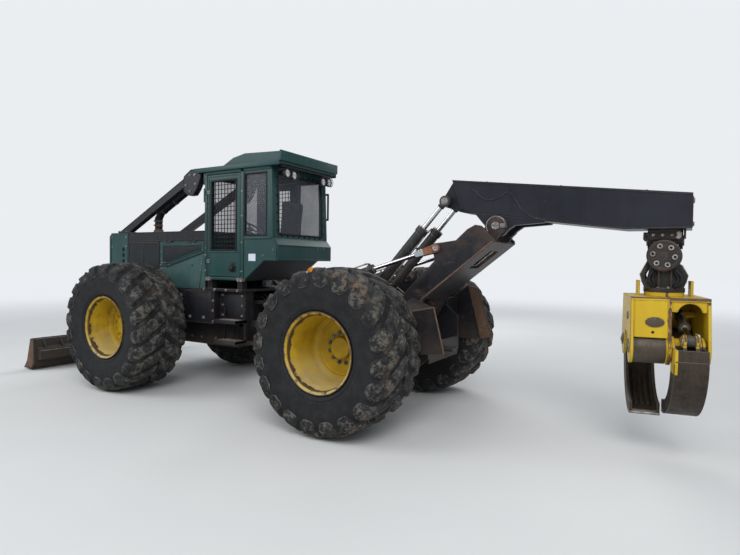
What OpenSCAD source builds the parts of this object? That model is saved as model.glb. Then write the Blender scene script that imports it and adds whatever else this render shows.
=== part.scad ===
/* [Wheels] */
// Distance between the two axles
wheelbase = 3660; // [3450:10:3900]
// Distance between the tyre centres on one axle
track = 2425; // [2400:5:2500]
// Diameter of a tyre over its lugs
tyre_d = 1800; // [1760:5:1830]
// Width of a tyre
tyre_w = 775; // [700:5:790]
// Height of a tyre lug
lug_h = 42; // [25:1:55]
// Lugs on each side of a tyre
lug_count = 20; // [16:1:24]
// Bead seat diameter of a rim
rim_d = 813; // [800:1:830]
// Diameter over a rim's flange
flange_d = 872; // [860:1:890]
// Depth of the rear wheel disc behind the outer flange
dish_rear = 500; // [470:5:530]
// Depth of the front wheel disc behind the outer flange
dish_front = 360; // [330:5:420]
// Thickness of the rim's barrel
rim_t = 14; // [10:1:20]
// Thickness of a wheel disc
disc_t = 22; // [16:1:30]

/* [Frames] */
// Hinge of the two frames ahead of the rear axle
hitch_x = 1830; // [1780:10:1880]
// Radius of the hinge pins
hitch_r = 55; // [45:1:65]
// Half width of the front frame over its rails
front_half = 400; // [380:5:410]
// Half width of the rear frame over its rails
rear_half = 460; // [455:1:475]
// Thickness of a rail
rail_t = 30; // [20:1:32]
// Height of the frame floor
belly_z = 600; // [570:5:630]
// Height of the front frame's top
deck_z = 1420; // [1410:5:1430]
// Front end of the front frame ahead of the front axle
nose_run = 1290; // [1240:10:1320]
// Radius of an axle tube
axle_r = 125; // [110:1:135]
// Radius of a wheel hub
hub_r = 170; // [150:1:185]
// Radius of the tow pin holes
tow_r = 26; // [24:1:30]

/* [Hood] */
// Width of the hood
hood_w = 1160; // [1120:5:1180]
// Top of the hood
hood_z = 2270; // [2250:5:2300]
// Height of the black top band
band_h = 140; // [120:5:160]
// Rear end of the hood from the rear axle
hood_rear = 2735; // [2720:5:2760]
// Front face of the radiator housing ahead of the front axle
hood_run = 1340; // [1320:5:1380]
// Length of the radiator housing
housing_len = 480; // [440:10:520]
// Lowest edge of the engine doors
door_low = 1745; // [1740:1:1780]
// Height of the engine doors' rear corner
door_heel = 1962; // [1930:1:1990]
// Thickness of the hood's panels
panel_t = 25; // [15:1:35]

/* [Cab] */
// Half width of the cab
cab_half = 600; // [580:5:620]
// Thickness of a cab wall
wall_t = 45; // [35:1:55]
// Height of the cab's underside
cab_low = 1570; // [1560:5:1580]
// Height of the cab's walls
cab_top = 3120; // [3080:5:3160]
// Front face of the cab from the rear axle
cab_nose = 2715; // [2705:5:2740]
// Sill of the rear window
sill_z = 2160; // [2130:5:2190]
// Thickness of the glass
glass_t = 8; // [6:1:12]
// Thickness of the roof plate
roof_t = 40; // [30:1:55]
// Height of the raised roof over the plate
roof_rise = 150; // [120:5:180]
// Radius of a work lamp
lamp_r = 62; // [50:1:70]

/* [Blade] */
// Half width of the blade
blade_half = 1350; // [1250:10:1400]
// Height of the blade
blade_h = 490; // [440:5:540]
// Blade pivot ahead of the front axle
blade_pin_run = 690; // [670:5:720]
// Front of the blade ahead of the front axle
blade_run = 2510; // [2450:10:2560]
// Height of the blade's edge over the ground
blade_gap = 30; // [20:1:60]

/* [Arch] */
// Arch pivot behind the rear axle
arch_pin_x = 350; // [340:5:360]
// Height of the arch pivot
arch_pin_z = 1150; // [1145:5:1160]
// Half width over the arch's side plates
arch_half = 410; // [405:1:415]
// Thickness of an arch plate
arch_t = 50; // [40:1:55]
// Boom pivot behind the rear axle
boom_pin_x = 1450; // [1440:5:1460]
// Height of the boom pivot
boom_pin_z = 2265; // [2255:5:2275]

/* [Boom] */
// Half width of the boom
boom_half = 200; // [180:5:205]
// Rear end of the boom behind the rear axle
boom_tail = 3290; // [3260:10:3340]
// Height of the boom's tail end
tail_h = 330; // [300:5:350]
// Radius of the boom pivot's lugs
boom_lug_r = 120; // [105:1:125]

/* [Grapple] */
// Hang point behind the rear axle
hang_x = 3066; // [3056:1:3086]
// Height of the crosshead's upper pin
hang_z = 2100; // [2095:1:2105]
// Drop from the upper pin to the swing drum's axis
drum_drop = 150; // [145:1:160]
// Radius of the swing drum
drum_r = 145; // [130:1:150]
// Turn of the grapple head in the photograph
head_turn = 10.5; // [0:0.5:15]
// Length of the grapple head along its pins
head_len = 650; // [630:5:680]
// Half width of the head's top plate
head_half = 375; // [365:5:390]
// Height of the head's top
head_z = 1560; // [1550:1:1570]
// Thickness of the head's plates
head_t = 26; // [20:1:32]
// Distance of a tong pivot from the head's middle
tong_y = 290; // [285:1:300]
// Height of the tong pivots
tong_z = 1080; // [1070:1:1085]
// Radius of a tong pin
tong_pin_r = 50; // [40:1:60]
// Radius of a tong's outer skin
tong_r = 620; // [610:5:635]
// Thickness of a tong's skin
skin_t = 28; // [20:1:34]

/* [Cylinders] */
// Radius of the big barrels
barrel_r = 62; // [55:1:64]
// Radius of the big rods
rod_r = 30; // [25:1:32]
// Radius of the small barrels
small_barrel_r = 50; // [45:1:52]
// Radius of the small rods
small_rod_r = 24; // [20:1:28]
// Clearance of a pin or rod in its bore
fit = 0.3; // [0.2:0.1:0.5]
// Clearance beside a lug
side_gap = 6; // [5:1:8]
/* [Hidden] */
$fn = 48;

// Sizes that follow. The machine is drawn with x = 0 at the rear axle, then moved
// so that the whole part's box is centred on the origin.
axle_z = tyre_d / 2;
tyre_half = tyre_w / 2;
rim_r = rim_d / 2;
flange_r = flange_d / 2;
rim_half = tyre_half - 45;
front_x = wheelbase;
front_reach = front_x + blade_run;
head_x = hang_x;
half_len = head_len / 2;
tube_r = 140;
rear_reach = head_x + half_len * cos(head_turn) + (tong_y + tube_r + 10) * sin(head_turn);
shift_x = (rear_reach - front_reach) / 2;
nose_x = front_x + nose_run;
hood_front = front_x + hood_run;
hood_half = hood_w / 2;
band_z = hood_z - band_h;
clear = 6;

GREEN = [0.02, 0.17, 0.12];
BLACK = [0.05, 0.05, 0.055];
YELLOW = [0.90, 0.72, 0.04];
STEEL = [0.60, 0.60, 0.62];
RUBBER = [0.07, 0.07, 0.07];
WORN = [0.20, 0.16, 0.13];

// Basic forms, all in the machine's directions
module shifted() translate([shift_x, 0, 0]) children();
module slab(x0, x1, y0, y1, z0, z1) translate([x0, y0, z0]) cube([x1 - x0, y1 - y0, z1 - z0]);
module both() { children(); mirror([0, 1, 0]) children(); }
module side_plate(y0, y1) translate([0, y1, 0]) rotate([90, 0, 0]) linear_extrude(y1 - y0) children();
module pin_y(at, r, y0, y1) translate([at.x, y1, at.y]) rotate([90, 0, 0]) cylinder(h = y1 - y0, r = r);
module pin_x(y, z, r, x0, x1) translate([x0, y, z]) rotate([0, 90, 0]) cylinder(h = x1 - x0, r = r);
// A round bar in the plane at y, along the line from p to q, from h0 to h1 along it
module bar(p, q, y, r, h0, h1)
  translate([p.x, y, p.y]) rotate([0, atan2(q.x - p.x, q.y - p.y), 0])
    translate([0, 0, h0]) cylinder(h = h1 - h0, r = r);
// A flat link with round ends between p and q
module link_shape(p, q, rp, rq) {
  run = q - p;
  n = [-run.y, run.x] / norm(run);
  translate(p) circle(r = rp);
  translate(q) circle(r = rq);
  polygon([p + n * rp, q + n * rq, q - n * rq, p - n * rp]);
}
function dist(p, q) = norm(q - p);

// Wheels: the axis is z here, outwards is +z
module wheel_at(x, side)
  translate([x, side * track / 2, axle_z]) mirror([0, side < 0 ? 1 : 0, 0]) rotate([-90, 0, 0]) children();

carcass_r = axle_z - lug_h;
tyre_fn = 20;
lug_w = 86;
lug_sweep = 17;
lug_top = sqrt(axle_z * axle_z - lug_w * lug_w / 4);
// Half of the tyre's section: radius, distance from the middle
tyre_half_section = [
  [rim_r + fit, rim_half - 30],
  [flange_r + 12, rim_half - 28],
  [flange_r + 26, rim_half + 12],
  [(flange_r + carcass_r) / 2, tyre_half],
  [carcass_r - 60, tyre_half - 14],
  [carcass_r, tyre_half - 78]
];
tyre_section = concat(
  tyre_half_section,
  [for (i = [len(tyre_half_section) - 1 : -1 : 0]) [tyre_half_section[i].x, -tyre_half_section[i].y]]
);
module lug() polyhedron([
  for (row = [[0, lug_top, lug_top - lug_h - 30, 12], [-lug_sweep, carcass_r + 4, carcass_r - 90, tyre_half - 2]])
    for (side = [[row.y, -1], [row.y, 1], [row.z, 1], [row.z, -1]])
      [side.x * cos(row.x) - side.y * lug_w / 2 * sin(row.x), side.x * sin(row.x) + side.y * lug_w / 2 * cos(row.x), row[3]]
], [[0, 1, 2, 3], [7, 6, 5, 4], [0, 4, 5, 1], [1, 5, 6, 2], [2, 6, 7, 3], [3, 7, 4, 0]]);
module tyre(x, side) shifted() color(RUBBER) wheel_at(x, side) {
  rotate_extrude($fn = tyre_fn) polygon(tyre_section);
  for (half = [0, 1], i = [0 : lug_count - 1])
    rotate([0, 0, 90 + asin(lug_w / 2 / axle_z) + (i + half / 2) * 360 / lug_count])
      mirror([0, 0, half]) lug();
}
module rim(x, side, dish) {
  disc_z = rim_half - dish;
  inner_r = rim_r - rim_t;
  shifted() color(YELLOW) wheel_at(x, side) {
    rotate_extrude() polygon([
      [rim_r, rim_half - 26], [flange_r, rim_half - 14], [flange_r, rim_half], [inner_r, rim_half - 14],
      [inner_r, 14 - rim_half], [flange_r, -rim_half], [flange_r, 14 - rim_half], [rim_r, 26 - rim_half]
    ]);
    rotate_extrude() polygon([
      [hub_r * 0.5 + fit, disc_z - disc_t], [290, disc_z - disc_t], [inner_r + 1, disc_z + 60 - disc_t],
      [inner_r + 1, disc_z + 60], [290, disc_z], [hub_r * 0.8, disc_z], [hub_r * 0.7, disc_z + 70],
      [0, disc_z + 70], [0, disc_z + 30], [hub_r * 0.5 + fit, disc_z + 30]
    ]);
  }
}
module tyre_front_left() tyre(front_x, 1);
module tyre_front_right() tyre(front_x, -1);
module tyre_rear_left() tyre(0, 1);
module tyre_rear_right() tyre(0, -1);
module rim_front_left() rim(front_x, 1, dish_front);
module rim_front_right() rim(front_x, -1, dish_front);
module rim_rear_left() rim(0, 1, dish_rear);
module rim_rear_right() rim(0, -1, dish_rear);

// Axles: tube, gear case and planet hubs with a spigot in each wheel disc
module axle_beam(x, dish) {
  hub_y = track / 2 + rim_half - dish - disc_t - fit;
  pin_y([x, axle_z], axle_r, -hub_y, hub_y);
  both() {
    pin_y([x, axle_z], hub_r, hub_y - 190, hub_y);
    pin_y([x, axle_z], hub_r * 0.5, hub_y, hub_y + disc_t + 20);
  }
}
module front_axle() shifted() color(BLACK) {
  axle_beam(front_x, dish_front);
  pin_x(0, axle_z, axle_r + 45, front_x - 180, front_x + 180);
  pin_x(0, axle_z, 90, front_x - cradle_run + rail_t, front_x + cradle_run);
}
module rear_axle() shifted() color(BLACK) {
  axle_beam(0, dish_rear);
  pin_x(0, axle_z - 30, axle_r + 25, -150, 150);
}

// Front frame: two rails, cross plates, hinge plates at the hitch
cradle_run = 420;
neck_run = 420;
hitch_up = 1230;
hitch_low = 640;
hitch_t = 50;
blade_pin = [front_x + blade_pin_run, 720];
blade_base = [front_x + 900, 1250];
tow_front_z = 1340;
tow_rear_z = 820;
tow_t = 40;
arm_y0 = front_half + 30;
arm_t = 60;
module hitch_plate(z, dir, half, end_r) translate([0, 0, z]) linear_extrude(hitch_t) {
  translate([hitch_x, 0]) circle(r = end_r);
  polygon([
    [hitch_x, -end_r], [hitch_x + dir * neck_run, -half], [hitch_x + dir * neck_run, half], [hitch_x, end_r]
  ]);
}
module front_frame() shifted() color(BLACK) {
  inner = front_half - rail_t;
  both() difference() {
    side_plate(inner, front_half) polygon([
      [hitch_x + neck_run, belly_z], [hitch_x + neck_run, deck_z], [nose_x, deck_z],
      [nose_x, belly_z + 330], [nose_x - 260, belly_z]
    ]);
    pin_y([front_x, axle_z], axle_r + 90, inner - 10, front_half + 10);
    slab(front_x - axle_r - 90, front_x + axle_r + 90, inner - 10, front_half + 10, belly_z - 10, axle_z);
  }
  // Cross plates: x, lower end, upper end
  for (row = [
    [front_x - cradle_run, belly_z, deck_z - 150], [front_x + cradle_run, belly_z, deck_z - 150],
    [nose_x - rail_t, deck_z - 130, deck_z]
  ]) slab(row.x, row.x + rail_t, -inner, inner, row.y, row.z);
  // Rear cross plate, open where the steering barrels pass
  difference() {
    slab(hitch_x + neck_run, hitch_x + neck_run + rail_t, -inner, inner, belly_z, deck_z);
    both() slab(hitch_x + neck_run - 1, hitch_x + neck_run + rail_t + 1, 145, inner + 1, steer_z - 55, steer_z + 55);
  }
  both() {
    for (z = [steer_z - 66, steer_z + 41]) slab(steer_base.x - 60, steer_base.x + 70, 190, inner + 2, z, z + 25);
    translate([steer_base.x, steer_base.y, steer_z - 60]) cylinder(h = 120, r = 25);
  }
  slab(hitch_x + neck_run, front_x - cradle_run, -inner, inner, belly_z, belly_z + rail_t);
  for (z = [hitch_up, hitch_low]) hitch_plate(z, 1, inner, 150);
  translate([hitch_x, 0, hitch_up - 80]) cylinder(h = hitch_t + 95, r = hitch_r);
  translate([hitch_x, 0, hitch_low - 15]) cylinder(h = hitch_t + 95, r = hitch_r);
  both() pin_y(blade_pin, 45, inner, arm_y0 + arm_t + 12);
  pin_y(blade_base, 45, -inner, inner);
  // Beams under the engine
  for (x = [3080, 4200]) slab(x, x + 80, -inner, inner, deck_z - 70, deck_z);
  // Floor plate that carries the cab
  slab(hitch_x + 100, hood_rear, -660, 660, deck_z, deck_z + 30);
  both() for (x = [2010, 2600]) slab(x, x + 90, 480, 570, deck_z + 30, cab_low);
}
// Lug on the nose for a towing pin
module tow_lug() shifted() color(BLACK) difference() {
  slab(nose_x, nose_x + 110, -80, 80, tow_front_z - tow_t / 2, tow_front_z + tow_t / 2);
  translate([nose_x + 60, 0, tow_front_z - tow_t]) cylinder(h = 2 * tow_t, r = tow_r);
}
module side_boxes() shifted() color(BLACK) both() {
  slab(2430, 3160, front_half, 690, 960, deck_z);
  slab(1960, 2430, front_half, 560, 1000, deck_z);
  for (z = [720, 1000]) slab(1930, 2330, 560, 780, z, z + 25);
  for (x = [1930, 2315]) slab(x, x + 15, 560, 600, 720, 1180);
}
module engine() shifted() color(BLACK) slab(3010, front_x + 690, -330, 330, deck_z, band_z - 40);

// Hood
hinge_z = band_z - 12;
door_front = front_x + 85;
door_toe = door_front - 185;
housing_rear = hood_front - housing_len;
housing_t = 45;
module radiator_housing() shifted() color(GREEN) {
  difference() {
    side_plate(-hood_half, hood_half) polygon([
      [housing_rear, deck_z], [hood_front, deck_z], [hood_front, hood_z - 45], [hood_front - 45, hood_z],
      [housing_rear, hood_z]
    ]);
    slab(housing_rear - 1, hood_front + 1, housing_t - hood_half, hood_half - housing_t, deck_z + 70, hood_z - 90);
    // Air notches in both sides
    for (z = [band_z - 345, band_z - 250, band_z - 155])
      slab(housing_rear + 95, housing_rear + 140, -hood_half - 1, hood_half + 1, z, z + 60);
  }
  // Slats across the opening
  for (z = [deck_z + 100 : 52 : hood_z - 135])
    translate([hood_front - 60, housing_t - hood_half, z]) rotate([0, -35, 0]) cube([8, hood_w - 2 * housing_t, 44]);
}
hinge_y = hood_half + 5;
hinge_xs = [hood_rear + 200, door_front - 280];
module hood() shifted() color(BLACK) {
  difference() {
    slab(hood_rear, housing_rear, -hood_half, hood_half, band_z, hood_z);
    slab(hood_rear - 1, housing_rear + 1, panel_t - hood_half, hood_half - panel_t, band_z - 1, hood_z - panel_t);
  }
  // Knuckles and pins of the engine doors' hinges
  both() for (x = hinge_xs) {
    for (end = [x - 26, x + 91]) {
      pin_x(hinge_y, hinge_z, 9, end, end + 25);
      slab(end, end + 25, hood_half - 1, hood_half + 6, hinge_z, band_z + 30);
    }
    pin_x(hinge_y, hinge_z, 4, x - 10, x + 100);
  }
}
module side_screens() shifted() color(BLACK) both()
  slab(door_front + clear, housing_rear, hood_half - panel_t, hood_half, deck_z, band_z);
module side_panels() shifted() color(GREEN) both() {
  side_plate(hood_half - panel_t, hood_half) polygon([
    [hood_rear, deck_z], [door_front, deck_z], [door_front, door_low - clear], [door_toe, door_low - clear],
    [hood_rear + 12, door_heel - clear], [hood_rear + 12, band_z], [hood_rear, band_z]
  ]);
}
module engine_door() shifted() color(GREEN) difference() {
  union() {
    side_plate(hood_half - panel_t, hood_half) polygon([
      [door_toe, door_low], [door_front - clear, door_low], [door_front - clear, band_z - clear],
      [hood_rear + 20, band_z - clear], [hood_rear + 20, door_heel]
    ]);
    // Hinge barrels on the top edge
    for (x = hinge_xs) pin_x(hinge_y, hinge_z, 9, x, x + 90);
  }
  for (x = hinge_xs) pin_x(hinge_y, hinge_z, 4 + fit, x - 1, x + 91);
  for (x = hinge_xs, end = [x - 26, x + 91]) slab(end - 6, end + 31, hood_half - panel_t - 1, hood_half + 9, hinge_z - 16, band_z);
}
module engine_door_left() engine_door();
module engine_door_right() mirror([0, 1, 0]) engine_door();

// Guard beams from the housing's corners to the roof, each with a gusset, and the exhaust beside the left one
riser_low = [4720, hood_z + 10];
riser_high = [3190, cab_top - 85];
riser_h = 100;
riser_y = 490;
riser_w = 95;
pipe_y = 330;
pipe_r = 58;
roof_front = cab_nose + 175;
module limb_risers() shifted() color(BLACK) both() {
  run = (riser_high - riser_low) / dist(riser_low, riser_high);
  drop = [run.y, -run.x] * -riser_h;
  foot_x = riser_high.x + drop.x - (riser_high.y + drop.y - hood_z - 18) * run.x / run.y;
  side_plate(riser_y, riser_y + riser_w)
    polygon([riser_low, riser_high, riser_high + drop, [foot_x, hood_z + 18], [riser_low.x + 12, hood_z + 18]]);
  slab(foot_x - 30, riser_low.x + 40, riser_y - 15, riser_y + riser_w + 5, hood_z, hood_z + 20);
  side_plate(riser_y + 2, riser_y + riser_w - 2)
    polygon([
      [roof_front, cab_top + roof_t], [2970, cab_top + 55], [3037, cab_top + 54], [3182, cab_top - 30],
      [3206, cab_top - 95], [3185, cab_top - 262], [3083, cab_top - 325], [2985, cab_top - 320], [2915, cab_top - 240],
      [2862, cab_top - 150], [2834, cab_top - 70], [2828, cab_top], [roof_front, cab_top]
    ]);
}
module exhaust() shifted() color(BLACK) {
  low = [4085, hood_z];
  bend = [4085, 2500];
  elbow = [4020, 2600];
  top = [3330, 2948];
  translate([0, pipe_y, 0]) {
    bar(low, bend, 0, pipe_r, 0, dist(low, bend));
    bar(bend, elbow, 0, pipe_r, 0, dist(bend, elbow));
    bar(elbow, top, 0, pipe_r, 0, dist(elbow, top));
    for (knee = [bend, elbow]) translate([knee.x, 0, knee.y]) sphere(r = pipe_r + 4);
  }
  // Bracket between the pipe and the left beam
  slab(3700, 3740, pipe_y, riser_y, 2715, 2755);
}

// Cab: each wall is a plate as thick as the whole wall
inner_half = cab_half - wall_t;
cab_side_shape = [
  [cab_nose, cab_low], [cab_nose, cab_top], [1470, cab_top], [1430, sill_z], [1350, sill_z - 96],
  [1350, cab_low + 285], [1587, cab_low + 285], [1965, cab_low]
];
door_x0 = 2010;
door_x1 = cab_nose - 50;
door_z0 = cab_low + 45;
door_z1 = cab_top - 60;
window_x0 = 1545;
window_x1 = 1945;
window_z1 = cab_top - 90;
module cab_side() shifted() color(GREEN) difference() {
  side_plate(inner_half, cab_half) polygon(cab_side_shape);
  slab(door_x0, door_x1, inner_half - 1, cab_half + 1, door_z0, door_z1);
  slab(window_x0, window_x1, inner_half - 1, cab_half + 1, sill_z + 30, window_z1);
}
module cab_side_left() cab_side();
module cab_side_right() mirror([0, 1, 0]) cab_side();
module cab_floor() shifted() color(BLACK) side_plate(-inner_half, inner_half) polygon([
  [1350 + wall_t, cab_low + 285], [1587, cab_low + 285], [1965, cab_low], [cab_nose - wall_t, cab_low],
  [cab_nose - wall_t, door_z0], [1985, door_z0], [1600, cab_low + 330], [1350 + wall_t, cab_low + 330]
]);
module cab_front() shifted() color(GREEN) difference() {
  slab(cab_nose - wall_t, cab_nose, -inner_half, inner_half, cab_low, cab_top);
  slab(cab_nose - wall_t - 1, cab_nose + 1, -inner_half + 90, inner_half - 90, 2180, cab_top - 110);
}
module cab_rear() shifted() color(GREEN) difference() {
  side_plate(-inner_half, inner_half) polygon([
    [1470, cab_top], [1430, sill_z], [1350, sill_z - 96], [1350, cab_low + 285],
    [1350 + wall_t, cab_low + 285], [1350 + wall_t, sill_z - 112], [1430 + wall_t, sill_z - 16],
    [1470 + wall_t, cab_top]
  ]);
  slab(1380, 1560, -inner_half + 70, inner_half - 70, sill_z + 50, cab_top - 110);
}
module cab_roof() shifted() color(GREEN) {
  slab(1300, cab_nose + 175, -cab_half - 45, cab_half + 45, cab_top, cab_top + roof_t);
  side_plate(-cab_half + 15, cab_half - 15) polygon([
    [2400, cab_top + roof_t], [2180, cab_top + roof_t + roof_rise * 0.72], [1960, cab_top + roof_t + roof_rise],
    [1300, cab_top + roof_t + roof_rise - 25], [1285, cab_top + 60], [1300, cab_top + roof_t]
  ]);
}
module cab_glass() shifted() color([0.55, 0.65, 0.68, 0.4]) {
  both() slab(window_x0 + fit, window_x1 - fit, cab_half - 25, cab_half - 25 + glass_t,
    sill_z + 30 + fit, window_z1 - fit);
  slab(cab_nose - 30, cab_nose - 30 + glass_t, -inner_half + 90 + fit, inner_half - 90 - fit,
    2180 + fit, cab_top - 110 - fit);
  side_plate(-inner_half + 70 + fit, inner_half - 70 - fit) polygon([
    [1448, sill_z + 51], [1448 + glass_t, sill_z + 51], [1482 + glass_t, cab_top - 111], [1482, cab_top - 111]
  ]);
}
module cab_controls() shifted() color(BLACK) {
  side_plate(-190, 190) polygon([
    [1992, door_z0], [2130, door_z0], [2130, 1960], [1645, 1960], [1645, 1876]
  ]);
  slab(2560, cab_nose - wall_t, -330, 330, door_z0, 2120);
  bar([2570, 2060], [2400, 2330], 0, 28, 0, 320);
  translate([2400, 0, 2330]) rotate([0, -32, 0]) {
    rotate_extrude() translate([185, 0]) circle(r = 15, $fn = 16);
    translate([0, 0, -12]) cylinder(h = 24, r = 45);
    for (a = [90, 210, 330]) rotate([0, 0, a]) translate([30, -12, -8]) cube([150, 24, 16]);
  }
}
module seat_pads() shifted() color([0.08, 0.08, 0.09]) {
  slab(1650, 2150, -245, 245, 1960.4, 2085);
  translate([1660, 0, 2080]) rotate([0, -5, 0]) translate([-70, -235, 0]) cube([100, 470, 640]);
}
// Work lamps on a bar below the roof's rear edge: y, z
lamp_z = cab_top - 115;
lamp_rows = [[470, lamp_z + 5], [330, lamp_z - 5], [-330, lamp_z - 5], [-470, lamp_z + 5]];
module work_lamps() shifted() color(BLACK) {
  slab(1310, 1340, -560, 560, cab_top - 60, cab_top);
  for (row = lamp_rows) {
    pin_x(row.x, row.y, lamp_r, 1300, 1385);
    slab(1315, 1335, row.x - 12, row.x + 12, row.y + lamp_r - 8, cab_top - 50);
  }
}
module grab_rail() shifted() color(BLACK) {
  // A bent pipe beside the right rear corner: start and end of each length
  rail_x = 1440;
  rail_y = -cab_half - 40;
  foot_x = 1560;
  translate([rail_x, rail_y, cab_top - 640]) cylinder(h = 380, r = 15);
  for (z = [cab_top - 640, cab_top - 260]) {
    pin_x(rail_y, z, 15, rail_x, foot_x);
    for (x = [rail_x, foot_x]) translate([x, rail_y, z]) sphere(r = 15);
    pin_y([foot_x, z], 15, rail_y, -cab_half);
  }
}
door_hinge = [cab_nose - 15, cab_half + 13];
pane_z0 = door_z0 + 375;
pane_z1 = door_z1 - 90;
module cab_door() shifted() color(GREEN) {
  difference() {
    slab(door_x0 + clear, door_x1 - clear, inner_half, cab_half, door_z0 + clear, door_z1 - clear);
    slab(door_x0 + 90, door_x1 - 75, inner_half - 1, cab_half + 1, pane_z0, pane_z1);
  }
  // Mesh bars in the window
  for (i = [1 : 7]) translate([door_x0 + 90 + i * (door_x1 - door_x0 - 165) / 8, cab_half - 20, pane_z0 - 4])
    cylinder(h = pane_z1 - pane_z0 + 8, r = 4, $fn = 9);
  for (i = [1 : 15])
    pin_x(cab_half - 20, pane_z0 + i * (pane_z1 - pane_z0) / 16, 4, door_x0 + 86, door_x1 - 71, $fn = 9);
  for (z = [door_z0 + 185, door_z1 - 280]) {
    slab(door_x1 - 60, door_hinge.x, cab_half, cab_half + 8, z + 10, z + 60);
    translate([door_hinge.x, door_hinge.y, z]) cylinder(h = 70, r = 13);
  }
}
module cab_door_left() cab_door();
module cab_door_right() mirror([0, 1, 0]) cab_door();

// Blade
blade_back = front_reach - 300;
blade_curve_r = 470;
blade_curve = [front_reach + 200, 300];
blade_tube = [front_x + 1960, 430];
blade_eye = [front_x + 1820, 560];
module push_arms() {
  both() difference() {
    side_plate(arm_y0, arm_y0 + arm_t) {
      link_shape(blade_pin, [blade_back - 180, 300], 90, 75);
      translate([blade_back - 190, 225]) square([100, 120]);
    }
    pin_y(blade_pin, 45 + fit, arm_y0 - 1, arm_y0 + arm_t + 1);
  }
  pin_y(blade_tube, 50, -arm_y0 - 5, arm_y0 + 5);
  both() for (y = [blade_cyl_y - 66, blade_cyl_y + 36])
    side_plate(y, y + 30) link_shape(blade_tube, blade_eye, 55, 60);
}
module blade() shifted() color(BLACK) {
  push_arms();
  side_plate(-blade_half, blade_half) intersection() {
    difference() {
      translate(blade_curve) circle(r = blade_curve_r + 34, $fn = 96);
      translate(blade_curve) circle(r = blade_curve_r, $fn = 96);
    }
    translate([blade_back, blade_gap]) square([200, blade_h]);
  }
  side_plate(-blade_half, blade_half) polygon([
    [front_reach - 205, blade_gap], [front_reach, blade_gap], [front_reach, blade_gap + 16],
    [front_reach - 205, blade_gap + 30]
  ]);
  both() side_plate(blade_half - 25, blade_half) polygon([
    [front_reach - 300, blade_gap + 90], [front_reach - 230, blade_gap], [front_reach, blade_gap],
    [front_reach - 90, blade_gap + 130], [front_reach - 190, blade_gap + blade_h],
    [front_reach - 290, blade_gap + blade_h]
  ]);
  // Box rib along the back
  side_plate(-blade_half + 60, blade_half - 60) polygon([
    [blade_back - 90, 190], [blade_back + 12, 160], [blade_back + 12, 390], [blade_back - 90, 350]
  ]);
}

// Cylinders that come in pairs: barrels turn on their base pins, rods slide in them
eye_half = 30;
module barrel(base, eye, y, r, rod, length, pin) difference() {
  union() {
    bar(base, eye, y, 28, 0, 100);
    bar(base, eye, y, r, 92, length);
    bar(base, eye, y, r + 8, length - 70, length);
    pin_y(base, r + 14, y - eye_half, y + eye_half);
  }
  bar(base, eye, y, rod + fit, 120, length + 1);
  pin_y(base, pin + fit, y - eye_half - 1, y + eye_half + 1);
}
module rod(base, eye, y, rod_radius, inside, eye_radius) {
  bar(base, eye, y, rod_radius, inside, dist(base, eye));
  pin_y(eye, eye_radius, y - eye_half, y + eye_half);
}
blade_cyl_y = 250;
blade_barrel_len = 720;
module blade_barrels() shifted() color(BLACK)
  both() barrel(blade_base, blade_eye, blade_cyl_y, small_barrel_r, small_rod_r, blade_barrel_len, 45);
module blade_rods() shifted() color(STEEL)
  both() rod(blade_base, blade_eye, blade_cyl_y, small_rod_r, 480, 48);

// Rear frame
arch_pin = [-arch_pin_x, arch_pin_z];
arch_cyl_base = [1000, 1472];
arch_cyl_y = arch_half - arch_t / 2;
arch_pin_r = 70;
module rear_frame() shifted() color(BLACK) {
  inner = rear_half - rail_t;
  both() difference() {
    side_plate(inner, rear_half) polygon([
      [hitch_x - neck_run, belly_z + 20], [hitch_x - neck_run, 1300], [100, 1300], [-150, 1340], [-560, 1340],
      [-760, 1180], [-760, 760], [-600, belly_z + 20]
    ]);
    pin_y([0, axle_z], axle_r + fit, inner - 1, rear_half + 1);
  }
  // Cross plates: x, lower end, upper end
  for (row = [[hitch_x - neck_run - rail_t, belly_z + 20, 1300], [620, belly_z + 20, 1180], [-760, 700, 930]])
    slab(row.x, row.x + rail_t, -inner, inner, row.y, row.z);
  slab(650, hitch_x - neck_run, -inner, inner, belly_z + 20, belly_z + 45);
  slab(650, hitch_x - neck_run, -inner, inner, 1270, 1300);
  difference() {
    for (z = [hitch_up - 10 - hitch_t, hitch_low + hitch_t + 10]) hitch_plate(z, -1, inner, 140);
    translate([hitch_x, 0, 0]) cylinder(h = 2000, r = hitch_r + fit);
  }
  pin_y(arch_pin, arch_pin_r, -inner, inner);
  both() for (z = [steer_z - 66, steer_z + 36]) {
    slab(hitch_x - neck_run - 5, steer_eye.x, steer_eye.y - steer_ear_r, steer_eye.y + steer_ear_r, z, z + 30);
    translate([steer_eye.x, steer_eye.y, z]) cylinder(h = 30, r = steer_ear_r);
  }
  // Ears that carry the arch cylinders
  both() {
    for (y = [arch_cyl_y - eye_half - side_gap - 30, arch_cyl_y + eye_half + side_gap])
      side_plate(y, y + 30) {
        translate(arch_cyl_base) circle(r = 62);
        polygon([[890, 1290], [1110, 1290], [1060, 1480], [940, 1480]]);
      }
    pin_y(arch_cyl_base, 38, arch_cyl_y - eye_half - side_gap - 5, arch_cyl_y + eye_half + side_gap + 5);
  }
  // Valve box behind the cab
  slab(1100, 1360, -330, 330, 1300, 1660);
}
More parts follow.
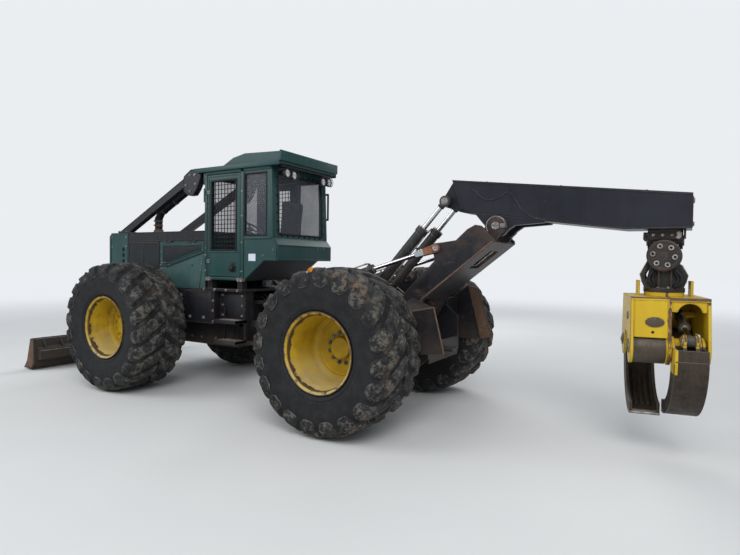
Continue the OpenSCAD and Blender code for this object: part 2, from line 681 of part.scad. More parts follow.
// Plate for a towing pin
module drawbar() shifted() color(BLACK) difference() {
  slab(-900, -760, -80, 80, tow_rear_z - tow_t / 2, tow_rear_z + tow_t / 2);
  translate([-850, 0, tow_rear_z - tow_t]) cylinder(h = 2 * tow_t, r = tow_r);
}
guard_y = track / 2 - tyre_half - 35;
module rear_guards() shifted() color(BLACK) {
  // Left guard: outer plate, sloping top and front gusset
  side_plate(guard_y - 20, guard_y) polygon([
    [-1090, 895], [-967, 1378], [-560, 1290], [-420, 1150], [-420, 860], [-760, 855]
  ]);
  hull() {
    side_plate(guard_y - 1, guard_y) polygon([[-967, 1358], [-560, 1270], [-560, 1290], [-967, 1378]]);
    side_plate(rear_half, rear_half + 1) polygon([[-560, 1430], [-380, 1330], [-380, 1350], [-560, 1450]]);
  }
  slab(-600, -580, rear_half, guard_y - 10, 870, 1280);
  // Right guard: taller plate with a doubled rear edge
  mirror([0, 1, 0]) {
    side_plate(guard_y - 20, guard_y) polygon([
      [-1090, 895], [-897, 1524], [-769, 1566], [-420, 1300], [-420, 860], [-760, 855]
    ]);
    side_plate(guard_y - 45, guard_y - 18) polygon([
      [-1090, 895], [-897, 1524], [-769, 1566], [-957, 862]
    ]);
    slab(-600, -580, rear_half, guard_y - 10, 870, 1280);
    slab(-600, -580, rear_half, guard_y - 10, 1280, 1400);
  }
}

// Steering cylinders, one each side of the hitch
steer_base = [hitch_x + 620, 250];
steer_eye = [hitch_x - 300, 290];
steer_z = 950;
steer_ear_r = 48;
module along(p, q, z) translate([p.x, p.y, z]) rotate([0, 90, atan2(q.y - p.y, q.x - p.x)]) children();
module steer_barrel() shifted() color(BLACK) difference() {
  union() {
    along(steer_base, steer_eye, steer_z) cylinder(h = 120, r = 26);
    along(steer_base, steer_eye, steer_z) translate([0, 0, 90]) cylinder(h = 500, r = small_barrel_r - 8);
    translate([steer_base.x, steer_base.y, steer_z - 35]) cylinder(h = 70, r = 52);
  }
  along(steer_base, steer_eye, steer_z) translate([0, 0, 70]) cylinder(h = 521, r = small_rod_r + fit);
  translate([steer_base.x, steer_base.y, steer_z - 40]) cylinder(h = 80, r = 25 + fit);
}
module steer_rod() shifted() color(STEEL) {
  run = dist(steer_base, steer_eye);
  along(steer_base, steer_eye, steer_z) translate([0, 0, 290]) cylinder(h = run - 290, r = small_rod_r);
  translate([steer_eye.x, steer_eye.y, steer_z - 30]) cylinder(h = 60, r = 45);
}
module steer_barrel_left() steer_barrel();
module steer_barrel_right() mirror([0, 1, 0]) steer_barrel();
module steer_rod_left() steer_rod();
module steer_rod_right() mirror([0, 1, 0]) steer_rod();

// Arch
boom_pin = [-boom_pin_x, boom_pin_z];
boom_pin_r = 60;
arch_ear = [-818, 2020];
boom_cyl_base = [107, 1500];
boom_cyl_y = 213;
ear_y0 = boom_half + 25;
module arch() shifted() color(BLACK) {
  difference() {
    union() {
      both() side_plate(arch_half - arch_t, arch_half) {
        translate(arch_pin) circle(r = 125);
        translate(arch_ear) circle(r = 58);
        polygon([
          [-240, 1190], [-448, 1524], [-520, 1600], [-690, 1765], [-800, 1880], [-772, 2000], [-830, 2078],
          [-900, 2085], [-1050, 2106], [-1180, 2225], [-1270, 2272], [-1330, 2262], [-1475, 2120],
          [-1478, 2085], [-647, 1425], [-445, 1095]
        ]);
      }
      pin_y(arch_pin, 110, -arch_half, arch_half);
      both() side_plate(boom_cyl_y - eye_half - side_gap - 30, boom_cyl_y - eye_half - side_gap)
        link_shape(arch_pin, boom_cyl_base, 100, 60);
      both() side_plate(boom_cyl_y + eye_half + side_gap, boom_cyl_y + eye_half + side_gap + 30)
        link_shape(arch_pin, boom_cyl_base, 100, 60);
    }
    pin_y(arch_pin, arch_pin_r + fit, -arch_half - 1, arch_half + 1);
  }
  // Cross plate along the rear edge with its slot
  difference() {
    side_plate(-arch_half + 10, arch_half - 10)
      polygon([[-1478, 2085], [-1450, 2115], [-622, 1454], [-647, 1425]]);
    translate([-1230, 0, 1900]) rotate([0, 38.6, 0]) slab(-160, 160, -150, 150, -80, 80);
  }
  // Inner ears with the boom's pin
  both() side_plate(ear_y0, ear_y0 + 40) {
    translate(boom_pin) circle(r = 105);
    polygon([[-1550, 2235], [-1450, 2105], [-1130, 1845], [-1090, 1900], [-1250, 2080], [-1350, 2300]]);
  }
  pin_y(boom_pin, boom_pin_r, -ear_y0 - 40, ear_y0 + 40);
  both() pin_y(boom_cyl_base, 38, boom_cyl_y - eye_half - side_gap - 5, boom_cyl_y + eye_half + side_gap + 5);
}
arch_barrel_len = 1030;
module arch_barrels() shifted() color(BLACK)
  both() barrel(arch_cyl_base, arch_ear, arch_cyl_y, small_barrel_r, small_rod_r, arch_barrel_len, 38);
// The rod's end is a fork over the arch's ear
module arch_rods() shifted() color(STEEL) both() {
  run = dist(arch_cyl_base, arch_ear);
  bar(arch_cyl_base, arch_ear, arch_cyl_y, small_rod_r, 545, run - 170);
  for (side = [-1, 1]) {
    y = arch_cyl_y + side * (arch_t / 2 + side_gap + 12);
    side_plate(y - 12, y + 12) link_shape(arch_ear, arch_ear + (arch_cyl_base - arch_ear) * 0.12, 50, 34);
  }
  along_run = (arch_cyl_base - arch_ear) / run;
  foot = arch_ear + along_run * 190;
  side_plate(arch_cyl_y - arch_t / 2 - side_gap - 24, arch_cyl_y + arch_t / 2 + side_gap + 24)
    link_shape(foot, foot + along_run * 50, 34, 34);
}

// Boom
boom_eye = [-835, 2565];
hang = [-hang_x, hang_z];
tail_z = hang_z + 104;
module boom() shifted() color(BLACK) {
  side_plate(-boom_half, boom_half) polygon([
    [-908, 2808], [-boom_tail, tail_z + tail_h], [-boom_tail, tail_z], [-2715, tail_z + 2], [-1173, 2408],
    [-1010, 2480]
  ]);
  side_plate(-boom_half + 40, boom_half - 40) {
    translate(boom_eye) circle(r = 66);
    polygon([[-908, 2790], [-1173, 2410], [-1000, 2440], [-800, 2510], [-772, 2580]]);
  }
  difference() {
    both() side_plate(boom_half - 60, boom_half) {
      translate(boom_pin) circle(r = boom_lug_r);
      polygon([[-1560, 2215], [-1640, 2270], [-1948, 2290], [-1990, 2330], [-1173, 2430], [-1335, 2240]]);
    }
    pin_y(boom_pin, boom_pin_r + fit, -boom_half - 1, boom_half + 1);
  }
  // Hanger lugs under the tail with the crosshead's pin
  for (x = [-hang_x - 150, -hang_x + 112]) translate([x, 0, 0]) {
    slab(0, 38, -85, 85, hang_z, tail_z + 10);
    pin_x(0, hang_z, 85, 0, 38);
  }
  pin_x(0, hang_z, 40, -hang_x - 150, -hang_x + 150);
}
boom_barrel_len = 1010;
module boom_barrels() shifted() color(BLACK)
  both() barrel(boom_cyl_base, boom_eye, boom_cyl_y, barrel_r, rod_r, boom_barrel_len, 38);
module boom_rods() shifted() color(STEEL)
  both() rod(boom_cyl_base, boom_eye, boom_cyl_y, rod_r, 365, 62);

// Hanging gear under the boom's tail
drum = [-hang_x, hang_z - drum_drop];
swivel_z = head_z + 40;
swivel_r = 180;
module crosshead() shifted() color(BLACK) difference() {
  union() {
    pin_x(0, hang_z, 75, -hang_x - 106, -hang_x + 106);
    pin_y(drum, 88, -88, 88);
    slab(-hang_x - 80, -hang_x + 80, -60, 60, drum.y, hang_z);
  }
  pin_x(0, hang_z, 40 + fit, -hang_x - 107, -hang_x + 107);
  pin_y(drum, 45 + fit, -89, 89);
}
module yoke() shifted() color(BLACK) {
  pin_y(drum, 45, -130, 130);
  both() {
    side_plate(95, 131) {
      translate(drum) circle(r = 98);
      polygon([
        [drum.x - 96, drum.y], [drum.x - 165, swivel_z + 30], [drum.x + 165, swivel_z + 30], [drum.x + 96, drum.y]
      ]);
    }
    pin_y(drum, drum_r, 131, 205);
  }
  translate([drum.x, 0, swivel_z + fit]) cylinder(h = 40, r = swivel_r);
}

// Grapple head: drawn along its own pins, then turned as it hangs in the photograph
module turned() translate([-head_x, 0, 0]) rotate([0, 0, head_turn]) children();
module half_turn() { children(); rotate([0, 0, 180]) children(); }
module end_plate(x0, x1) translate([x0, 0, 0]) rotate([90, 0, 90]) linear_extrude(x1 - x0) children();
mid_t = head_t / 2;
module head_plate_shape() {
  for (s = [-1, 1]) translate([s * tong_y, tong_z]) circle(r = tube_r + 10);
  polygon([
    [-head_half, head_z - head_t], [head_half, head_z - head_t], [tong_y + 148, tong_z + 20],
    [tong_y - 145, tong_z - 30], [110, tong_z + 120], [-110, tong_z + 120], [145 - tong_y, tong_z - 30],
    [-tong_y - 148, tong_z + 20]
  ]);
}
module grapple_head() shifted() color(YELLOW) turned() {
  translate([-half_len, -head_half, head_z - head_t]) cube([head_len, 2 * head_half, head_t]);
  for (x = [-half_len, -mid_t, half_len - head_t]) end_plate(x, x + head_t) head_plate_shape();
  half_turn() {
    pin_x(tong_y, tong_z, tube_r, mid_t, half_len - 1);
    pin_x(tong_y, tong_z, tong_pin_r, -half_len, 0);
    end_plate(0, half_len) polygon([
      [head_half, head_z - 1], [head_half - 22, head_z - 1], [tong_y + 100, tong_z + 110], [tong_y + 122, tong_z + 110]
    ]);
    difference() {
      translate([-half_len, head_half - 30, head_z - 130]) cube([half_len, 22, 120]);
      translate([-half_len / 2, head_half, head_z - 150]) rotate([90, 0, 0]) cylinder(h = 60, r = 105);
    }
    pin_x(-base_y, base_z, 32, -half_len, 0);
    translate([swivel_r + 38, 0, head_z - 1]) slab(0, 24, -60, 60, 0, 150);
  }
  translate([0, 0, head_z - 1]) cylinder(h = 41, r = 175);
}
base_y = 150;
base_z = tong_z + 290;
tong_eye = [tong_y + 170, tong_z + 100];
tong_c = [-80, tong_z - 60];
tong_x0 = -half_len + head_t + 8;
tong_x1 = -mid_t - 8;
tong_mid = (tong_x0 + tong_x1) / 2;
module tong_sector() polygon([
  [tong_c.x - 25, 0], [tong_c.x + 700, 0], [tong_c.x + 700, tong_z + 25], [tong_y, tong_z + 25],
  [tong_c.x - 25, tong_z - 400]
]);
module tong() shifted() color(WORN) turned() difference() {
  union() {
    end_plate(tong_x0, tong_x1) intersection() {
      difference() {
        translate(tong_c) circle(r = tong_r, $fn = 96);
        translate(tong_c) circle(r = tong_r - skin_t, $fn = 96);
      }
      tong_sector();
    }
    for (x = [tong_x0, tong_x1 - 26]) end_plate(x, x + 26) {
      intersection() {
        difference() {
          translate(tong_c) circle(r = tong_r - 2, $fn = 96);
          translate([tong_c.x - 25, tong_z - 105]) circle(r = 455, $fn = 96);
        }
        tong_sector();
      }
      translate([tong_y, tong_z]) circle(r = 118);
    }
    for (x = [tong_mid - eye_half - side_gap - 26, tong_mid + eye_half + side_gap])
      end_plate(x, x + 26) {
        link_shape([tong_y, tong_z], tong_eye, 110, 55);
        polygon([[tong_y, tong_z], tong_eye + [40, -38], [tong_c.x + tong_r - 20, tong_z], [tong_y + 120, tong_z - 120]]);
      }
    pin_x(tong_y, tong_z, 100, tong_x0, tong_x1);
  }
  pin_x(tong_y, tong_z, tong_pin_r + fit, tong_x0 - 1, tong_x1 + 1);
}
module tong_near() tong();
module far_side() translate([shift_x - head_x, 0, 0]) rotate([0, 0, 180]) translate([head_x - shift_x, 0, 0]) children();
module tong_far() far_side() tong();
// Tong cylinders lie across the head: base pin to the tong's lever
tong_base = [-base_y, base_z];
module across(h0, h1, r) translate([tong_mid, tong_base.x, tong_base.y])
  rotate([-atan2(tong_eye.x - tong_base.x, tong_eye.y - tong_base.y), 0, 0])
    translate([0, 0, h0]) cylinder(h = h1 - h0, r = r);
module tong_barrel() shifted() color(BLACK) turned() difference() {
  union() {
    across(0, 345, 44);
    pin_x(tong_base.x, tong_base.y, 56, tong_mid - eye_half, tong_mid + eye_half);
  }
  across(75, 346, small_rod_r + fit);
  pin_x(tong_base.x, tong_base.y, 32 + fit, tong_mid - 46, tong_mid + 46);
}
module tong_rod() shifted() color(STEEL) turned() {
  across(282, dist(tong_base, tong_eye), small_rod_r);
  pin_x(tong_eye.x, tong_eye.y, 48, tong_mid - eye_half, tong_mid + eye_half);
}
module tong_barrel_near() tong_barrel();
module tong_barrel_far() far_side() tong_barrel();
module tong_rod_near() tong_rod();
module tong_rod_far() far_side() tong_rod();

front_frame();
tow_lug();
side_boxes();
front_axle();
engine();
radiator_housing();
hood();
side_screens();
side_panels();
engine_door_left();
engine_door_right();
limb_risers();
exhaust();
cab_floor();
cab_side_left();
cab_side_right();
cab_front();
cab_rear();
cab_roof();
cab_glass();
cab_controls();
seat_pads();
work_lamps();
grab_rail();
cab_door_left();
cab_door_right();
blade();
blade_barrels();
blade_rods();
tyre_front_left();
tyre_front_right();
tyre_rear_left();
tyre_rear_right();
rim_front_left();
rim_front_right();
rim_rear_left();
rim_rear_right();
rear_frame();
drawbar();
rear_axle();
rear_guards();
steer_barrel_left();
steer_barrel_right();
steer_rod_left();
steer_rod_right();
arch();
arch_barrels();
arch_rods();
boom();
boom_barrels();
boom_rods();
crosshead();
yoke();
grapple_head();
tong_near();
tong_far();
tong_barrel_near();
tong_barrel_far();
tong_rod_near();
tong_rod_far();
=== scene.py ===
"""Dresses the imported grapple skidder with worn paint, lugged tyres, hoses, bolts, glass and its studio."""

import logging
import math
from collections.abc import Callable, Iterator, Sequence
from contextlib import contextmanager
from dataclasses import dataclass, field
from enum import Enum

import bmesh
import bpy
from mathutils import Matrix, Vector, noise


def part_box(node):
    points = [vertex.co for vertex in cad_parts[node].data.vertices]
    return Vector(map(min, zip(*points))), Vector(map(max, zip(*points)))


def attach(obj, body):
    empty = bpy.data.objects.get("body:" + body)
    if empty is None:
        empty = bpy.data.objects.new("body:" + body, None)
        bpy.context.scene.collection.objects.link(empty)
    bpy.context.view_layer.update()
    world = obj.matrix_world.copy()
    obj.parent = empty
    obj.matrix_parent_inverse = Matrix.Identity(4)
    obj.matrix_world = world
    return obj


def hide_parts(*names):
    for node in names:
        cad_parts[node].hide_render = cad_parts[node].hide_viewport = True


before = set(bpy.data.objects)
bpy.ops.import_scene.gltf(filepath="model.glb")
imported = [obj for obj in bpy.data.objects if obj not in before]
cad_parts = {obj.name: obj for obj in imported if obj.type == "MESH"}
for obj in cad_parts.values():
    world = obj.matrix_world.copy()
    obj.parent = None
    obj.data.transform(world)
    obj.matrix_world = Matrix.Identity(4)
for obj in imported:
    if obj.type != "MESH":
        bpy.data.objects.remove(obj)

logging.basicConfig(level=logging.INFO, format="%(name)s: %(message)s")
LOG = logging.getLogger("skidder")

Colour = tuple[float, float, float]
Pair = tuple[float, float]
Triple = tuple[float, float, float]
Piece = bpy.types.Object

UP: Vector = Vector((0, 0, 1))
LEFT: Vector = Vector((0, 1, 0))
BACK: Vector = Vector((-1, 0, 0))
MIRROR: Matrix = Matrix.Scale(-1.0, 4, (0.0, 1.0, 0.0))

_low, _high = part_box("tyre_rear_left")
REAR_AXLE_X: float = (_low[0] + _high[0]) / 2
WHEELBASE: float = 3.66
AXLE_Z: float = 0.9
TRACK_HALF: float = 1.2125


def at(x: float, y: float, z: float) -> Vector:
    """Returns a point given ahead of the rear axle, to the left and above the ground, in the row frame."""
    return Vector((x + REAR_AXLE_X, y, z))


class Side(Enum):
    """The machine's left and right hand sides."""

    LEFT = 1
    RIGHT = -1


class Axis(Enum):
    """The direction that a turned or extruded shape runs along."""

    X = (1.0, 0.0, 0.0)
    Y = (0.0, 1.0, 0.0)
    Z = (0.0, 0.0, 1.0)


class Level:
    """One value in a material's node tree, with the usual arithmetic."""

    def __init__(self, graph: "Graph", socket: bpy.types.NodeSocket) -> None:
        """Wraps a socket.

        Args:
            graph: The material's node tree.
            socket: The output socket that carries the value.
        """
        self.graph = graph
        self.socket = socket

    def _join(self, operation: str, first: "Level | float", second: "Level | float") -> "Level":
        """Adds one Math node and returns its result."""
        return self.graph.node("ShaderNodeMath", {"operation": operation}, {0: first, 1: second})

    def __add__(self, other: "Level | float") -> "Level":
        """Adds."""
        return self._join("ADD", self, other)

    __radd__ = __add__

    def __sub__(self, other: "Level | float") -> "Level":
        """Subtracts."""
        return self._join("SUBTRACT", self, other)

    def __rsub__(self, other: "Level | float") -> "Level":
        """Subtracts from a number."""
        return self._join("SUBTRACT", other, self)

    def __mul__(self, other: "Level | float") -> "Level":
        """Multiplies."""
        return self._join("MULTIPLY", self, other)

    __rmul__ = __mul__

    def __truediv__(self, other: "Level | float") -> "Level":
        """Divides."""
        return self._join("DIVIDE", self, other)

    def __rtruediv__(self, other: "Level | float") -> "Level":
        """Divides a number."""
        return self._join("DIVIDE", other, self)

    def __pow__(self, other: "Level | float") -> "Level":
        """Raises to a power."""
        return self._join("POWER", self, other)

    def __abs__(self) -> "Level":
        """Returns the distance from zero."""
        return self._join("ABSOLUTE", self, 0.0)

    def high(self, other: "Level | float") -> "Level":
        """Returns the larger of two values."""
        return self._join("MAXIMUM", self, other)

    def low(self, other: "Level | float") -> "Level":
        """Returns the smaller of two values."""
        return self._join("MINIMUM", self, other)

    def fade(self, start: float, end: float) -> "Level":
        """Returns 0 at start and 1 at end, with a soft course between.

        Args:
            start: The value that gives 0.
            end: The value that gives 1, above or below start.

        Returns:
            The mask.
        """
        settings = {"interpolation_type": "SMOOTHSTEP"}
        if start > end:
            return 1.0 - self.graph.node("ShaderNodeMapRange", settings, {0: self, 1: end, 2: start})
        return self.graph.node("ShaderNodeMapRange", settings, {0: self, 1: start, 2: end})


class Graph:
    """A material's node tree, filled one node at a time."""

    def __init__(self, name: str) -> None:
        """Starts an empty material.

        Args:
            name: The material's name.
        """
        self.material = bpy.data.materials.new(name)
        self.material.use_nodes = True
        self.tree = self.material.node_tree
        self.tree.nodes.clear()
        self.place: bpy.types.NodeSocket = self.tree.nodes.new("ShaderNodeTexCoord").outputs["Object"]

    def node(
        self,
        kind: str,
        settings: dict[str, object] | None = None,
        inputs: dict[int | str, object] | None = None,
        output: int | str = 0,
    ) -> Level:
        """Adds a node of any type.

        Args:
            kind: The node's type.
            settings: Its properties, and "stops" for a colour ramp.
            inputs: Values, sockets or levels for its input sockets.
            output: The output socket that is returned.

        Returns:
            That output as a level.
        """
        made = self.tree.nodes.new(kind)
        for key, value in (settings or {}).items():
            if key == "stops":
                ramp = made.color_ramp
                while len(ramp.elements) < len(value):
                    ramp.elements.new(0.5)
                for element, (position, colour) in zip(ramp.elements, value):
                    element.position = position
                    element.color = (*colour, 1.0)
            else:
                setattr(made, key, value)
        for key, value in (inputs or {}).items():
            socket = made.inputs[key]
            if isinstance(value, Level):
                value = value.socket
            if isinstance(value, bpy.types.NodeSocket):
                self.tree.links.new(value, socket)
            elif socket.type == "RGBA" and len(value) == 3:
                socket.default_value = (*value, 1.0)
            else:
                socket.default_value = value
        return Level(self, made.outputs[output])

    def stretched(self, scale: Triple, turn: Triple = (0.0, 0.0, 0.0)) -> Level:
        """Returns the object coordinates scaled, and turned by angles in degrees."""
        angles = tuple(math.radians(value) for value in turn)
        return self.node("ShaderNodeMapping", None,
            {"Vector": self.place, "Scale": scale, "Rotation": angles})

    def noise(self, scale: float, detail: float = 4.0, rough: float = 0.6,
        place: Level | None = None) -> Level:
        """Returns a noise value between 0 and 1 on the object's own coordinates."""
        return self.node(
            "ShaderNodeTexNoise",
            {"noise_dimensions": "3D"},
            {"Vector": place or self.place, "Scale": scale, "Detail": detail, "Roughness": rough},
        )

    def bands(self, direction: str, scale: float) -> Level:
        """Returns even waves along one of the object's axes."""
        settings = {"wave_type": "BANDS", "bands_direction": direction}
        return self.node("ShaderNodeTexWave", settings, {"Vector": self.place, "Scale": scale})

    def height(self) -> Level:
        """Returns the height above the ground."""
        return self.node("ShaderNodeSeparateXYZ", None, {0: self.place}, 2)

    def from_axle(self, axle_x: float) -> tuple[Level, Level]:
        """Returns the height over an axle and the distance from it."""
        axle = at(axle_x, 0.0, AXLE_Z)
        across, up = self.along((1.0, 0.0, 0.0), axle), self.along((0.0, 0.0, 1.0), axle)
        return up, (across * across + up * up) ** 0.5

    def along(self, direction: Triple, origin: Vector) -> Level:
        """Returns the distance along a direction from a point, in metres."""
        moved = self.node("ShaderNodeVectorMath", {"operation": "SUBTRACT"},
            {0: self.place, 1: tuple(origin)})
        unit = Vector(direction).normalized()
        return self.node("ShaderNodeVectorMath", {"operation": "DOT_PRODUCT"}, {0: moved, 1: tuple(unit)},
            "Value")

    def edge(self, radius: float) -> Level:
        """Returns how far a surface point lies on an edge, from 0 on a flat.

        Args:
            radius: How near an edge has to be.

        Returns:
            The share, from 0 to 1.
        """
        rounded = self.node("ShaderNodeBevel", {"samples": 4}, {"Radius": radius})
        flat = self.node("ShaderNodeNewGeometry", None, None, "Normal")
        facing = self.node("ShaderNodeVectorMath", {"operation": "DOT_PRODUCT"}, {0: rounded, 1: flat},
            "Value")
        return 1.0 - facing

    def mix(self, mask: Level | float, first: object, second: object) -> Level:
        """Returns a colour that goes from the first to the second with the mask."""
        return self.node("ShaderNodeMix", {"data_type": "RGBA"}, {0: mask, 6: first, 7: second}, 2)

    def bump(self, height: Level, strength: float, distance: float, radius: float = 0.0) -> Level:
        """Returns a normal from a height, over edges rounded to a radius where one is given."""
        inputs: dict[int | str, object] = {"Height": height, "Strength": strength, "Distance": distance}
        if radius > 0:
            inputs["Normal"] = self.node("ShaderNodeBevel", {"samples": 4}, {"Radius": radius})
        return self.node("ShaderNodeBump", None, inputs)

    def shader(self, **values: object) -> bpy.types.Material:
        """Ends the tree with a Principled shader.

        Args:
            **values: Its inputs, with underscores for spaces.

        Returns:
            The finished material.
        """
        inputs = {"Specular IOR Level": 0.24} | {key.replace("_", " "): value
            for key, value in values.items()}
        surface = self.node("ShaderNodeBsdfPrincipled", None, inputs)
        output = self.tree.nodes.new("ShaderNodeOutputMaterial")
        self.tree.links.new(surface.socket, output.inputs["Surface"])
        return self.material


RUST: Colour = (0.088, 0.044, 0.025)
RUST_LIGHT: Colour = (0.19, 0.1, 0.058)
MUD: Colour = (0.05, 0.04, 0.031)
DUST: Colour = (0.12, 0.112, 0.098)


@dataclass(frozen=True)
class RustBand:
    """A strip of bare rusty steel along a line of a plate."""

    direction: Triple
    origin: Triple
    width: float


@dataclass(frozen=True)
class Paint:
    """Painted steel that has faded, chipped on its edges and gathered dust and mud."""

    name: str
    colour: Colour
    faded: Colour
    rough: float = 0.42
    chips: float = 0.45
    spots: float = 0.3
    scuffs: float = 0.0
    dust: float = 0.35
    mud_top: float = 0.0
    radius: float = 0.01
    bare: Colour = RUST
    bare_light: Colour = RUST_LIGHT
    band: RustBand | None = None
    turn_yellow: float = 0.0

    def build(self) -> bpy.types.Material:
        """Builds the finish's material.

        Returns:
            The material.
        """
        graph = Graph(self.name)
        broad = graph.noise(1.3, 3.0)
        patch = graph.noise(6.5, 6.0, 0.65)
        fine = graph.noise(42.0, 4.0, 0.7)
        streaks = graph.noise(1.0, 5.0, 0.65, graph.stretched((11.0, 11.0, 1.2)))
        tone = graph.mix((broad * 0.6 + streaks * 0.5).fade(0.4, 0.72), self.colour, self.faded)
        edge = graph.edge(self.radius)
        limit = 1.42 - self.chips * 0.75
        bare = (edge * 5.0 + patch * 0.9 + fine * 0.35).fade(limit, limit + 0.14)
        if self.spots > 0:
            spots = (patch * 0.7 + fine * 0.6).fade(0.86 - self.spots * 0.18, 0.93 - self.spots * 0.16)
            bare = bare.high(spots)
        if self.band is not None:
            offset = graph.along(self.band.direction, at(*self.band.origin))
            bare = bare.high((abs(offset) + (patch - 0.5) * 0.1).fade(self.band.width,
                self.band.width * 0.72))
        if self.scuffs > 0:
            scratch = graph.noise(3.0, 6.0, 0.75, graph.stretched((1.0, 6.0, 9.0), (0.0, 38.0, 0.0)))
            worn = (scratch * 0.7 + patch * 0.5).fade(0.66, 0.82) * self.scuffs
            tone = graph.mix(worn, tone, DUST)
            brown = (patch * 0.6 + broad * 0.5).fade(0.52, 0.7) * self.scuffs
            tone = graph.mix(brown * 0.6, tone, RUST)
        rust = graph.mix(fine.fade(0.35, 0.72), self.bare, self.bare_light)
        tone = graph.mix(bare, tone, rust)
        facing = graph.node("ShaderNodeNewGeometry", None, None, "Normal")
        upward = graph.node("ShaderNodeSeparateXYZ", None, {0: facing}, 2).fade(0.25, 0.95)
        settled = (upward * 0.7 + 0.3) * (broad + patch * 0.6).fade(0.55, 1.15) * self.dust
        tone = graph.mix(settled, tone, DUST)
        mud: Level | float = 0.0
        if self.mud_top > 0:
            height = graph.height()
            mud = (height + (patch - 0.5) * 0.9 + (fine - 0.5) * 0.25).fade(self.mud_top,
                self.mud_top - 0.45) * 0.85
            tone = graph.mix(mud, tone, MUD)
        if self.turn_yellow > 0:
            height = graph.height()
            painted = (height + (patch - 0.5) * 0.05).fade(self.turn_yellow - 0.012, self.turn_yellow + 0.012)
            yellow = graph.mix(bare, (0.56, 0.37, 0.018), self.bare_light)
            tone = graph.mix(painted * (fine * 0.8 + patch * 0.5).fade(0.4, 0.46), tone, yellow)
        rough = bare * 0.28 + settled * 0.25 + mud * 0.25 + patch * 0.1 + (self.rough - 0.05)
        relief = fine * 0.25 + patch * 0.45 - bare * 0.35
        normal = graph.bump(relief, 0.35, 0.004, self.radius)
        return graph.shader(Base_Color=tone, Roughness=rough, Normal=normal)


@dataclass(frozen=True)
class Rubber:
    """Tyre rubber: black on the carcass, pale and torn on the lugs, with dried clay, and pale lug edges that are
    partly rubbed rubber and partly painted highlight.
    """

    name: str
    axle_x: float
    clay: float = 0.5
    lugs: bool = False

    def build(self) -> bpy.types.Material:
        """Builds the finish's material.

        Returns:
            The material.
        """
        graph = Graph(self.name)
        _, radius = graph.from_axle(self.axle_x)
        broad = graph.noise(2.1, 4.0)
        patch = graph.noise(9.0, 7.0, 0.7)
        fine = graph.noise(55.0, 5.0, 0.75)
        tear = graph.noise(19.0, 8.0, 0.8)
        tone = graph.mix(patch.fade(0.35, 0.7), (0.0085, 0.009, 0.011), (0.019, 0.0195, 0.0215))
        if self.lugs:
            crown = (radius + (patch - 0.5) * 0.05).fade(0.81, 0.88)
            tone = graph.mix((crown * 0.6 + 0.4) * patch.fade(0.34, 0.6), tone, (0.042, 0.041, 0.039))
            torn = (tear * 0.75 + patch * 0.4 + broad * 0.25 + crown * 0.02).fade(0.72 - self.clay * 0.01,
                0.8)
            tone = graph.mix(torn * 0.7, tone, (0.155, 0.143, 0.12))
            # Pale lug edges: partly rubbed rubber and partly a painted highlight on the edges that catch the
            # light.
            chafed_and_highlit = (graph.edge(0.016) * 4.0 + patch * 0.75 + fine * 0.25 + tear * 0.2).fade(0.78, 1.02)
            tone = graph.mix(chafed_and_highlit * 0.75, tone, (0.175, 0.166, 0.148))
        else:
            dusty = (patch * 0.6 + broad * 0.5).fade(0.5, 0.72) * radius.fade(0.76, 0.85)
            tone = graph.mix(dusty * 0.6, tone, (0.085, 0.076, 0.062))
        clay = (broad * 0.9 + patch * 0.45).fade(0.82 - self.clay * 0.13, 0.88) * radius.fade(0.79, 0.86)
        tone = graph.mix(clay * (0.2 + self.clay * 0.6) * tear.fade(0.38, 0.58), tone, (0.185, 0.088, 0.042))
        dry = (radius.fade(0.6, 0.42) * 0.5 + 0.12) * fine.fade(0.3, 0.8)
        tone = graph.mix(dry * 0.5, tone, (0.075, 0.068, 0.06))
        rough = 0.66 + patch * 0.22 + clay * 0.1
        relief = tear * 0.9 + fine * 0.25 + patch * 0.6
        depth = 0.018 if self.lugs else 0.006
        return graph.shader(Base_Color=tone, Roughness=rough, Normal=graph.bump(relief, 0.7, depth))


@dataclass(frozen=True)
class RimPaint:
    """Yellow wheel paint, dark and flaking towards a rusty outer flange."""

    name: str
    axle_x: float
    flange: float
    dull: float

    def build(self) -> bpy.types.Material:
        """Builds the finish's material.

        Returns:
            The material.
        """
        graph = Graph(self.name)
        up, radius = graph.from_axle(self.axle_x)
        side = abs(graph.along((0.0, 1.0, 0.0), at(self.axle_x, 0.0, AXLE_Z)))
        broad = graph.noise(2.4, 4.0)
        patch = graph.noise(9.0, 7.0, 0.7)
        fine = graph.noise(60.0, 5.0, 0.7)
        tone = graph.mix(broad.fade(0.35, 0.68), (0.5, 0.325, 0.016), (0.4, 0.245, 0.014))
        grime = (patch * 0.8 + broad * 0.4).fade(0.52, 0.82) * self.dull
        tone = graph.mix(grime, tone, (0.115, 0.07, 0.02))
        low = up.fade(0.05, -0.4) * radius.fade(0.3, 0.38) * (0.3 + 0.7 * patch.fade(0.3, 0.6))
        tone = graph.mix(low * 0.7, tone, (0.46, 0.4, 0.23))
        near = side.fade(self.flange - 0.17, self.flange - 0.03)
        ring = radius.fade(0.397, 0.408)
        worn = (near * 0.44 + patch * 0.55 + fine * 0.12).fade(0.67, 0.715) * radius.fade(0.3, 0.36)
        worn = worn * (1.0 - ring * patch.fade(0.62, 0.48))
        tone = graph.mix(worn, tone, graph.mix(fine.fade(0.3, 0.7), (0.05, 0.03, 0.018), (0.1, 0.055, 0.026)))
        lip = (radius + (patch - 0.5) * 0.03).fade(0.4205, 0.429)
        tone = graph.mix(lip, tone, graph.mix(fine.fade(0.3, 0.7), (0.06, 0.043, 0.032), (0.15, 0.1, 0.066)))
        specks = (fine * 0.7 + patch * 0.4).fade(0.68, 0.74)
        tone = graph.mix(specks, tone, (0.06, 0.032, 0.014))
        rough = 0.4 + worn * 0.3 + lip * 0.3 + patch * 0.2
        return graph.shader(
            Base_Color=tone, Roughness=rough, Normal=graph.bump(patch * 0.5 + fine * 0.3 - worn, 0.35, 0.004)
        )


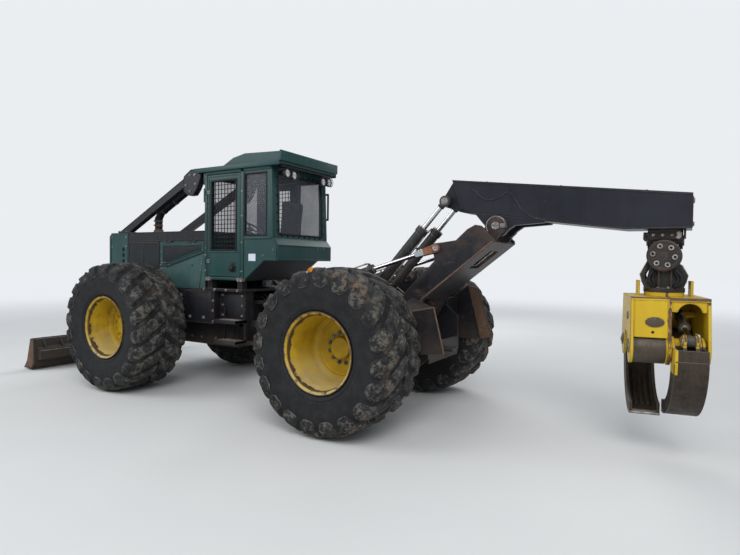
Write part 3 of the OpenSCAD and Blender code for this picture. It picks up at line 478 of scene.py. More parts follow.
@dataclass(frozen=True)
class BareSteel:
    """Unpainted steel, from bright chrome to brown and scoured."""

    name: str
    colour: Colour
    stain: Colour
    rough: float
    metal: float
    grain: Triple = (1.0, 1.0, 1.0)
    stained: float = 0.5
    rusty_end: RustBand | None = None
    radius: float = 0.006
    turn_yellow: float = 0.0
    yellow_inside: RustBand | None = None

    def build(self) -> bpy.types.Material:
        """Builds the finish's material.

        Returns:
            The material.
        """
        graph = Graph(self.name)
        patch = graph.noise(7.0, 6.0, 0.7)
        fine = graph.noise(48.0, 5.0, 0.7)
        drawn = graph.noise(14.0, 6.0, 0.75, graph.stretched(self.grain))
        stain = (patch * 0.55 + drawn * 0.55).fade(0.66 - self.stained * 0.3, 0.86 - self.stained * 0.2)
        tone = graph.mix(stain, self.colour, self.stain)
        tone = graph.mix(drawn.fade(0.55, 0.85) * 0.35, tone, (0.2, 0.17, 0.14))
        edge = graph.edge(self.radius)
        polished = (edge * 5.0 + patch * 0.5).fade(0.75, 1.1)
        tone = graph.mix(polished * 0.55, tone, (0.3, 0.26, 0.22))
        metal: Level | float = 1.0 - stain * 0.6
        rough = stain * 0.3 + drawn * 0.12 + (self.rough - 0.06)
        if self.rusty_end is not None:
            reach = graph.along(self.rusty_end.direction, at(*self.rusty_end.origin))
            rusty = reach.fade(self.rusty_end.width, self.rusty_end.width * 0.94)
            rust = graph.mix((patch * 0.5 + fine * 0.5).fade(0.36, 0.66), (0.1, 0.04, 0.022),
                (0.3, 0.13, 0.07))
            tone = graph.mix(rusty, tone, rust)
            metal = metal * (1.0 - rusty)
            rough = rough + rusty * 0.5
        if self.turn_yellow > 0:
            height = graph.height()
            if self.yellow_inside is not None:
                aside = abs(graph.along(self.yellow_inside.direction, at(*self.yellow_inside.origin)))
                height = height + aside.fade(self.yellow_inside.width + 0.001,
                    self.yellow_inside.width) * 0.245
            painted = (height + (patch - 0.5) * 0.03).fade(self.turn_yellow - 0.008, self.turn_yellow + 0.008)
            painted = painted * (1.0 - (edge * 5.0 + patch * 0.9 + fine * 0.3).fade(0.95, 1.1))
            tone = graph.mix(painted, tone,
                graph.mix(patch.fade(0.4, 0.7), (0.6, 0.4, 0.018), (0.45, 0.28, 0.016)))
            metal = metal * (1.0 - painted)
        relief = fine * 0.3 + patch * 0.5 + drawn * 0.5
        return graph.shader(
            Base_Color=tone,
            Metallic=metal * self.metal,
            Roughness=rough,
            Normal=graph.bump(relief, 0.3, 0.004, self.radius),
        )


@dataclass(frozen=True)
class Moulded:
    """Black rubber and plastic: hoses, gaskets, lamp shells and cab trim."""

    name: str
    colour: Colour
    rough: float = 0.55
    dust: float = 0.35
    weave: float = 0.0

    def build(self) -> bpy.types.Material:
        """Builds the finish's material.

        Returns:
            The material.
        """
        graph = Graph(self.name)
        patch = graph.noise(11.0, 5.0, 0.65)
        fine = graph.noise(70.0, 4.0, 0.7)
        tone = graph.mix((patch * 0.7 + fine * 0.4).fade(0.5, 0.85) * self.dust, self.colour, DUST)
        relief = fine * 0.4 + patch * 0.3
        if self.weave > 0:
            first, second, third = (graph.bands(direction, self.weave) for direction in "XYZ")
            cloth = (first + second + third) / 3.0
            relief = relief + cloth * 1.2
            tone = graph.mix(cloth.fade(0.3, 0.8) * 0.5, tone, (0.1, 0.1, 0.105))
        return graph.shader(Base_Color=tone, Roughness=patch * 0.15 + self.rough,
            Normal=graph.bump(relief, 0.3, 0.002))


@dataclass(frozen=True)
class Pane:
    """Clear sheet that has been scratched and hazed."""

    name: str
    tint: Colour
    haze: float

    def build(self) -> bpy.types.Material:
        """Builds the finish's material.

        Returns:
            The material.
        """
        graph = Graph(self.name)
        broad = graph.noise(2.2, 3.0)
        scratch = graph.noise(6.0, 7.0, 0.8, graph.stretched((1.0, 2.0, 12.0), (12.0, 0.0, 25.0)))
        smear = graph.noise(3.0, 4.0, 0.6, graph.stretched((1.0, 1.0, 0.35)))
        cover = self.haze + scratch.fade(0.45, 0.85) * 0.06 + (smear * 0.7 + broad * 0.4).fade(0.45,
            0.85) * 0.14
        tone = graph.mix(scratch.fade(0.45, 0.85) * 0.5, self.tint, tuple(value * 1.6 for value in self.tint))
        return graph.shader(Base_Color=tone, Roughness=broad * 0.15 + 0.1, Alpha=cover)


@dataclass(frozen=True)
class Lens:
    """The moulded clear front of a lamp, coloured pale as a painted reflection of the bright bowl behind it."""

    name: str = "lamp_lens"

    def build(self) -> bpy.types.Material:
        """Builds the finish's material.

        Returns:
            The material.
        """
        graph = Graph(self.name)
        ribs = graph.bands("Y", 38.0)
        dirt = graph.noise(30.0, 4.0)
        # The pale colour is a painted reflection of the chrome bowl behind the lens; the dirt darkens it.
        tone = graph.mix(dirt.fade(0.45, 0.75), (0.66, 0.68, 0.7), (0.36, 0.36, 0.35))
        return graph.shader(
            Base_Color=tone, Roughness=dirt * 0.2 + 0.08, Coat_Weight=1.0, Normal=graph.bump(ribs, 0.4, 0.002)
        )


@dataclass(frozen=True)
class Mesh:
    """Dark sheet steel with rows of small holes, drawn as dents painted near black as the shade seen through
    them.
    """

    name: str
    colour: Colour
    pitch: float = 0.02

    def build(self) -> bpy.types.Material:
        """Builds the finish's material.

        Returns:
            The material.
        """
        graph = Graph(self.name)
        scale = 1.0 / self.pitch
        parts = [graph.node("ShaderNodeSeparateXYZ", None, {0: graph.place}, index) for index in (0, 2)]
        waves = [graph.node("ShaderNodeMath", {"operation": "SINE"}, {0: part * (scale * math.tau)})
            for part in parts]
        holes = (waves[0] * waves[1]).fade(0.15, 0.4)
        patch = graph.noise(5.0, 5.0)
        tone = graph.mix(patch.fade(0.4, 0.7), self.colour, tuple(value * 1.9 for value in self.colour))
        # Painted shade: the holes are coloured near black for the dark space seen through them.
        tone = graph.mix(holes * 0.85, tone, (0.004, 0.004, 0.004))
        return graph.shader(Base_Color=tone, Roughness=patch * 0.2 + 0.45,
            Normal=graph.bump(1.0 - holes, 0.5, 0.002))


@dataclass(frozen=True)
class Floor:
    """The plain pale floor of the studio."""

    name: str = "studio_floor"

    def build(self) -> bpy.types.Material:
        """Builds the finish's material.

        Returns:
            The material.
        """
        graph = Graph(self.name)
        soft = graph.noise(0.4, 2.0)
        ahead = graph.along((1.0, 0.0, 0.0), at(1.0, 0.0, 0.0))
        aside = graph.along((0.0, 1.0, 0.0), at(1.0, 0.0, 0.0))
        reach = ((ahead * ahead + aside * aside) ** 0.5).fade(5.0, 24.0)
        tone = graph.mix(soft.fade(0.2, 0.8), (0.66, 0.66, 0.65), (0.7, 0.7, 0.69))
        tone = graph.mix(reach, tone, (0.0, 0.0, 0.0))
        glow = graph.mix(reach, (0.0, 0.0, 0.0), (0.8, 0.825, 0.855))
        return graph.shader(Base_Color=tone, Roughness=0.9, Emission_Color=glow, Emission_Strength=1.0)


class Finish(Enum):
    """Every finish on the machine."""

    GREEN = Paint(
        "green_paint", (0.0095, 0.044, 0.043), (0.019, 0.06, 0.06), rough=0.36, chips=0.12, spots=0.06,
        dust=0.16,
        bare=(0.035, 0.028, 0.02), bare_light=(0.085, 0.062, 0.04),
    )
    GREEN_PALE = Paint("green_paint_pale", (0.03, 0.076, 0.074), (0.048, 0.102, 0.098), rough=0.42,
        chips=0.15, spots=0.1)
    BLACK = Paint("black_paint", (0.0085, 0.0092, 0.013), (0.018, 0.018, 0.021), chips=0.45, spots=0.22,
        dust=0.26, mud_top=0.98)
    BLACK_CLEAN = Paint("black_panel", (0.0062, 0.007, 0.011), (0.012, 0.0135, 0.019), rough=0.38, chips=0.1,
        spots=0.04, dust=0.12)
    BOOM = Paint("boom_paint", (0.0105, 0.0112, 0.0165), (0.017, 0.0182, 0.026), rough=0.34, chips=0.26,
        spots=0.06, dust=0.12)
    ARCH = Paint(
        "arch_paint", (0.01, 0.01, 0.0138), (0.02, 0.0198, 0.025), chips=0.72, spots=0.42, scuffs=0.7,
        dust=0.22
    )
    GUARD = Paint(
        "guard_paint", (0.009, 0.009, 0.013), (0.018, 0.017, 0.018), rough=0.5, chips=0.6, spots=0.4,
        scuffs=0.6, dust=0.22,
        mud_top=1.15,
    )
    HANGER = Paint("hanger_paint", (0.011, 0.011, 0.013), (0.024, 0.023, 0.024), chips=0.65, spots=0.4,
        scuffs=0.5, dust=0.35)
    HEAD = Paint(
        "head_yellow", (0.6, 0.42, 0.014), (0.54, 0.35, 0.014), rough=0.38, chips=0.66, spots=0.4, dust=0.16,
        bare=(0.095, 0.05, 0.024), bare_light=(0.2, 0.11, 0.055),
        band=RustBand((0.98325, 0.18224, 0.0), (-3.066, 0.0, 1.0), 0.01),
    )
    BLADE = Paint("blade_paint", (0.012, 0.012, 0.013), (0.025, 0.023, 0.021), rough=0.5, chips=0.9,
        spots=0.5, mud_top=0.62)
    BARREL = Paint("barrel_paint", (0.026, 0.027, 0.028), (0.068, 0.067, 0.064), chips=0.6, spots=0.5,
        scuffs=0.6, dust=0.45)
    ENGINE = Paint("engine_paint", (0.014, 0.016, 0.015), (0.028, 0.03, 0.028), rough=0.5, chips=0.3,
        spots=0.2, dust=0.3)
    TYRE_FRONT = Rubber("tyre_rubber_front", WHEELBASE, 0.25)
    TYRE_REAR = Rubber("tyre_rubber_rear", 0.0, 0.85)
    LUGS_FRONT = Rubber("tyre_lugs_front", WHEELBASE, 0.2, True)
    LUGS_REAR = Rubber("tyre_lugs_rear", 0.0, 0.8, True)
    RIM_FRONT = RimPaint("rim_yellow_front", WHEELBASE, TRACK_HALF + 0.342, 0.55)
    RIM_REAR = RimPaint("rim_yellow_rear", 0.0, TRACK_HALF + 0.342, 0.3)
    CHROME = BareSteel("rod_chrome", (0.6, 0.6, 0.62), (0.4, 0.385, 0.37), 0.2, 1.0, stained=0.05)
    ARCH_ROD = BareSteel(
        "arch_rod_steel", (0.66, 0.66, 0.68), (0.42, 0.4, 0.38), 0.14, 1.0, stained=0.05,
        rusty_end=RustBand((0.9574, 0.0, -0.2886), (-0.818, 0.0, 2.02), 0.165),
    )
    TONG = BareSteel(
        "tong_steel", (0.06, 0.046, 0.034), (0.026, 0.018, 0.013), 0.5, 0.35, (5.0, 5.0, 0.8), 0.65,
        radius=0.014,
        turn_yellow=1.128, yellow_inside=RustBand((0.98325, 0.18224, 0.0), (-3.066, 0.0, 1.0), 0.049),
    )
    TUBE = BareSteel("tube_steel", (0.085, 0.07, 0.052), (0.04, 0.032, 0.026), 0.46, 0.4, (6.0, 1.0, 1.0),
        0.5)
    BOLT = BareSteel("bolt_steel", (0.3, 0.29, 0.28), (0.085, 0.066, 0.05), 0.42, 0.8, stained=0.7,
        radius=0.002)
    BARE = BareSteel("bare_edge", (0.4, 0.385, 0.36), (0.115, 0.085, 0.062), 0.4, 0.6, stained=0.75,
        radius=0.003)
    RUSTY = BareSteel("rusty_steel", (0.112, 0.068, 0.046), (0.185, 0.108, 0.068), 0.75, 0.1, stained=0.6)
    WELD = BareSteel("weld_bead", (0.032, 0.033, 0.04), (0.016, 0.016, 0.02), 0.45, 0.2, stained=0.5,
        radius=0.002)
    HOSE = Moulded("hose_rubber", (0.01, 0.01, 0.011), 0.48, 0.22)
    # Black rubber for gaskets, also used for black discs of painted shade in holes, bolt sockets and the
    # exhaust's mouth.
    GASKET = Moulded("gasket_rubber", (0.008, 0.008, 0.009), 0.6, 0.2)
    ORANGE = Moulded("filter_orange", (0.72, 0.26, 0.016), 0.42, 0.12)
    MESH_WIRE = Moulded("mesh_wire", (0.006, 0.0065, 0.0075), 0.45, 0.08)
    PLASTIC = Moulded("cab_plastic", (0.03, 0.031, 0.034), 0.55, 0.3)
    CLOTH = Moulded("seat_cloth", (0.026, 0.028, 0.034), 0.85, 0.25, weave=90.0)
    LAMP = Moulded("lamp_shell", (0.014, 0.014, 0.015), 0.42, 0.3)
    LABEL = Moulded("blank_label", (0.62, 0.64, 0.74), 0.5, 0.1)
    PANE = Pane("cab_pane", (0.085, 0.092, 0.105), 0.34)
    PANE_REAR = Pane("rear_pane", (0.2, 0.21, 0.24), 0.44)
    LENS = Lens()
    SCREEN = Mesh("side_screen", (0.0075, 0.0125, 0.0145), 0.022)
    FLOOR = Floor()


class Paintbox:
    """Makes each finish once, when a piece first asks for it."""

    def __init__(self) -> None:
        """Starts with no material made."""
        self.made: dict[Finish, bpy.types.Material] = {}

    def get(self, finish: Finish) -> bpy.types.Material:
        """Returns the material of a finish."""
        if finish not in self.made:
            self.made[finish] = finish.value.build()
        return self.made[finish]


PAINTBOX = Paintbox()


def clear() -> None:
    """Deselects every object."""
    for chosen in bpy.context.selected_objects:
        chosen.select_set(False)


@contextmanager
def editing(piece: Piece) -> Iterator[bpy.types.Mesh]:
    """Opens a piece in edit mode, with only that piece selected.

    Args:
        piece: The piece.

    Yields:
        The piece's mesh.
    """
    clear()
    bpy.context.view_layer.objects.active = piece
    piece.select_set(True)
    bpy.ops.object.mode_set(mode="EDIT")
    bpy.ops.mesh.select_mode(type="VERT")
    yield piece.data
    bpy.ops.object.mode_set(mode="OBJECT")


def pick(mesh: bpy.types.Mesh, test: Callable[[bmesh.types.BMFace], bool]) -> None:
    """Selects the faces that pass a test, in edit mode.

    Args:
        mesh: The mesh.
        test: Says for a face whether it is picked.
    """
    bpy.ops.mesh.select_mode(type="FACE")
    bpy.ops.mesh.select_all(action="DESELECT")
    shape = bmesh.from_edit_mesh(mesh)
    for face in shape.faces:
        face.select_set(test(face))
    bmesh.update_edit_mesh(mesh)


def settle(piece: Piece) -> None:
    """Moves a piece's place, turn and scale into its mesh.

    Args:
        piece: The piece.
    """
    clear()
    bpy.context.view_layer.objects.active = piece
    piece.select_set(True)
    bpy.ops.object.transform_apply(location=True, rotation=True, scale=True)


def modify(piece: Piece, kind: str, **settings: object) -> None:
    """Adds a modifier with its settings and applies it.

    Args:
        piece: The piece.
        kind: The modifier's type.
        settings: Its settings by name.
    """
    clear()
    bpy.context.view_layer.objects.active = piece
    piece.select_set(True)
    made = piece.modifiers.new(kind.lower(), kind)
    for key, value in settings.items():
        setattr(made, key, value)
    bpy.ops.object.modifier_apply(modifier=made.name)


def block(name: str, low: Vector, high: Vector, bevel: float = 0.004) -> Piece:
    """Makes a block with rounded edges between two corners.

    Args:
        name: The piece's name.
        low: One corner.
        high: The corner across from it.
        bevel: How far the edges are rounded.

    Returns:
        The block.
    """
    clear()
    bpy.ops.mesh.primitive_cube_add(size=1.0, location=(low + high) / 2)
    piece = bpy.context.object
    piece.name = name
    piece.scale = high - low
    settle(piece)
    with editing(piece):
        bpy.ops.mesh.select_all(action="SELECT")
        bpy.ops.mesh.bevel(offset=bevel, segments=2, affect="EDGES")
    return piece


def drum(
    name: str, start: Vector, end: Vector, radius: float, bevel: float = 0.004, sides: int = 32,
    inset: float = 0.0
) -> Piece:
    """Makes a round bar with rounded rims, and a shallow ring in its ends where an inset is given.

    Args:
        name: The piece's name.
        start: The middle of one end.
        end: The middle of the other end.
        radius: The bar's radius.
        bevel: How far the rims are rounded.
        sides: How many flats it has.
        inset: How far the ring in its ends lies from the rim.

    Returns:
        The bar.
    """
    run = end - start
    clear()
    bpy.ops.mesh.primitive_cylinder_add(vertices=sides, radius=radius, depth=run.length)
    piece = bpy.context.object
    piece.name = name
    half = run.length / 2
    with editing(piece) as mesh:
        if inset > 0:
            for end_side in (1, -1):
                pick(mesh, lambda face: face.normal.z * end_side > 0.9)
                bpy.ops.mesh.inset(thickness=inset, depth=0.0)
                bpy.ops.mesh.inset(thickness=bevel * 0.5, depth=-bevel)
        pick(mesh, lambda face: abs(face.normal.z) > 0.9
            and abs(abs(face.calc_center_median().z) - half) < 1e-4)
        bpy.ops.mesh.select_mode(type="EDGE")
        shape = bmesh.from_edit_mesh(mesh)
        for line in shape.edges:
            angle = line.calc_face_angle(0.0)
            line.select_set(angle > 1.0)
        bmesh.update_edit_mesh(mesh)
        bpy.ops.mesh.bevel(offset=bevel, segments=2, affect="EDGES")
    turn = run.to_track_quat("Z", "Y").to_matrix().to_4x4()
    piece.data.transform(Matrix.Translation((start + end) / 2) @ turn)
    return piece


def chain(name: str, points: Sequence[Vector]) -> Piece:
    """Draws an open line of points by pulling one point along from place to place.

    Args:
        name: The piece's name.
        points: The points in order.

    Returns:
        The line.
    """
    clear()
    bpy.ops.mesh.primitive_plane_add(size=0.01)
    piece = bpy.context.object
    piece.name = name
    with editing(piece) as mesh:
        bpy.ops.mesh.select_all(action="SELECT")
        bpy.ops.mesh.merge(type="CENTER")
        bpy.ops.transform.translate(value=points[0])
        for before, after in zip(points, points[1:]):
            bpy.ops.mesh.extrude_vertices_move(TRANSFORM_OT_translate={"value": after - before})
        mesh.update()
    return piece


def plate(
    name: str, outline: Sequence[Pair], low: float, high: float, axis: Axis = Axis.Y, bevel: float = 0.003
) -> Piece:
    """Makes a flat plate from its outline.

    Args:
        name: The piece's name.
        outline: The corners, in the two directions that aren't the axis, ahead of the rear axle.
        low: Where the plate starts along the axis.
        high: Where it ends.
        axis: The direction through the plate.
        bevel: How far its edges are rounded.

    Returns:
        The piece.
    """
    if axis is Axis.Y:
        points = [at(first, low, second) for first, second in outline]
    elif axis is Axis.X:
        points = [at(low, first, second) for first, second in outline]
    else:
        points = [at(first, second, low) for first, second in outline]
    piece = chain(name, points)
    with editing(piece):
        bpy.ops.mesh.select_all(action="SELECT")
        bpy.ops.mesh.edge_face_add()
        step = Vector(axis.value) * (high - low)
        bpy.ops.mesh.extrude_region_move(TRANSFORM_OT_translate={"value": step})
        bpy.ops.mesh.select_all(action="SELECT")
        bpy.ops.mesh.normals_make_consistent(inside=False)
    if bevel > 0:
        rounded(piece, bevel)
    return piece


def turned(
    name: str, profile: Sequence[Pair], centre: Vector, axis: Axis, steps: int = 64, sense: float = 1.0
) -> Piece:
    """Spins a profile of (radius, distance along the axis) into a round piece.

    Args:
        name: The piece's name.
        profile: The points as (radius, distance along the axis).
        centre: Where the axis starts.
        axis: The direction of the axis.
        steps: How many steps a turn has.
        sense: 1 along the axis and -1 against it.

    Returns:
        The round piece.
    """
    along = Vector(axis.value) * sense
    out = Vector(Axis.Z.value) if axis is not Axis.Z else Vector(Axis.X.value)
    points = [centre + out * radius + along * distance for radius, distance in profile]
    piece = chain(name, points)
    with editing(piece):
        bpy.ops.mesh.select_all(action="SELECT")
        bpy.ops.mesh.spin(steps=steps, angle=math.tau, center=centre, axis=axis.value)
        bpy.ops.mesh.select_all(action="SELECT")
        bpy.ops.mesh.remove_doubles(threshold=0.00005)
        bpy.ops.mesh.select_all(action="SELECT")
        bpy.ops.mesh.normals_make_consistent(inside=False)
    return piece


def pipe(
    name: str, points: Sequence[Vector], radius: float, sides: int = 3, smooth: bool = True,
    closed: bool = False
) -> Piece:
    """Lays a round pipe or hose along a line of points.

    Args:
        name: The piece's name.
        points: The points in order.
        radius: The pipe's radius.
        sides: How fine its section is.
        smooth: Whether it bends in curves between the points.
        closed: Whether its end meets its start.

    Returns:
        The pipe.
    """
    clear()
    bpy.ops.curve.primitive_bezier_curve_add()
    piece = bpy.context.object
    piece.name = name
    curve = piece.data
    curve.splines.clear()
    spline = curve.splines.new("BEZIER" if smooth else "POLY")
    if smooth:
        spline.bezier_points.add(len(points) - 1)
        for knot, place in zip(spline.bezier_points, points):
            knot.co = place
            knot.handle_left_type = knot.handle_right_type = "AUTO"
    else:
        spline.points.add(len(points) - 1)
        for knot, place in zip(spline.points, points):
            knot.co = (*place, 1.0)
    spline.use_cyclic_u = closed
    curve.dimensions = "3D"
    curve.resolution_u = 8
    curve.bevel_depth = radius
    curve.bevel_resolution = sides
    curve.use_fill_caps = not closed
    clear()
    piece.select_set(True)
    bpy.context.view_layer.objects.active = piece
    bpy.ops.object.convert(target="MESH")
    piece.location = (0.0, 0.0, 0.0)
    return piece


def copies(name: str, model: Piece, places: Sequence[Matrix], keep: bool = False) -> Piece:
    """Copies a modelled piece to several places and joins the copies.

    Args:
        name: The joined piece's name.
        model: The piece that is repeated.
        places: One matrix for each copy.
        keep: Whether the model stays for another use.

    Returns:
        The joined piece.
    """
    made = []
    for place in places:
        copy = model.copy()
        copy.data = model.data.copy()
        bpy.context.collection.objects.link(copy)
        made.append(placed(copy, place))
    if not keep:
        bpy.data.objects.remove(model)
    return joined(name, made)


def joined(name: str, parts: Sequence[Piece]) -> Piece:
    """Joins several shapes into one piece.

    Args:
        name: The joined piece's name.
        parts: The shapes.

    Returns:
        The joined piece.
    """
    clear()
    for part in parts:
        part.select_set(True)
    bpy.context.view_layer.objects.active = parts[0]
    if len(parts) > 1:
        bpy.ops.object.join()
    parts[0].name = name
    return parts[0]


def mirrored(name: str, model: Piece) -> Piece:
    """Returns a copy of a piece on the machine's other side.

    Args:
        name: The copy's name.
        model: The piece on the left.

    Returns:
        The copy.
    """
    copy = model.copy()
    copy.data = model.data.copy()
    bpy.context.collection.objects.link(copy)
    copy.name = name
    return placed(copy, MIRROR)


def both_sides(name: str, model: Piece) -> Piece:
    """Adds a piece's mirror image to it."""
    return joined(name, [model, mirrored(name + "_other", model)])


def hand_over(
    piece: Piece, body: str, finish: Finish, smooth: float = 35.0, replaces: Sequence[str] = ()
) -> Piece:
    """Shades, paints and hangs a finished piece on the body that it moves with.

    Args:
        piece: The piece.
        body: The body that it rides on.
        finish: Its finish.
        smooth: The largest angle in degrees that is shaded as smooth.
        replaces: The CAD nodes that it stands for.

    Returns:
        The piece.
    """
    clear()
    piece.select_set(True)
    bpy.context.view_layer.objects.active = piece
    bpy.ops.object.shade_smooth_by_angle(angle=math.radians(smooth))
    piece.data.materials.clear()
    piece.data.materials.append(PAINTBOX.get(finish))
    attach(piece, body)
    for node in replaces:
        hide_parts(node)
    LOG.info("%s: %d faces on %s", piece.name, len(piece.data.polygons), body)
    return piece


def give(
    name: str, parts: Sequence[Piece], body: str, finish: Finish, smooth: float = 35.0,
    replaces: Sequence[str] = ()
) -> Piece:
    """Joins shapes into one piece and hands it over."""
    return hand_over(joined(name, parts), body, finish, smooth, replaces)


def give_both(name: str, parts: Sequence[Piece], body: str, finish: Finish, smooth: float = 35.0) -> Piece:
    """Joins shapes and their mirror image into one piece and hands it over."""
    return hand_over(both_sides(name, joined(name, parts)), body, finish, smooth)


def placed(piece: Piece, place: Matrix) -> Piece:
    """Moves a piece's mesh, and turns its faces outwards again where that mirrors it."""
    piece.data.transform(place)
    if place.determinant() < 0:
        piece.data.flip_normals()
    return piece


def rounded(piece: Piece, width: float) -> None:
    """Rounds a piece's sharp edges."""
    modify(piece, "BEVEL", width=width, segments=2, limit_method="ANGLE", angle_limit=math.radians(35))


def frame_of(piece: Piece, axis: Axis, width: float, bevel: float) -> Piece:
    """Opens a plate into a frame with strips of an even width and rounded edges.

    Args:
        piece: The plate.
        axis: The direction through it.
        width: How wide each strip is.
        bevel: How far the edges are rounded.

    Returns:
        The frame.
    """
    through = Vector(axis.value)
    with editing(piece) as mesh:
        pick(mesh, lambda face: abs(face.normal.dot(through)) > 0.9)
        bpy.ops.mesh.inset(thickness=width, depth=0.0, use_individual=True)
        bpy.ops.mesh.bridge_edge_loops()
    rounded(piece, bevel)
    return piece


def facing(place: Vector, direction: Vector, spin: float = 0.0) -> Matrix:
    """Returns the matrix that puts a piece modelled along +Z at a place, facing a direction."""
    turn = direction.to_track_quat("Z", "Y").to_matrix().to_4x4()
    return Matrix.Translation(place) @ turn @ Matrix.Rotation(spin, 4, "Z")


@dataclass
class Fastener:
    """A hexagon bolt head on a round washer."""

    width: float = 0.024
    height: float = 0.012

    def model(self) -> Piece:
        """Models one head, standing on the floor plane and pointing up.

        Returns:
            The bolt head.
        """
        washer = drum("washer", Vector((0, 0, 0)), Vector((0, 0, self.height * 0.3)), self.width * 0.78,
            0.0008, 16)
        clear()
        bpy.ops.mesh.primitive_cylinder_add(
            vertices=6, radius=self.width * 0.577, depth=self.height, location=(0, 0, self.height * 0.75)
        )
        head = bpy.context.object
        settle(head)
        with editing(head) as mesh:
            pick(mesh, lambda face: face.normal.z > 0.9)
            bpy.ops.mesh.inset(thickness=self.width * 0.07, depth=self.width * 0.05)
            bpy.ops.mesh.inset(thickness=self.width * 0.08, depth=-self.width * 0.03)
        return joined("bolt_model", [washer, head])

    def row(self, name: str, places: Sequence[Matrix]) -> Piece:
        """Returns one piece with a head at each place."""
        return copies(name, self.model(), places)


def bolt_both(name: str, width: float, height: float, places: Sequence[Matrix], body: str) -> None:
    """Hands over bolt heads at places on the left and at the same places on the right."""
    give_both(name, [Fastener(width, height).row(name, places)], body, Finish.BOLT, 30.0)


@dataclass
class Studio:
    """The camera at the photograph's place, the soft lamps and the pale floor."""

    eye: Triple = (-3.29, 5.97, 1.85)
    yaw: float = -59.0
    pitch: float = -1.64
    roll: float = 0.76
    lens: float = 25.98
    floor_size: float = 120.0

    def camera(self) -> None:
        """Sets the camera where the photograph was taken."""
        made = bpy.data.cameras.new("photo_camera")
        made.sensor_width = 36.0
        made.sensor_fit = "HORIZONTAL"
        made.lens = self.lens
        made.clip_end = 400.0
        holder = bpy.data.objects.new("photo_camera", made)
        bpy.context.collection.objects.link(holder)
        yaw, pitch, roll = (math.radians(value) for value in (self.yaw, self.pitch, self.roll))
        ahead = Vector((math.cos(pitch) * math.cos(yaw), math.cos(pitch) * math.sin(yaw), math.sin(pitch)))
        right = ahead.cross(UP).normalized()
        up = right.cross(ahead)
        right, up = right * math.cos(roll) + up * math.sin(roll), up * math.cos(roll) - right * math.sin(roll)
        turn = Matrix((right, up, -ahead)).transposed().to_4x4()
        holder.matrix_world = Matrix.Translation(at(*self.eye)) @ turn
        bpy.context.scene.camera = holder

    def lamp(self, name: str, place: Triple, target: Triple, size: float, power: float) -> None:
        """Adds one soft square lamp.

        Args:
            name: The lamp's name.
            place: Where it hangs.
            target: What it is turned to.
            size: Its side in metres.
            power: Its power in watts.
        """
        made = bpy.data.lights.new(name, "AREA")
        made.shape = "SQUARE"
        made.size = size
        made.energy = power
        holder = bpy.data.objects.new(name, made)
        bpy.context.collection.objects.link(holder)
        direction = Vector(target) - Vector(place)
        holder.matrix_world = Matrix.Translation(place) @ direction.to_track_quat("-Z",
            "Y").to_matrix().to_4x4()

    def sky(self) -> None:
        """Sets a pale even sky that lights softly and shows almost white."""
        world = bpy.data.worlds.new("studio_sky")
        bpy.context.scene.world = world
        world.use_nodes = True
        tree = world.node_tree
        tree.nodes.clear()
        path = tree.nodes.new("ShaderNodeLightPath")
        seen = tree.nodes.new("ShaderNodeMath")
        seen.operation = "MAXIMUM"
        tree.links.new(path.outputs["Is Camera Ray"], seen.inputs[0])
        tree.links.new(path.outputs["Is Transmission Ray"], seen.inputs[1])
        light = tree.nodes.new("ShaderNodeBackground")
        light.inputs["Color"].default_value = (0.86, 0.92, 1.0, 1.0)
        light.inputs["Strength"].default_value = 0.52
        shown = tree.nodes.new("ShaderNodeBackground")
        shown.inputs["Color"].default_value = (0.83, 0.85, 0.88, 1.0)
        shown.inputs["Strength"].default_value = 1.0
        choice = tree.nodes.new("ShaderNodeMixShader")
        tree.links.new(seen.outputs[0], choice.inputs[0])
        tree.links.new(light.outputs[0], choice.inputs[1])
        tree.links.new(shown.outputs[0], choice.inputs[2])
        output = tree.nodes.new("ShaderNodeOutputWorld")
        tree.links.new(choice.outputs[0], output.inputs["Surface"])

    def build(self) -> None:
        """Sets the camera, lights, sky and floor."""
        self.camera()
        self.sky()
        self.lamp("key", (-7.0, 9.0, 9.5), (0.0, 0.0, 1.2), 7.0, 980.0)
        self.lamp("fill", (7.5, 8.0, 7.0), (0.5, 0.0, 1.2), 7.0, 500.0)
        self.lamp("back", (2.0, -10.0, 8.0), (0.0, 0.0, 1.4), 7.0, 540.0)
        clear()
        bpy.ops.mesh.primitive_plane_add(size=self.floor_size)
        floor = bpy.context.object
        floor.name = "studio_floor"
        with editing(floor):
            bpy.ops.mesh.subdivide(number_cuts=3)
        floor.data.materials.append(PAINTBOX.get(Finish.FLOOR))
        bpy.context.scene.view_settings.view_transform = "Standard"


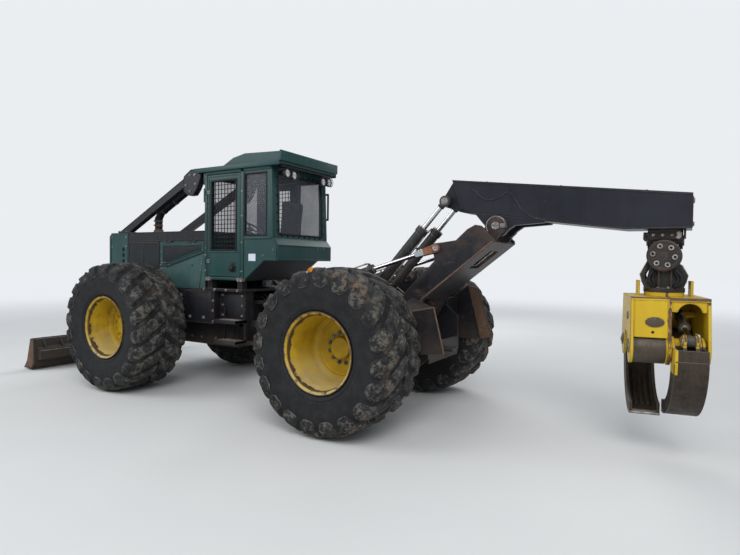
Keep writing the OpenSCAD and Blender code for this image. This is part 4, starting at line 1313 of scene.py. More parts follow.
@dataclass
class Wheel:
    """One forestry wheel: a carcass with worn lugs on a dished rim with its studs."""

    place: str
    side: Side
    front: bool
    lug_height: float = 0.044
    lug_count: int = 20
    lug_width: float = 0.148
    lug_foot: float = 0.2
    sweep: float = 17.0
    rim_radius: float = 0.4065
    flange_radius: float = 0.436
    rim_half: float = 0.3425
    studs: int = 12
    stud_circle: float = 0.168
    carcass: list[Pair] = field(
        default_factory=lambda: [
            (0.4085, 0.3), (0.44, 0.312), (0.452, 0.33), (0.47, 0.345), (0.5, 0.352), (0.545, 0.362),
            (0.6, 0.374),
            (0.665, 0.384), (0.725, 0.3865), (0.775, 0.38), (0.812, 0.364), (0.836, 0.336), (0.849, 0.29),
            (0.8555, 0.2),
            (0.858, 0.1), (0.8585, 0.0),
        ]
    )

    @property
    def axle_x(self) -> float:
        """Where the wheel's axle lies."""
        return WHEELBASE if self.front else 0.0

    @property
    def centre(self) -> Vector:
        """The wheel's middle in the row frame."""
        return at(self.axle_x, self.side.value * TRACK_HALF, AXLE_Z)

    @property
    def body(self) -> str:
        """The body that the wheel turns with."""
        return f"wheel_{self.place}"

    @property
    def dish(self) -> float:
        """How far the disc lies behind the outer flange."""
        return 0.36 if self.front else 0.5

    def wrap(self, around: float, across: float, height: float) -> Vector:
        """Bends a point of the flat tread on to the wheel.

        Args:
            around: The angle round the wheel, in radians.
            across: The path across the tread from its middle, over the shoulder and down the sidewall, in metres.
            height: The height over the carcass.

        Returns:
            The point in the row frame.
        """
        outline = list(reversed(self.carcass))
        reach = abs(across)
        for (r0, y0), (r1, y1) in zip(outline, outline[1:]):
            length = math.hypot(r1 - r0, y1 - y0)
            if reach <= length or (r1, y1) == outline[-1]:
                share = min(reach / length, 1.0)
                radius, beside = r0 + (r1 - r0) * share, y0 + (y1 - y0) * share
                normal = Vector((-(y1 - y0), (r1 - r0), 0)).normalized()
                out = Vector((abs(normal.x), abs(normal.y)))
                radius += out.x * height
                beside += out.y * height
                break
            reach -= length
        beside = math.copysign(beside, across)
        return self.centre + Vector((radius * math.cos(around), beside, radius * math.sin(around)))

    def lug_model(self) -> Piece:
        """Models one lug laid flat: x round the wheel, y across the tread, z its height.

        Returns:
            The lug.
        """
        clear()
        bpy.ops.mesh.primitive_cube_add(size=1.0, location=(0, 0.045, 0.5))
        lug = bpy.context.object
        lug.scale = (self.lug_foot, 0.07, self.lug_height)
        lug.location.z = self.lug_height / 2
        settle(lug)
        with editing(lug) as mesh:
            pick(mesh, lambda face: face.normal.z > 0.9)
            bpy.ops.transform.resize(value=(self.lug_width / self.lug_foot, 0.8, 1.0))
            for step, grow in ((0.06, 1.0), (0.08, 1.02), (0.08, 1.04), (0.06, 1.05), (0.045, 1.04),
                (0.045, 0.96), (0.05, 0.8)):
                pick(mesh, lambda face: face.normal.y > 0.8)
                bpy.ops.mesh.extrude_region_move(TRANSFORM_OT_translate={"value": (0, step, 0)})
                bpy.ops.transform.resize(value=(grow, 1.0, 1.0))
            pick(mesh, lambda face: face.normal.y > 0.8)
            bpy.ops.transform.resize(value=(0.62, 1.0, 0.3))
            bpy.ops.mesh.select_mode(type="EDGE")
            shape = bmesh.from_edit_mesh(mesh)
            for line in shape.edges:
                height = min(point.co.z for point in line.verts)
                line.select_set(height > self.lug_height * 0.2 and line.calc_face_angle(0.0) > 0.5)
            bmesh.update_edit_mesh(mesh)
            bpy.ops.mesh.bevel(offset=0.011, segments=2, affect="EDGES")
            bpy.ops.mesh.select_all(action="SELECT")
            bpy.ops.mesh.subdivide(number_cuts=1)
        return lug

    def tread(self) -> Piece:
        """Bends all lugs round the wheel and wears them unevenly.

        Returns:
            The lugs of one tyre in one piece.
        """
        model = self.lug_model()
        made = []
        pitch = math.tau / self.lug_count
        for half in (1, -1):
            for index in range(self.lug_count):
                copy = model.copy()
                copy.data = model.data.copy()
                start = math.pi / 2 + (index + (0.25 if half > 0 else -0.25)) * pitch
                seed = Vector((index * 3.7, half * 5.1, self.centre.x + self.centre.y))
                wear = 0.9 + 0.1 * noise.noise(seed)
                for point in copy.data.vertices:
                    around, across, height = point.co
                    lift = noise.noise(Vector((around * 9, across * 9, height * 9)) + seed * 2)
                    rough = noise.noise(Vector((around * 32, across * 32, height * 32)) + seed)
                    share = max(height / self.lug_height, 0.0)
                    torn = max(across - 0.3, 0.0) * 0.1 * (0.5 + lift)
                    chunk = max(noise.noise(Vector((around * 17, across * 17, index)) + seed * 3) - 0.22,
                        0.0) * 0.045
                    raised = height * wear - share * (0.013 * abs(lift) + 0.006 * abs(rough) + torn + chunk)
                    raised = min(raised, 0.0425) if across < 0.33 else min(raised, 0.03)
                    turn = start + math.radians(self.sweep) * min(across / 0.37, 1.1) + around / 0.88
                    turn += (0.013 * lift + 0.006 * rough) * share
                    if raised < 0.004:
                        raised -= 0.006
                    point.co = self.wrap(turn, half * across, raised)
                if half > 0:
                    copy.data.flip_normals()
                bpy.context.collection.objects.link(copy)
                made.append(copy)
        bpy.data.objects.remove(model)
        return joined("tread", made)

    def build_tyre(self) -> None:
        """Builds the carcass with its lugs and bead lines."""
        side = [(radius, across) for radius, across in self.carcass]
        profile = side + [(radius, -across) for radius, across in reversed(side[:-1])]
        profile.append(profile[0])
        carcass = turned("carcass", profile, self.centre, Axis.Y, 112)
        rings = []
        for across in (0.3535, -0.3535):
            for radius in (0.487, 0.512):
                centre = self.centre + Vector((0, across, 0))
                ring = [(radius - 0.005, -0.004), (radius, 0.0022), (radius + 0.005, -0.004)]
                if across < 0:
                    ring = [(r, -a) for r, a in ring]
                rings.append(turned("bead_line", ring + [ring[0]], centre, Axis.Y, 80))
        node = f"tyre_{self.place}"
        carcass = joined(f"{node}_carcass", [carcass, *rings])
        hand_over(carcass, self.body, Finish.TYRE_FRONT if self.front else Finish.TYRE_REAR, 40.0, (node,))
        lugs = self.tread()
        lugs.name = f"{node}_lugs"
        hand_over(lugs, self.body, Finish.LUGS_FRONT if self.front else Finish.LUGS_REAR, 40.0, (node,))

    def build_rim(self) -> None:
        """Builds the rim's rolled barrel, the dished disc with its ring and the hub cap."""
        inner = self.rim_radius - 0.014
        half = self.rim_half
        outer = [
            (self.rim_radius, half - 0.03), (self.rim_radius + 0.012, half - 0.022),
            (self.flange_radius - 0.004, half - 0.014),
            (self.flange_radius, half - 0.006), (self.flange_radius - 0.003, half),
            (self.flange_radius - 0.01, half - 0.001),
            (inner + 0.016, half - 0.012), (inner + 0.004, half - 0.026), (inner, half - 0.052),
            (inner - 0.002, half - 0.085),
            (inner - 0.016, half - 0.125), (inner - 0.019, half - 0.16),
        ]
        back = half - self.dish
        disc = [
            (inner - 0.019, back + 0.085), (inner - 0.03, back + 0.06), (inner - 0.05, back + 0.038),
            (0.312, back + 0.026),
            (0.3, back + 0.036), (0.288, back + 0.03), (0.272, back + 0.006), (0.235, back), (0.13, back),
            (0.124, back + 0.006), (0.119, back + 0.064), (0.112, back + 0.07), (0.0, back + 0.07),
        ]
        if self.front:
            disc = [
                (inner - 0.019, back + 0.105), (inner - 0.024, back + 0.07), (inner - 0.03, back + 0.04),
                (inner - 0.05, back + 0.022), (0.322, back + 0.02), (0.312, back + 0.012), (0.3, back + 0.02),
                (0.24, back + 0.034), (0.15, back + 0.04), (0.13, back + 0.04), (0.124, back + 0.044),
                (0.119, back + 0.066), (0.112, back + 0.07), (0.0, back + 0.07),
            ]
        sense = float(self.side.value)
        shell = turned("rim_shell", outer + disc, self.centre, Axis.Y, 96, sense)
        rear = [
            (self.rim_radius, half - 0.03), (self.rim_radius, -half + 0.03),
            (self.flange_radius - 0.004, -half + 0.014),
            (self.flange_radius, -half + 0.004), (self.flange_radius - 0.006, -half), (inner, -half + 0.03),
            (inner, back - 0.022), (0.24, back - 0.022), (0.09, back - 0.022), (0.0, back - 0.022),
        ]
        inside = turned("rim_inside", rear, self.centre, Axis.Y, 96, sense)
        rim = joined(f"rim_{self.place}_shell", [shell, inside])
        with editing(rim):
            bpy.ops.mesh.select_all(action="SELECT")
            bpy.ops.mesh.remove_doubles(threshold=0.0001)
            bpy.ops.mesh.normals_make_consistent(inside=False)
        finish = Finish.RIM_FRONT if self.front else Finish.RIM_REAR
        hand_over(rim, self.body, finish, 35.0, (f"rim_{self.place}",))
        self.build_studs(back + (0.04 if self.front else 0.0), finish)

    def build_studs(self, face: float, finish: Finish) -> None:
        """Builds the wheel nuts round the hub and the tyre's valve.

        Args:
            face: How far out of the wheel's middle the nuts stand.
            finish: The rim's own finish, which also covers the nuts.
        """
        sense = self.side.value
        out = Vector((0, sense, 0))
        nut = Fastener(0.034, 0.024)
        places = []
        for index in range(self.studs):
            angle = math.tau * (index + 0.5) / self.studs
            radial = Vector((math.cos(angle), 0, math.sin(angle))) * self.stud_circle
            places.append(facing(self.centre + radial + out * face, out, angle))
        nuts = nut.row("nuts", places)
        ends = []
        for place in places:
            foot = place.translation
            ends.append(drum("stud_end", foot + out * 0.02, foot + out * 0.044, 0.0095, 0.0015, 12))
        stem_foot = self.centre + Vector((-0.335, 0, 0.17)) + out * (self.rim_half - 0.16)
        stem = drum("valve", stem_foot, stem_foot + out * 0.05 + Vector((0.03, 0, -0.015)), 0.007, 0.001, 12)
        collar = drum("valve_foot", stem_foot - out * 0.004, stem_foot + out * 0.008, 0.016, 0.002, 16)
        fittings = joined(f"rim_{self.place}_nuts", [nuts, *ends, stem, collar])
        hand_over(fittings, self.body, Finish.BOLT if not self.front else finish, 30.0)

    def build(self) -> None:
        """Builds the whole wheel."""
        self.build_tyre()
        self.build_rim()


NODE_FINISHES: dict[Finish, tuple[str, ...]] = {
    Finish.GREEN: (
        "radiator_housing", "engine_door_left", "engine_door_right", "cab_side_left", "cab_side_right",
        "cab_front",
        "cab_rear", "cab_roof", "cab_door_left", "cab_door_right",
    ),
    Finish.GREEN_PALE: ("side_panels",),
    Finish.BLACK: (
        "front_frame", "tow_lug", "side_boxes", "front_axle", "rear_frame", "drawbar", "rear_axle",
    ),
    Finish.BLACK_CLEAN: ("hood", "limb_risers", "exhaust", "grab_rail"),
    Finish.SCREEN: ("side_screens",),
    Finish.BOOM: ("boom",),
    Finish.ARCH: ("arch",),
    Finish.GUARD: ("rear_guards",),
    Finish.HANGER: ("crosshead", "yoke"),
    Finish.HEAD: ("grapple_head",),
    Finish.BLADE: ("blade",),
    Finish.BARREL: (
        "blade_barrels", "arch_barrels", "boom_barrels", "steer_barrel_left", "steer_barrel_right",
        "tong_barrel_near", "tong_barrel_far",
    ),
    Finish.ENGINE: ("engine",),
    Finish.CHROME: ("blade_rods", "boom_rods", "steer_rod_left", "steer_rod_right", "tong_rod_near",
        "tong_rod_far"),
    Finish.ARCH_ROD: ("arch_rods",),
    Finish.TONG: ("tong_near", "tong_far"),
    Finish.PLASTIC: ("cab_floor", "cab_controls"),
    Finish.PANE: ("cab_glass",),
    Finish.CLOTH: ("seat_pads",),
    Finish.LAMP: ("work_lamps",),
}


def dress_nodes() -> None:
    """Gives each CAD node that still shows its finish."""
    for finish, names in NODE_FINISHES.items():
        for name in names:
            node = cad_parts[name]
            material = PAINTBOX.get(finish)
            if not node.material_slots:
                node.data.materials.append(material)
            for slot in node.material_slots:
                slot.material = material
            LOG.info("%s: %s", name, finish.name)


@dataclass
class Cab:
    """The guarded cab's doors, windows, roof, lamps, seat and small fittings."""

    half: float = 0.6
    low: float = 1.57
    top: float = 3.12
    sill: float = 2.16
    door: tuple[float, float, float, float] = (2.016, 2.659, 1.621, 3.054)
    window: tuple[float, float, float, float] = (2.1, 2.59, 1.99, 2.97)
    columns: int = 8
    rows: int = 16
    mesh_y: float = 0.58

    def frame_strip(
        self, name: str, box: tuple[float, float, float, float], beside: float, width: float, depth: float,
        round_off: float
    ) -> Piece:
        """Makes a rectangular frame that stands on a side wall.

        Args:
            name: The piece's name.
            box: The opening's rear, front, lower and upper sides.
            beside: How far out the frame starts.
            width: How wide each strip is, towards the opening's inside.
            depth: How far it stands out.
            round_off: How far its edges are rounded.

        Returns:
            The frame.
        """
        x0, x1, z0, z1 = box
        outline = [(x0, z0), (x1, z0), (x1, z1), (x0, z1)]
        return frame_of(plate(name, outline, beside, beside + depth, Axis.Y, 0.0), Axis.Y, width, round_off)

    def doors(self) -> None:
        """Builds each door's raised frame, black window surround, wire mesh, latch and hinge bolts."""
        for side in Side:
            body = f"cab_door_{side.name.lower()}"
            parts = [
                self.frame_strip("rim", self.door, self.half - 0.001, 0.028, 0.007, 0.002),
                block("rail", at(2.05, self.half - 0.002, 1.955), at(2.63, self.half + 0.006, 1.98), 0.002),
            ]
            trim = joined("door_trim", parts)
            surround = self.frame_strip(
                "surround", (2.088, 2.602, 1.978, 2.982), self.half - 0.004, 0.026, 0.012, 0.003
            )
            inner = self.frame_strip("inner", (2.1, 2.59, 1.99, 2.97), self.half - 0.042, 0.016, 0.014, 0.002)
            surround = joined("door_surround", [surround, inner])
            latch = [
                block("latch_plate", at(2.115, self.half - 0.001, 1.69), at(2.2, self.half + 0.01, 1.835),
                    0.006),
                drum("latch_lock", at(2.158, self.half + 0.008, 1.806), at(2.158, self.half + 0.02, 1.806),
                    0.017, 0.003),
                pipe("pull", [at(2.128, self.half + 0.008, 1.77), at(2.13, self.half + 0.04, 1.755),
                    at(2.13, self.half + 0.044, 1.725), at(2.128, self.half + 0.008, 1.705)],
                    0.007),
                pipe("pull_rear", [at(2.186, self.half + 0.008, 1.77), at(2.186, self.half + 0.04, 1.755),
                    at(2.186, self.half + 0.044, 1.725),
                    at(2.186, self.half + 0.008, 1.705)], 0.007),
                block("pull_bar", at(2.122, self.half + 0.036, 1.716), at(2.192, self.half + 0.048, 1.764),
                    0.005),
            ]
            lock = joined("door_latch", latch)
            low_x, high_x, low_z, high_z = self.window
            wires = []
            for index in range(1, self.columns):
                x = low_x + index * (high_x - low_x) / self.columns
                wires.append(pipe("upright",
                    [at(x, self.mesh_y, low_z - 0.002), at(x, self.mesh_y, high_z + 0.002)], 0.0056, 2,
                    False))
            for index in range(1, self.rows):
                z = low_z + index * (high_z - low_z) / self.rows
                wires.append(pipe("cross",
                    [at(low_x - 0.002, self.mesh_y, z), at(high_x + 0.002, self.mesh_y, z)], 0.0052, 2,
                    False))
            mesh = joined("door_mesh", wires)
            heads = []
            for z in (1.83, 2.81):
                for x in (2.617, 2.647):
                    for lift in (-0.013, 0.018):
                        heads.append(facing(at(x, self.half + 0.0075, z + lift), LEFT, lift * 40))
            bolts = Fastener(0.016, 0.008).row("door_hinge_bolts", heads)
            for piece, finish in (
                (trim, Finish.GREEN), (surround, Finish.GASKET), (lock, Finish.LAMP), (bolts, Finish.BOLT),
                (mesh, Finish.MESH_WIRE),
            ):
                piece.name = f"{piece.name}_{side.name.lower()}"
                hand_over(piece if side is Side.LEFT else placed(piece, MIRROR), body, finish, 30.0)

    def side_walls(self) -> None:
        """Builds the corner strips, window rubbers, folded seams, mounting bolts and the blank label."""
        h = self.half
        strips = [
            block("front_post", at(2.668, h - 0.002, self.low + 0.01), at(2.712, h + 0.01, self.top - 0.01),
                0.004),
            block("rear_post", at(1.955, h - 0.002, self.low + 0.03), at(2.008, h + 0.012, self.top - 0.01),
                0.004),
            block("top_rail", at(1.478, h - 0.002, 3.062), at(2.7, h + 0.012, 3.112), 0.004),
            block("foot_rail", at(1.975, h - 0.002, 1.574), at(2.7, h + 0.008, 1.612), 0.004),
            block("sill_strip", at(1.446, h - 0.002, 2.14), at(1.965, h + 0.01, 2.168), 0.003),
            plate("fold", [(1.44, 2.15), (1.366, 2.058), (1.366, 1.872), (1.374, 1.868), (1.376, 2.052),
                (1.45, 2.142)],
                h - 0.002, h + 0.008, Axis.Y, 0.002),
        ]
        give_both("cab_side_trim", strips, "front", Finish.GREEN, 30.0)
        rubber = self.frame_strip("quarter_rubber", (1.537, 1.953, 2.182, 3.038), h - 0.022, 0.022, 0.026,
            0.004)
        give_both("quarter_window_rubbers", [rubber], "front", Finish.GASKET, 30.0)
        mounts = []
        for x in (2.64, 2.02):
            for forward in (0.0, 0.055):
                place = at(x - forward, h + 0.012, 1.585)
                mounts.append(drum("isolator", place - Vector((0, 0.03, 0)), place + Vector((0, 0.03, 0)),
                    0.03, 0.004, 24, 0.008))
        give_both("cab_mounts", mounts, "front", Finish.BOLT, 30.0)
        heads = [facing(at(2.69, h + 0.01, z), LEFT, z) for z in (1.7, 1.92, 2.02, 2.6, 2.66, 3.02)]
        heads += [facing(at(1.982, h + 0.012, z), LEFT, z) for z in (1.7, 2.1, 2.46, 2.8)]
        heads += [facing(at(1.6, h, 1.92), LEFT), facing(at(1.43, h, 2.0), LEFT)]
        bolt_both("cab_side_bolts", 0.018, 0.008, heads, "front")
        label = block("blank_label", at(1.74, h - 0.001, 1.845), at(1.868, h + 0.0012, 1.943), 0.0005)
        with editing(label) as mesh:
            pick(mesh, lambda face: face.normal.y > 0.9)
            bpy.ops.mesh.inset(thickness=0.004, depth=0.0003)
        hand_over(label, "front", Finish.LABEL, 30.0)

    def rear_wall(self) -> None:
        """Builds the rear pane's bolted rubber edge and the seams of the box below it."""
        low_z, high_z = self.sill + 0.05, self.top - 0.11
        lean = (1.482 - 1.448) / (high_z - low_z)

        def rear_x(z: float) -> float:
            """Returns where the rear edge lies at a height."""
            return 1.43 + (z - self.sill) * 0.04 / (self.top - self.sill)

        half = 0.485
        strip = []
        corners = [(half, low_z), (half, high_z), (-half, high_z), (-half, low_z)]
        for (y0, z0), (y1, z1) in zip(corners, corners[1:] + corners[:1]):
            start, end = at(rear_x(z0) - 0.004, y0, z0), at(rear_x(z1) - 0.004, y1, z1)
            strip.append(pipe("edge", [start, end], 0.011, 3, False))
        give("rear_pane_rubber", strip, "front", Finish.GASKET, 40.0)
        outward = Vector((-1.0, 0.0, lean)).normalized()
        heads = []
        for index in range(7):
            z = low_z + 0.05 + index * (high_z - low_z - 0.1) / 6
            for y in (half + 0.022, -half - 0.022):
                heads.append(facing(at(rear_x(z), y, z), outward, index * 0.7))
        for index in range(8):
            y = -half + 0.06 + index * (2 * half - 0.12) / 7
            for z in (low_z - 0.024, high_z + 0.024):
                heads.append(facing(at(rear_x(z), y, z), outward, index * 0.9))
        bolts = Fastener(0.02, 0.01).row("rear_pane_bolts", heads)
        hand_over(bolts, "front", Finish.GASKET, 30.0)
        h = self.half
        folds = [
            block("ledge_lip", at(1.343, -h + 0.02, 2.046), at(1.356, h - 0.02, 2.066), 0.004),
            block("box_foot", at(1.343, -h + 0.02, 1.856), at(1.356, h - 0.02, 1.876), 0.004),
            block("left_post", at(1.424, h - 0.05, 2.165), at(1.452, h + 0.002, 3.1), 0.005),
            block("right_post", at(1.424, -h - 0.002, 2.165), at(1.452, -h + 0.05, 3.1), 0.005),
        ]
        for post in folds[2:]:
            for point in post.data.vertices:
                point.co.x += (point.co.z - 2.165) * 0.0417
        give("cab_rear_folds", folds, "front", Finish.GREEN, 30.0)
        slots = [facing(at(1.343, y, 2.03), BACK) for y in (-0.26, -0.33, -0.4)]
        hand_over(Fastener(0.016, 0.006).row("cab_rear_screws", slots), "front", Finish.BOLT, 30.0)

    def roof(self) -> None:
        """Builds the roof's rolled lip, seams, lifting eyes and bolts."""
        h = self.half
        lips = [
            block("side_lip", at(1.3, h + 0.02, 3.1), at(2.89, h + 0.046, 3.163), 0.005),
            block("seam", at(1.42, h - 0.05, 3.158), at(2.36, h - 0.02, 3.172), 0.003),
        ]
        give_both("roof_side_lips", lips, "front", Finish.GREEN, 30.0)
        rear = plate(
            "roof_rear_band", [(1.272, 3.155), (1.3, 3.15), (1.302, 3.285), (1.286, 3.292), (1.268, 3.282)],
            -h - 0.04, h + 0.04, Axis.Y, 0.005,
        )
        front = block("roof_front_band", at(2.87, -h - 0.045, 3.105), at(2.892, h + 0.045, 3.166), 0.005)
        give("roof_end_bands", [rear, front], "front", Finish.GREEN, 30.0)
        heads = [facing(at(x, y, 3.16), UP, x) for x in (2.45, 2.62, 2.8) for y in (-0.5, 0.0, 0.5)]
        eyes = [
            plate("eye", [(2.33, 3.15), (2.43, 3.15), (2.41, 3.21), (2.385, 3.225), (2.35, 3.21)], y,
                y + 0.012, Axis.Y, 0.002)
            for y in (-0.46, 0.45)
        ]
        bolts = Fastener(0.022, 0.01).row("roof_bolts", heads)
        give("roof_fittings", [bolts, *eyes], "front", Finish.GREEN, 30.0)
        hinge = [
            block("hinge_leaf", at(2.716, h - 0.1, z), at(2.745, h + 0.004, z + 0.2), 0.004)
            for z in (2.68, 2.93)
        ]
        give("cab_front_brackets", hinge, "front", Finish.GREEN, 30.0)

    def lamps(self) -> None:
        """Builds the four work lamps in their round wire guards below the roof's rear edge."""
        shells, lenses, guards = [], [], []
        for y, z in ((0.47, 3.01), (0.33, 3.0), (-0.33, 3.0), (-0.47, 3.01)):
            place = at(1.372, y, z)
            profile = [(0.0, 0.0), (0.03, 0.002), (0.047, 0.014), (0.058, 0.034), (0.063, 0.058),
                (0.064, 0.074), (0.06, 0.078),
                (0.056, 0.074), (0.052, 0.066), (0.0, 0.06)]
            shells.append(turned("shell", profile, place, Axis.X, 36, -1.0))
            glass = [(0.0, 0.071), (0.02, 0.0705), (0.04, 0.068), (0.0545, 0.064), (0.0545, 0.058)]
            lenses.append(turned("lens", glass, place, Axis.X, 36, -1.0))
            ring = [place + Vector((-0.092, 0.066 * math.cos(a), 0.066 * math.sin(a))) for a in
                (math.tau * step / 12 for step in range(12))]
            guards.append(pipe("guard_ring", ring, 0.004, 2, True, True))
            for angle in (0.785, 2.356, 3.927, 5.498):
                side = Vector((0, math.cos(angle), math.sin(angle)))
                guards.append(pipe("stay", [place + Vector((-0.02, 0, 0)) + side * 0.064,
                    place + Vector((-0.092, 0, 0)) + side * 0.066], 0.0035, 2,
                    False))
            guards.append(pipe("cross",
                [place + Vector((-0.093, -0.064, 0)), place + Vector((-0.093, 0.064, 0))], 0.0025, 2, False))
            guards.append(block("bracket", place + Vector((-0.035, -0.014, 0.055)),
                place + Vector((-0.02, 0.014, 0.112)), 0.002))
        bar = block("lamp_bar", at(1.318, -0.56, 3.088), at(1.346, 0.56, 3.118), 0.004)
        ties = [block("tie", at(1.318, y - 0.012, 3.05), at(1.44, y + 0.012, 3.064), 0.003)
            for y in (-0.53, 0.53)]
        give("work_lamp_shells", [*shells, bar, *ties], "front", Finish.LAMP, 35.0, ("work_lamps",))
        give("work_lamp_lenses", lenses, "front", Finish.LENS, 60.0)
        give("work_lamp_guards", guards, "front", Finish.BLACK_CLEAN, 40.0)

    def cushion(self, name: str, low: Vector, high: Vector, lean: float) -> Piece:
        """Makes one padded cushion from a closed form that cloth pressure fills.

        Args:
            name: The piece's name.
            low: Its lowest corner.
            high: Its highest corner.
            lean: How far it leans back, in degrees.

        Returns:
            The cushion.
        """
        pad = block(name, low, high, 0.035)
        foot = Vector(((low.x + high.x) / 2, 0.0, low.z))
        turn = Matrix.Translation(foot) @ Matrix.Rotation(math.radians(-lean), 4,
            "Y") @ Matrix.Translation(-foot)
        modify(pad, "REMESH", mode="VOXEL", voxel_size=0.006)
        before = [point.co.copy() for point in pad.data.vertices]
        clear()
        pad.select_set(True)
        bpy.context.view_layer.objects.active = pad
        cloth = pad.modifiers.new("fill", "CLOTH")
        cloth.settings.use_pressure = True
        cloth.settings.uniform_pressure_force = 4.0
        cloth.settings.effector_weights.gravity = 0.0
        cloth.point_cache.frame_start = 1
        cloth.point_cache.frame_end = 20
        for step in range(1, 21):
            bpy.context.scene.frame_set(step)
        bpy.ops.object.modifier_apply(modifier=cloth.name)
        bpy.context.scene.frame_set(1)
        for point, start in zip(pad.data.vertices, before):
            move = point.co - start
            if move.length > 0.014:
                point.co = start + move.normalized() * 0.014
        for point in pad.data.vertices:
            across = abs(point.co.y) / max(abs(high.y), 1e-6)
            seam = math.exp(-(((across - 0.62) / 0.035) ** 2)) * 0.008
            middle = (low + high) / 2
            inward = Vector((middle.x - point.co.x, 0, middle.z - point.co.z))
            if inward.length > 1e-6:
                point.co += inward.normalized() * seam
        pad.data.transform(turn)
        modify(pad, "SUBSURF", levels=1, render_levels=1)
        return pad

    def seat(self) -> None:
        """Builds the seat's two cushions and its shell."""
        base = self.cushion("seat_cushion", at(1.69, -0.225, 1.985), at(2.13, 0.225, 2.075), 0.0)
        hand_over(base, "front", Finish.CLOTH, 60.0, ("seat_pads",))
        back = self.cushion("seat_back", at(1.605, -0.215, 2.1), at(1.68, 0.215, 2.7), 5.0)
        hand_over(back, "front", Finish.CLOTH, 60.0, ("seat_pads",))
        shell = plate(
            "seat_shell", [(1.65, 1.962), (2.145, 1.962), (2.145, 1.982), (1.69, 1.984), (1.6, 2.1),
                (1.57, 2.1)],
            -0.235, 0.235, Axis.Y, 0.006,
        )
        hand_over(shell, "front", Finish.PLASTIC, 30.0)

    def build(self) -> None:
        """Builds the whole cab."""
        self.doors()
        self.side_walls()
        self.rear_wall()
        self.roof()
        self.lamps()
        self.seat()


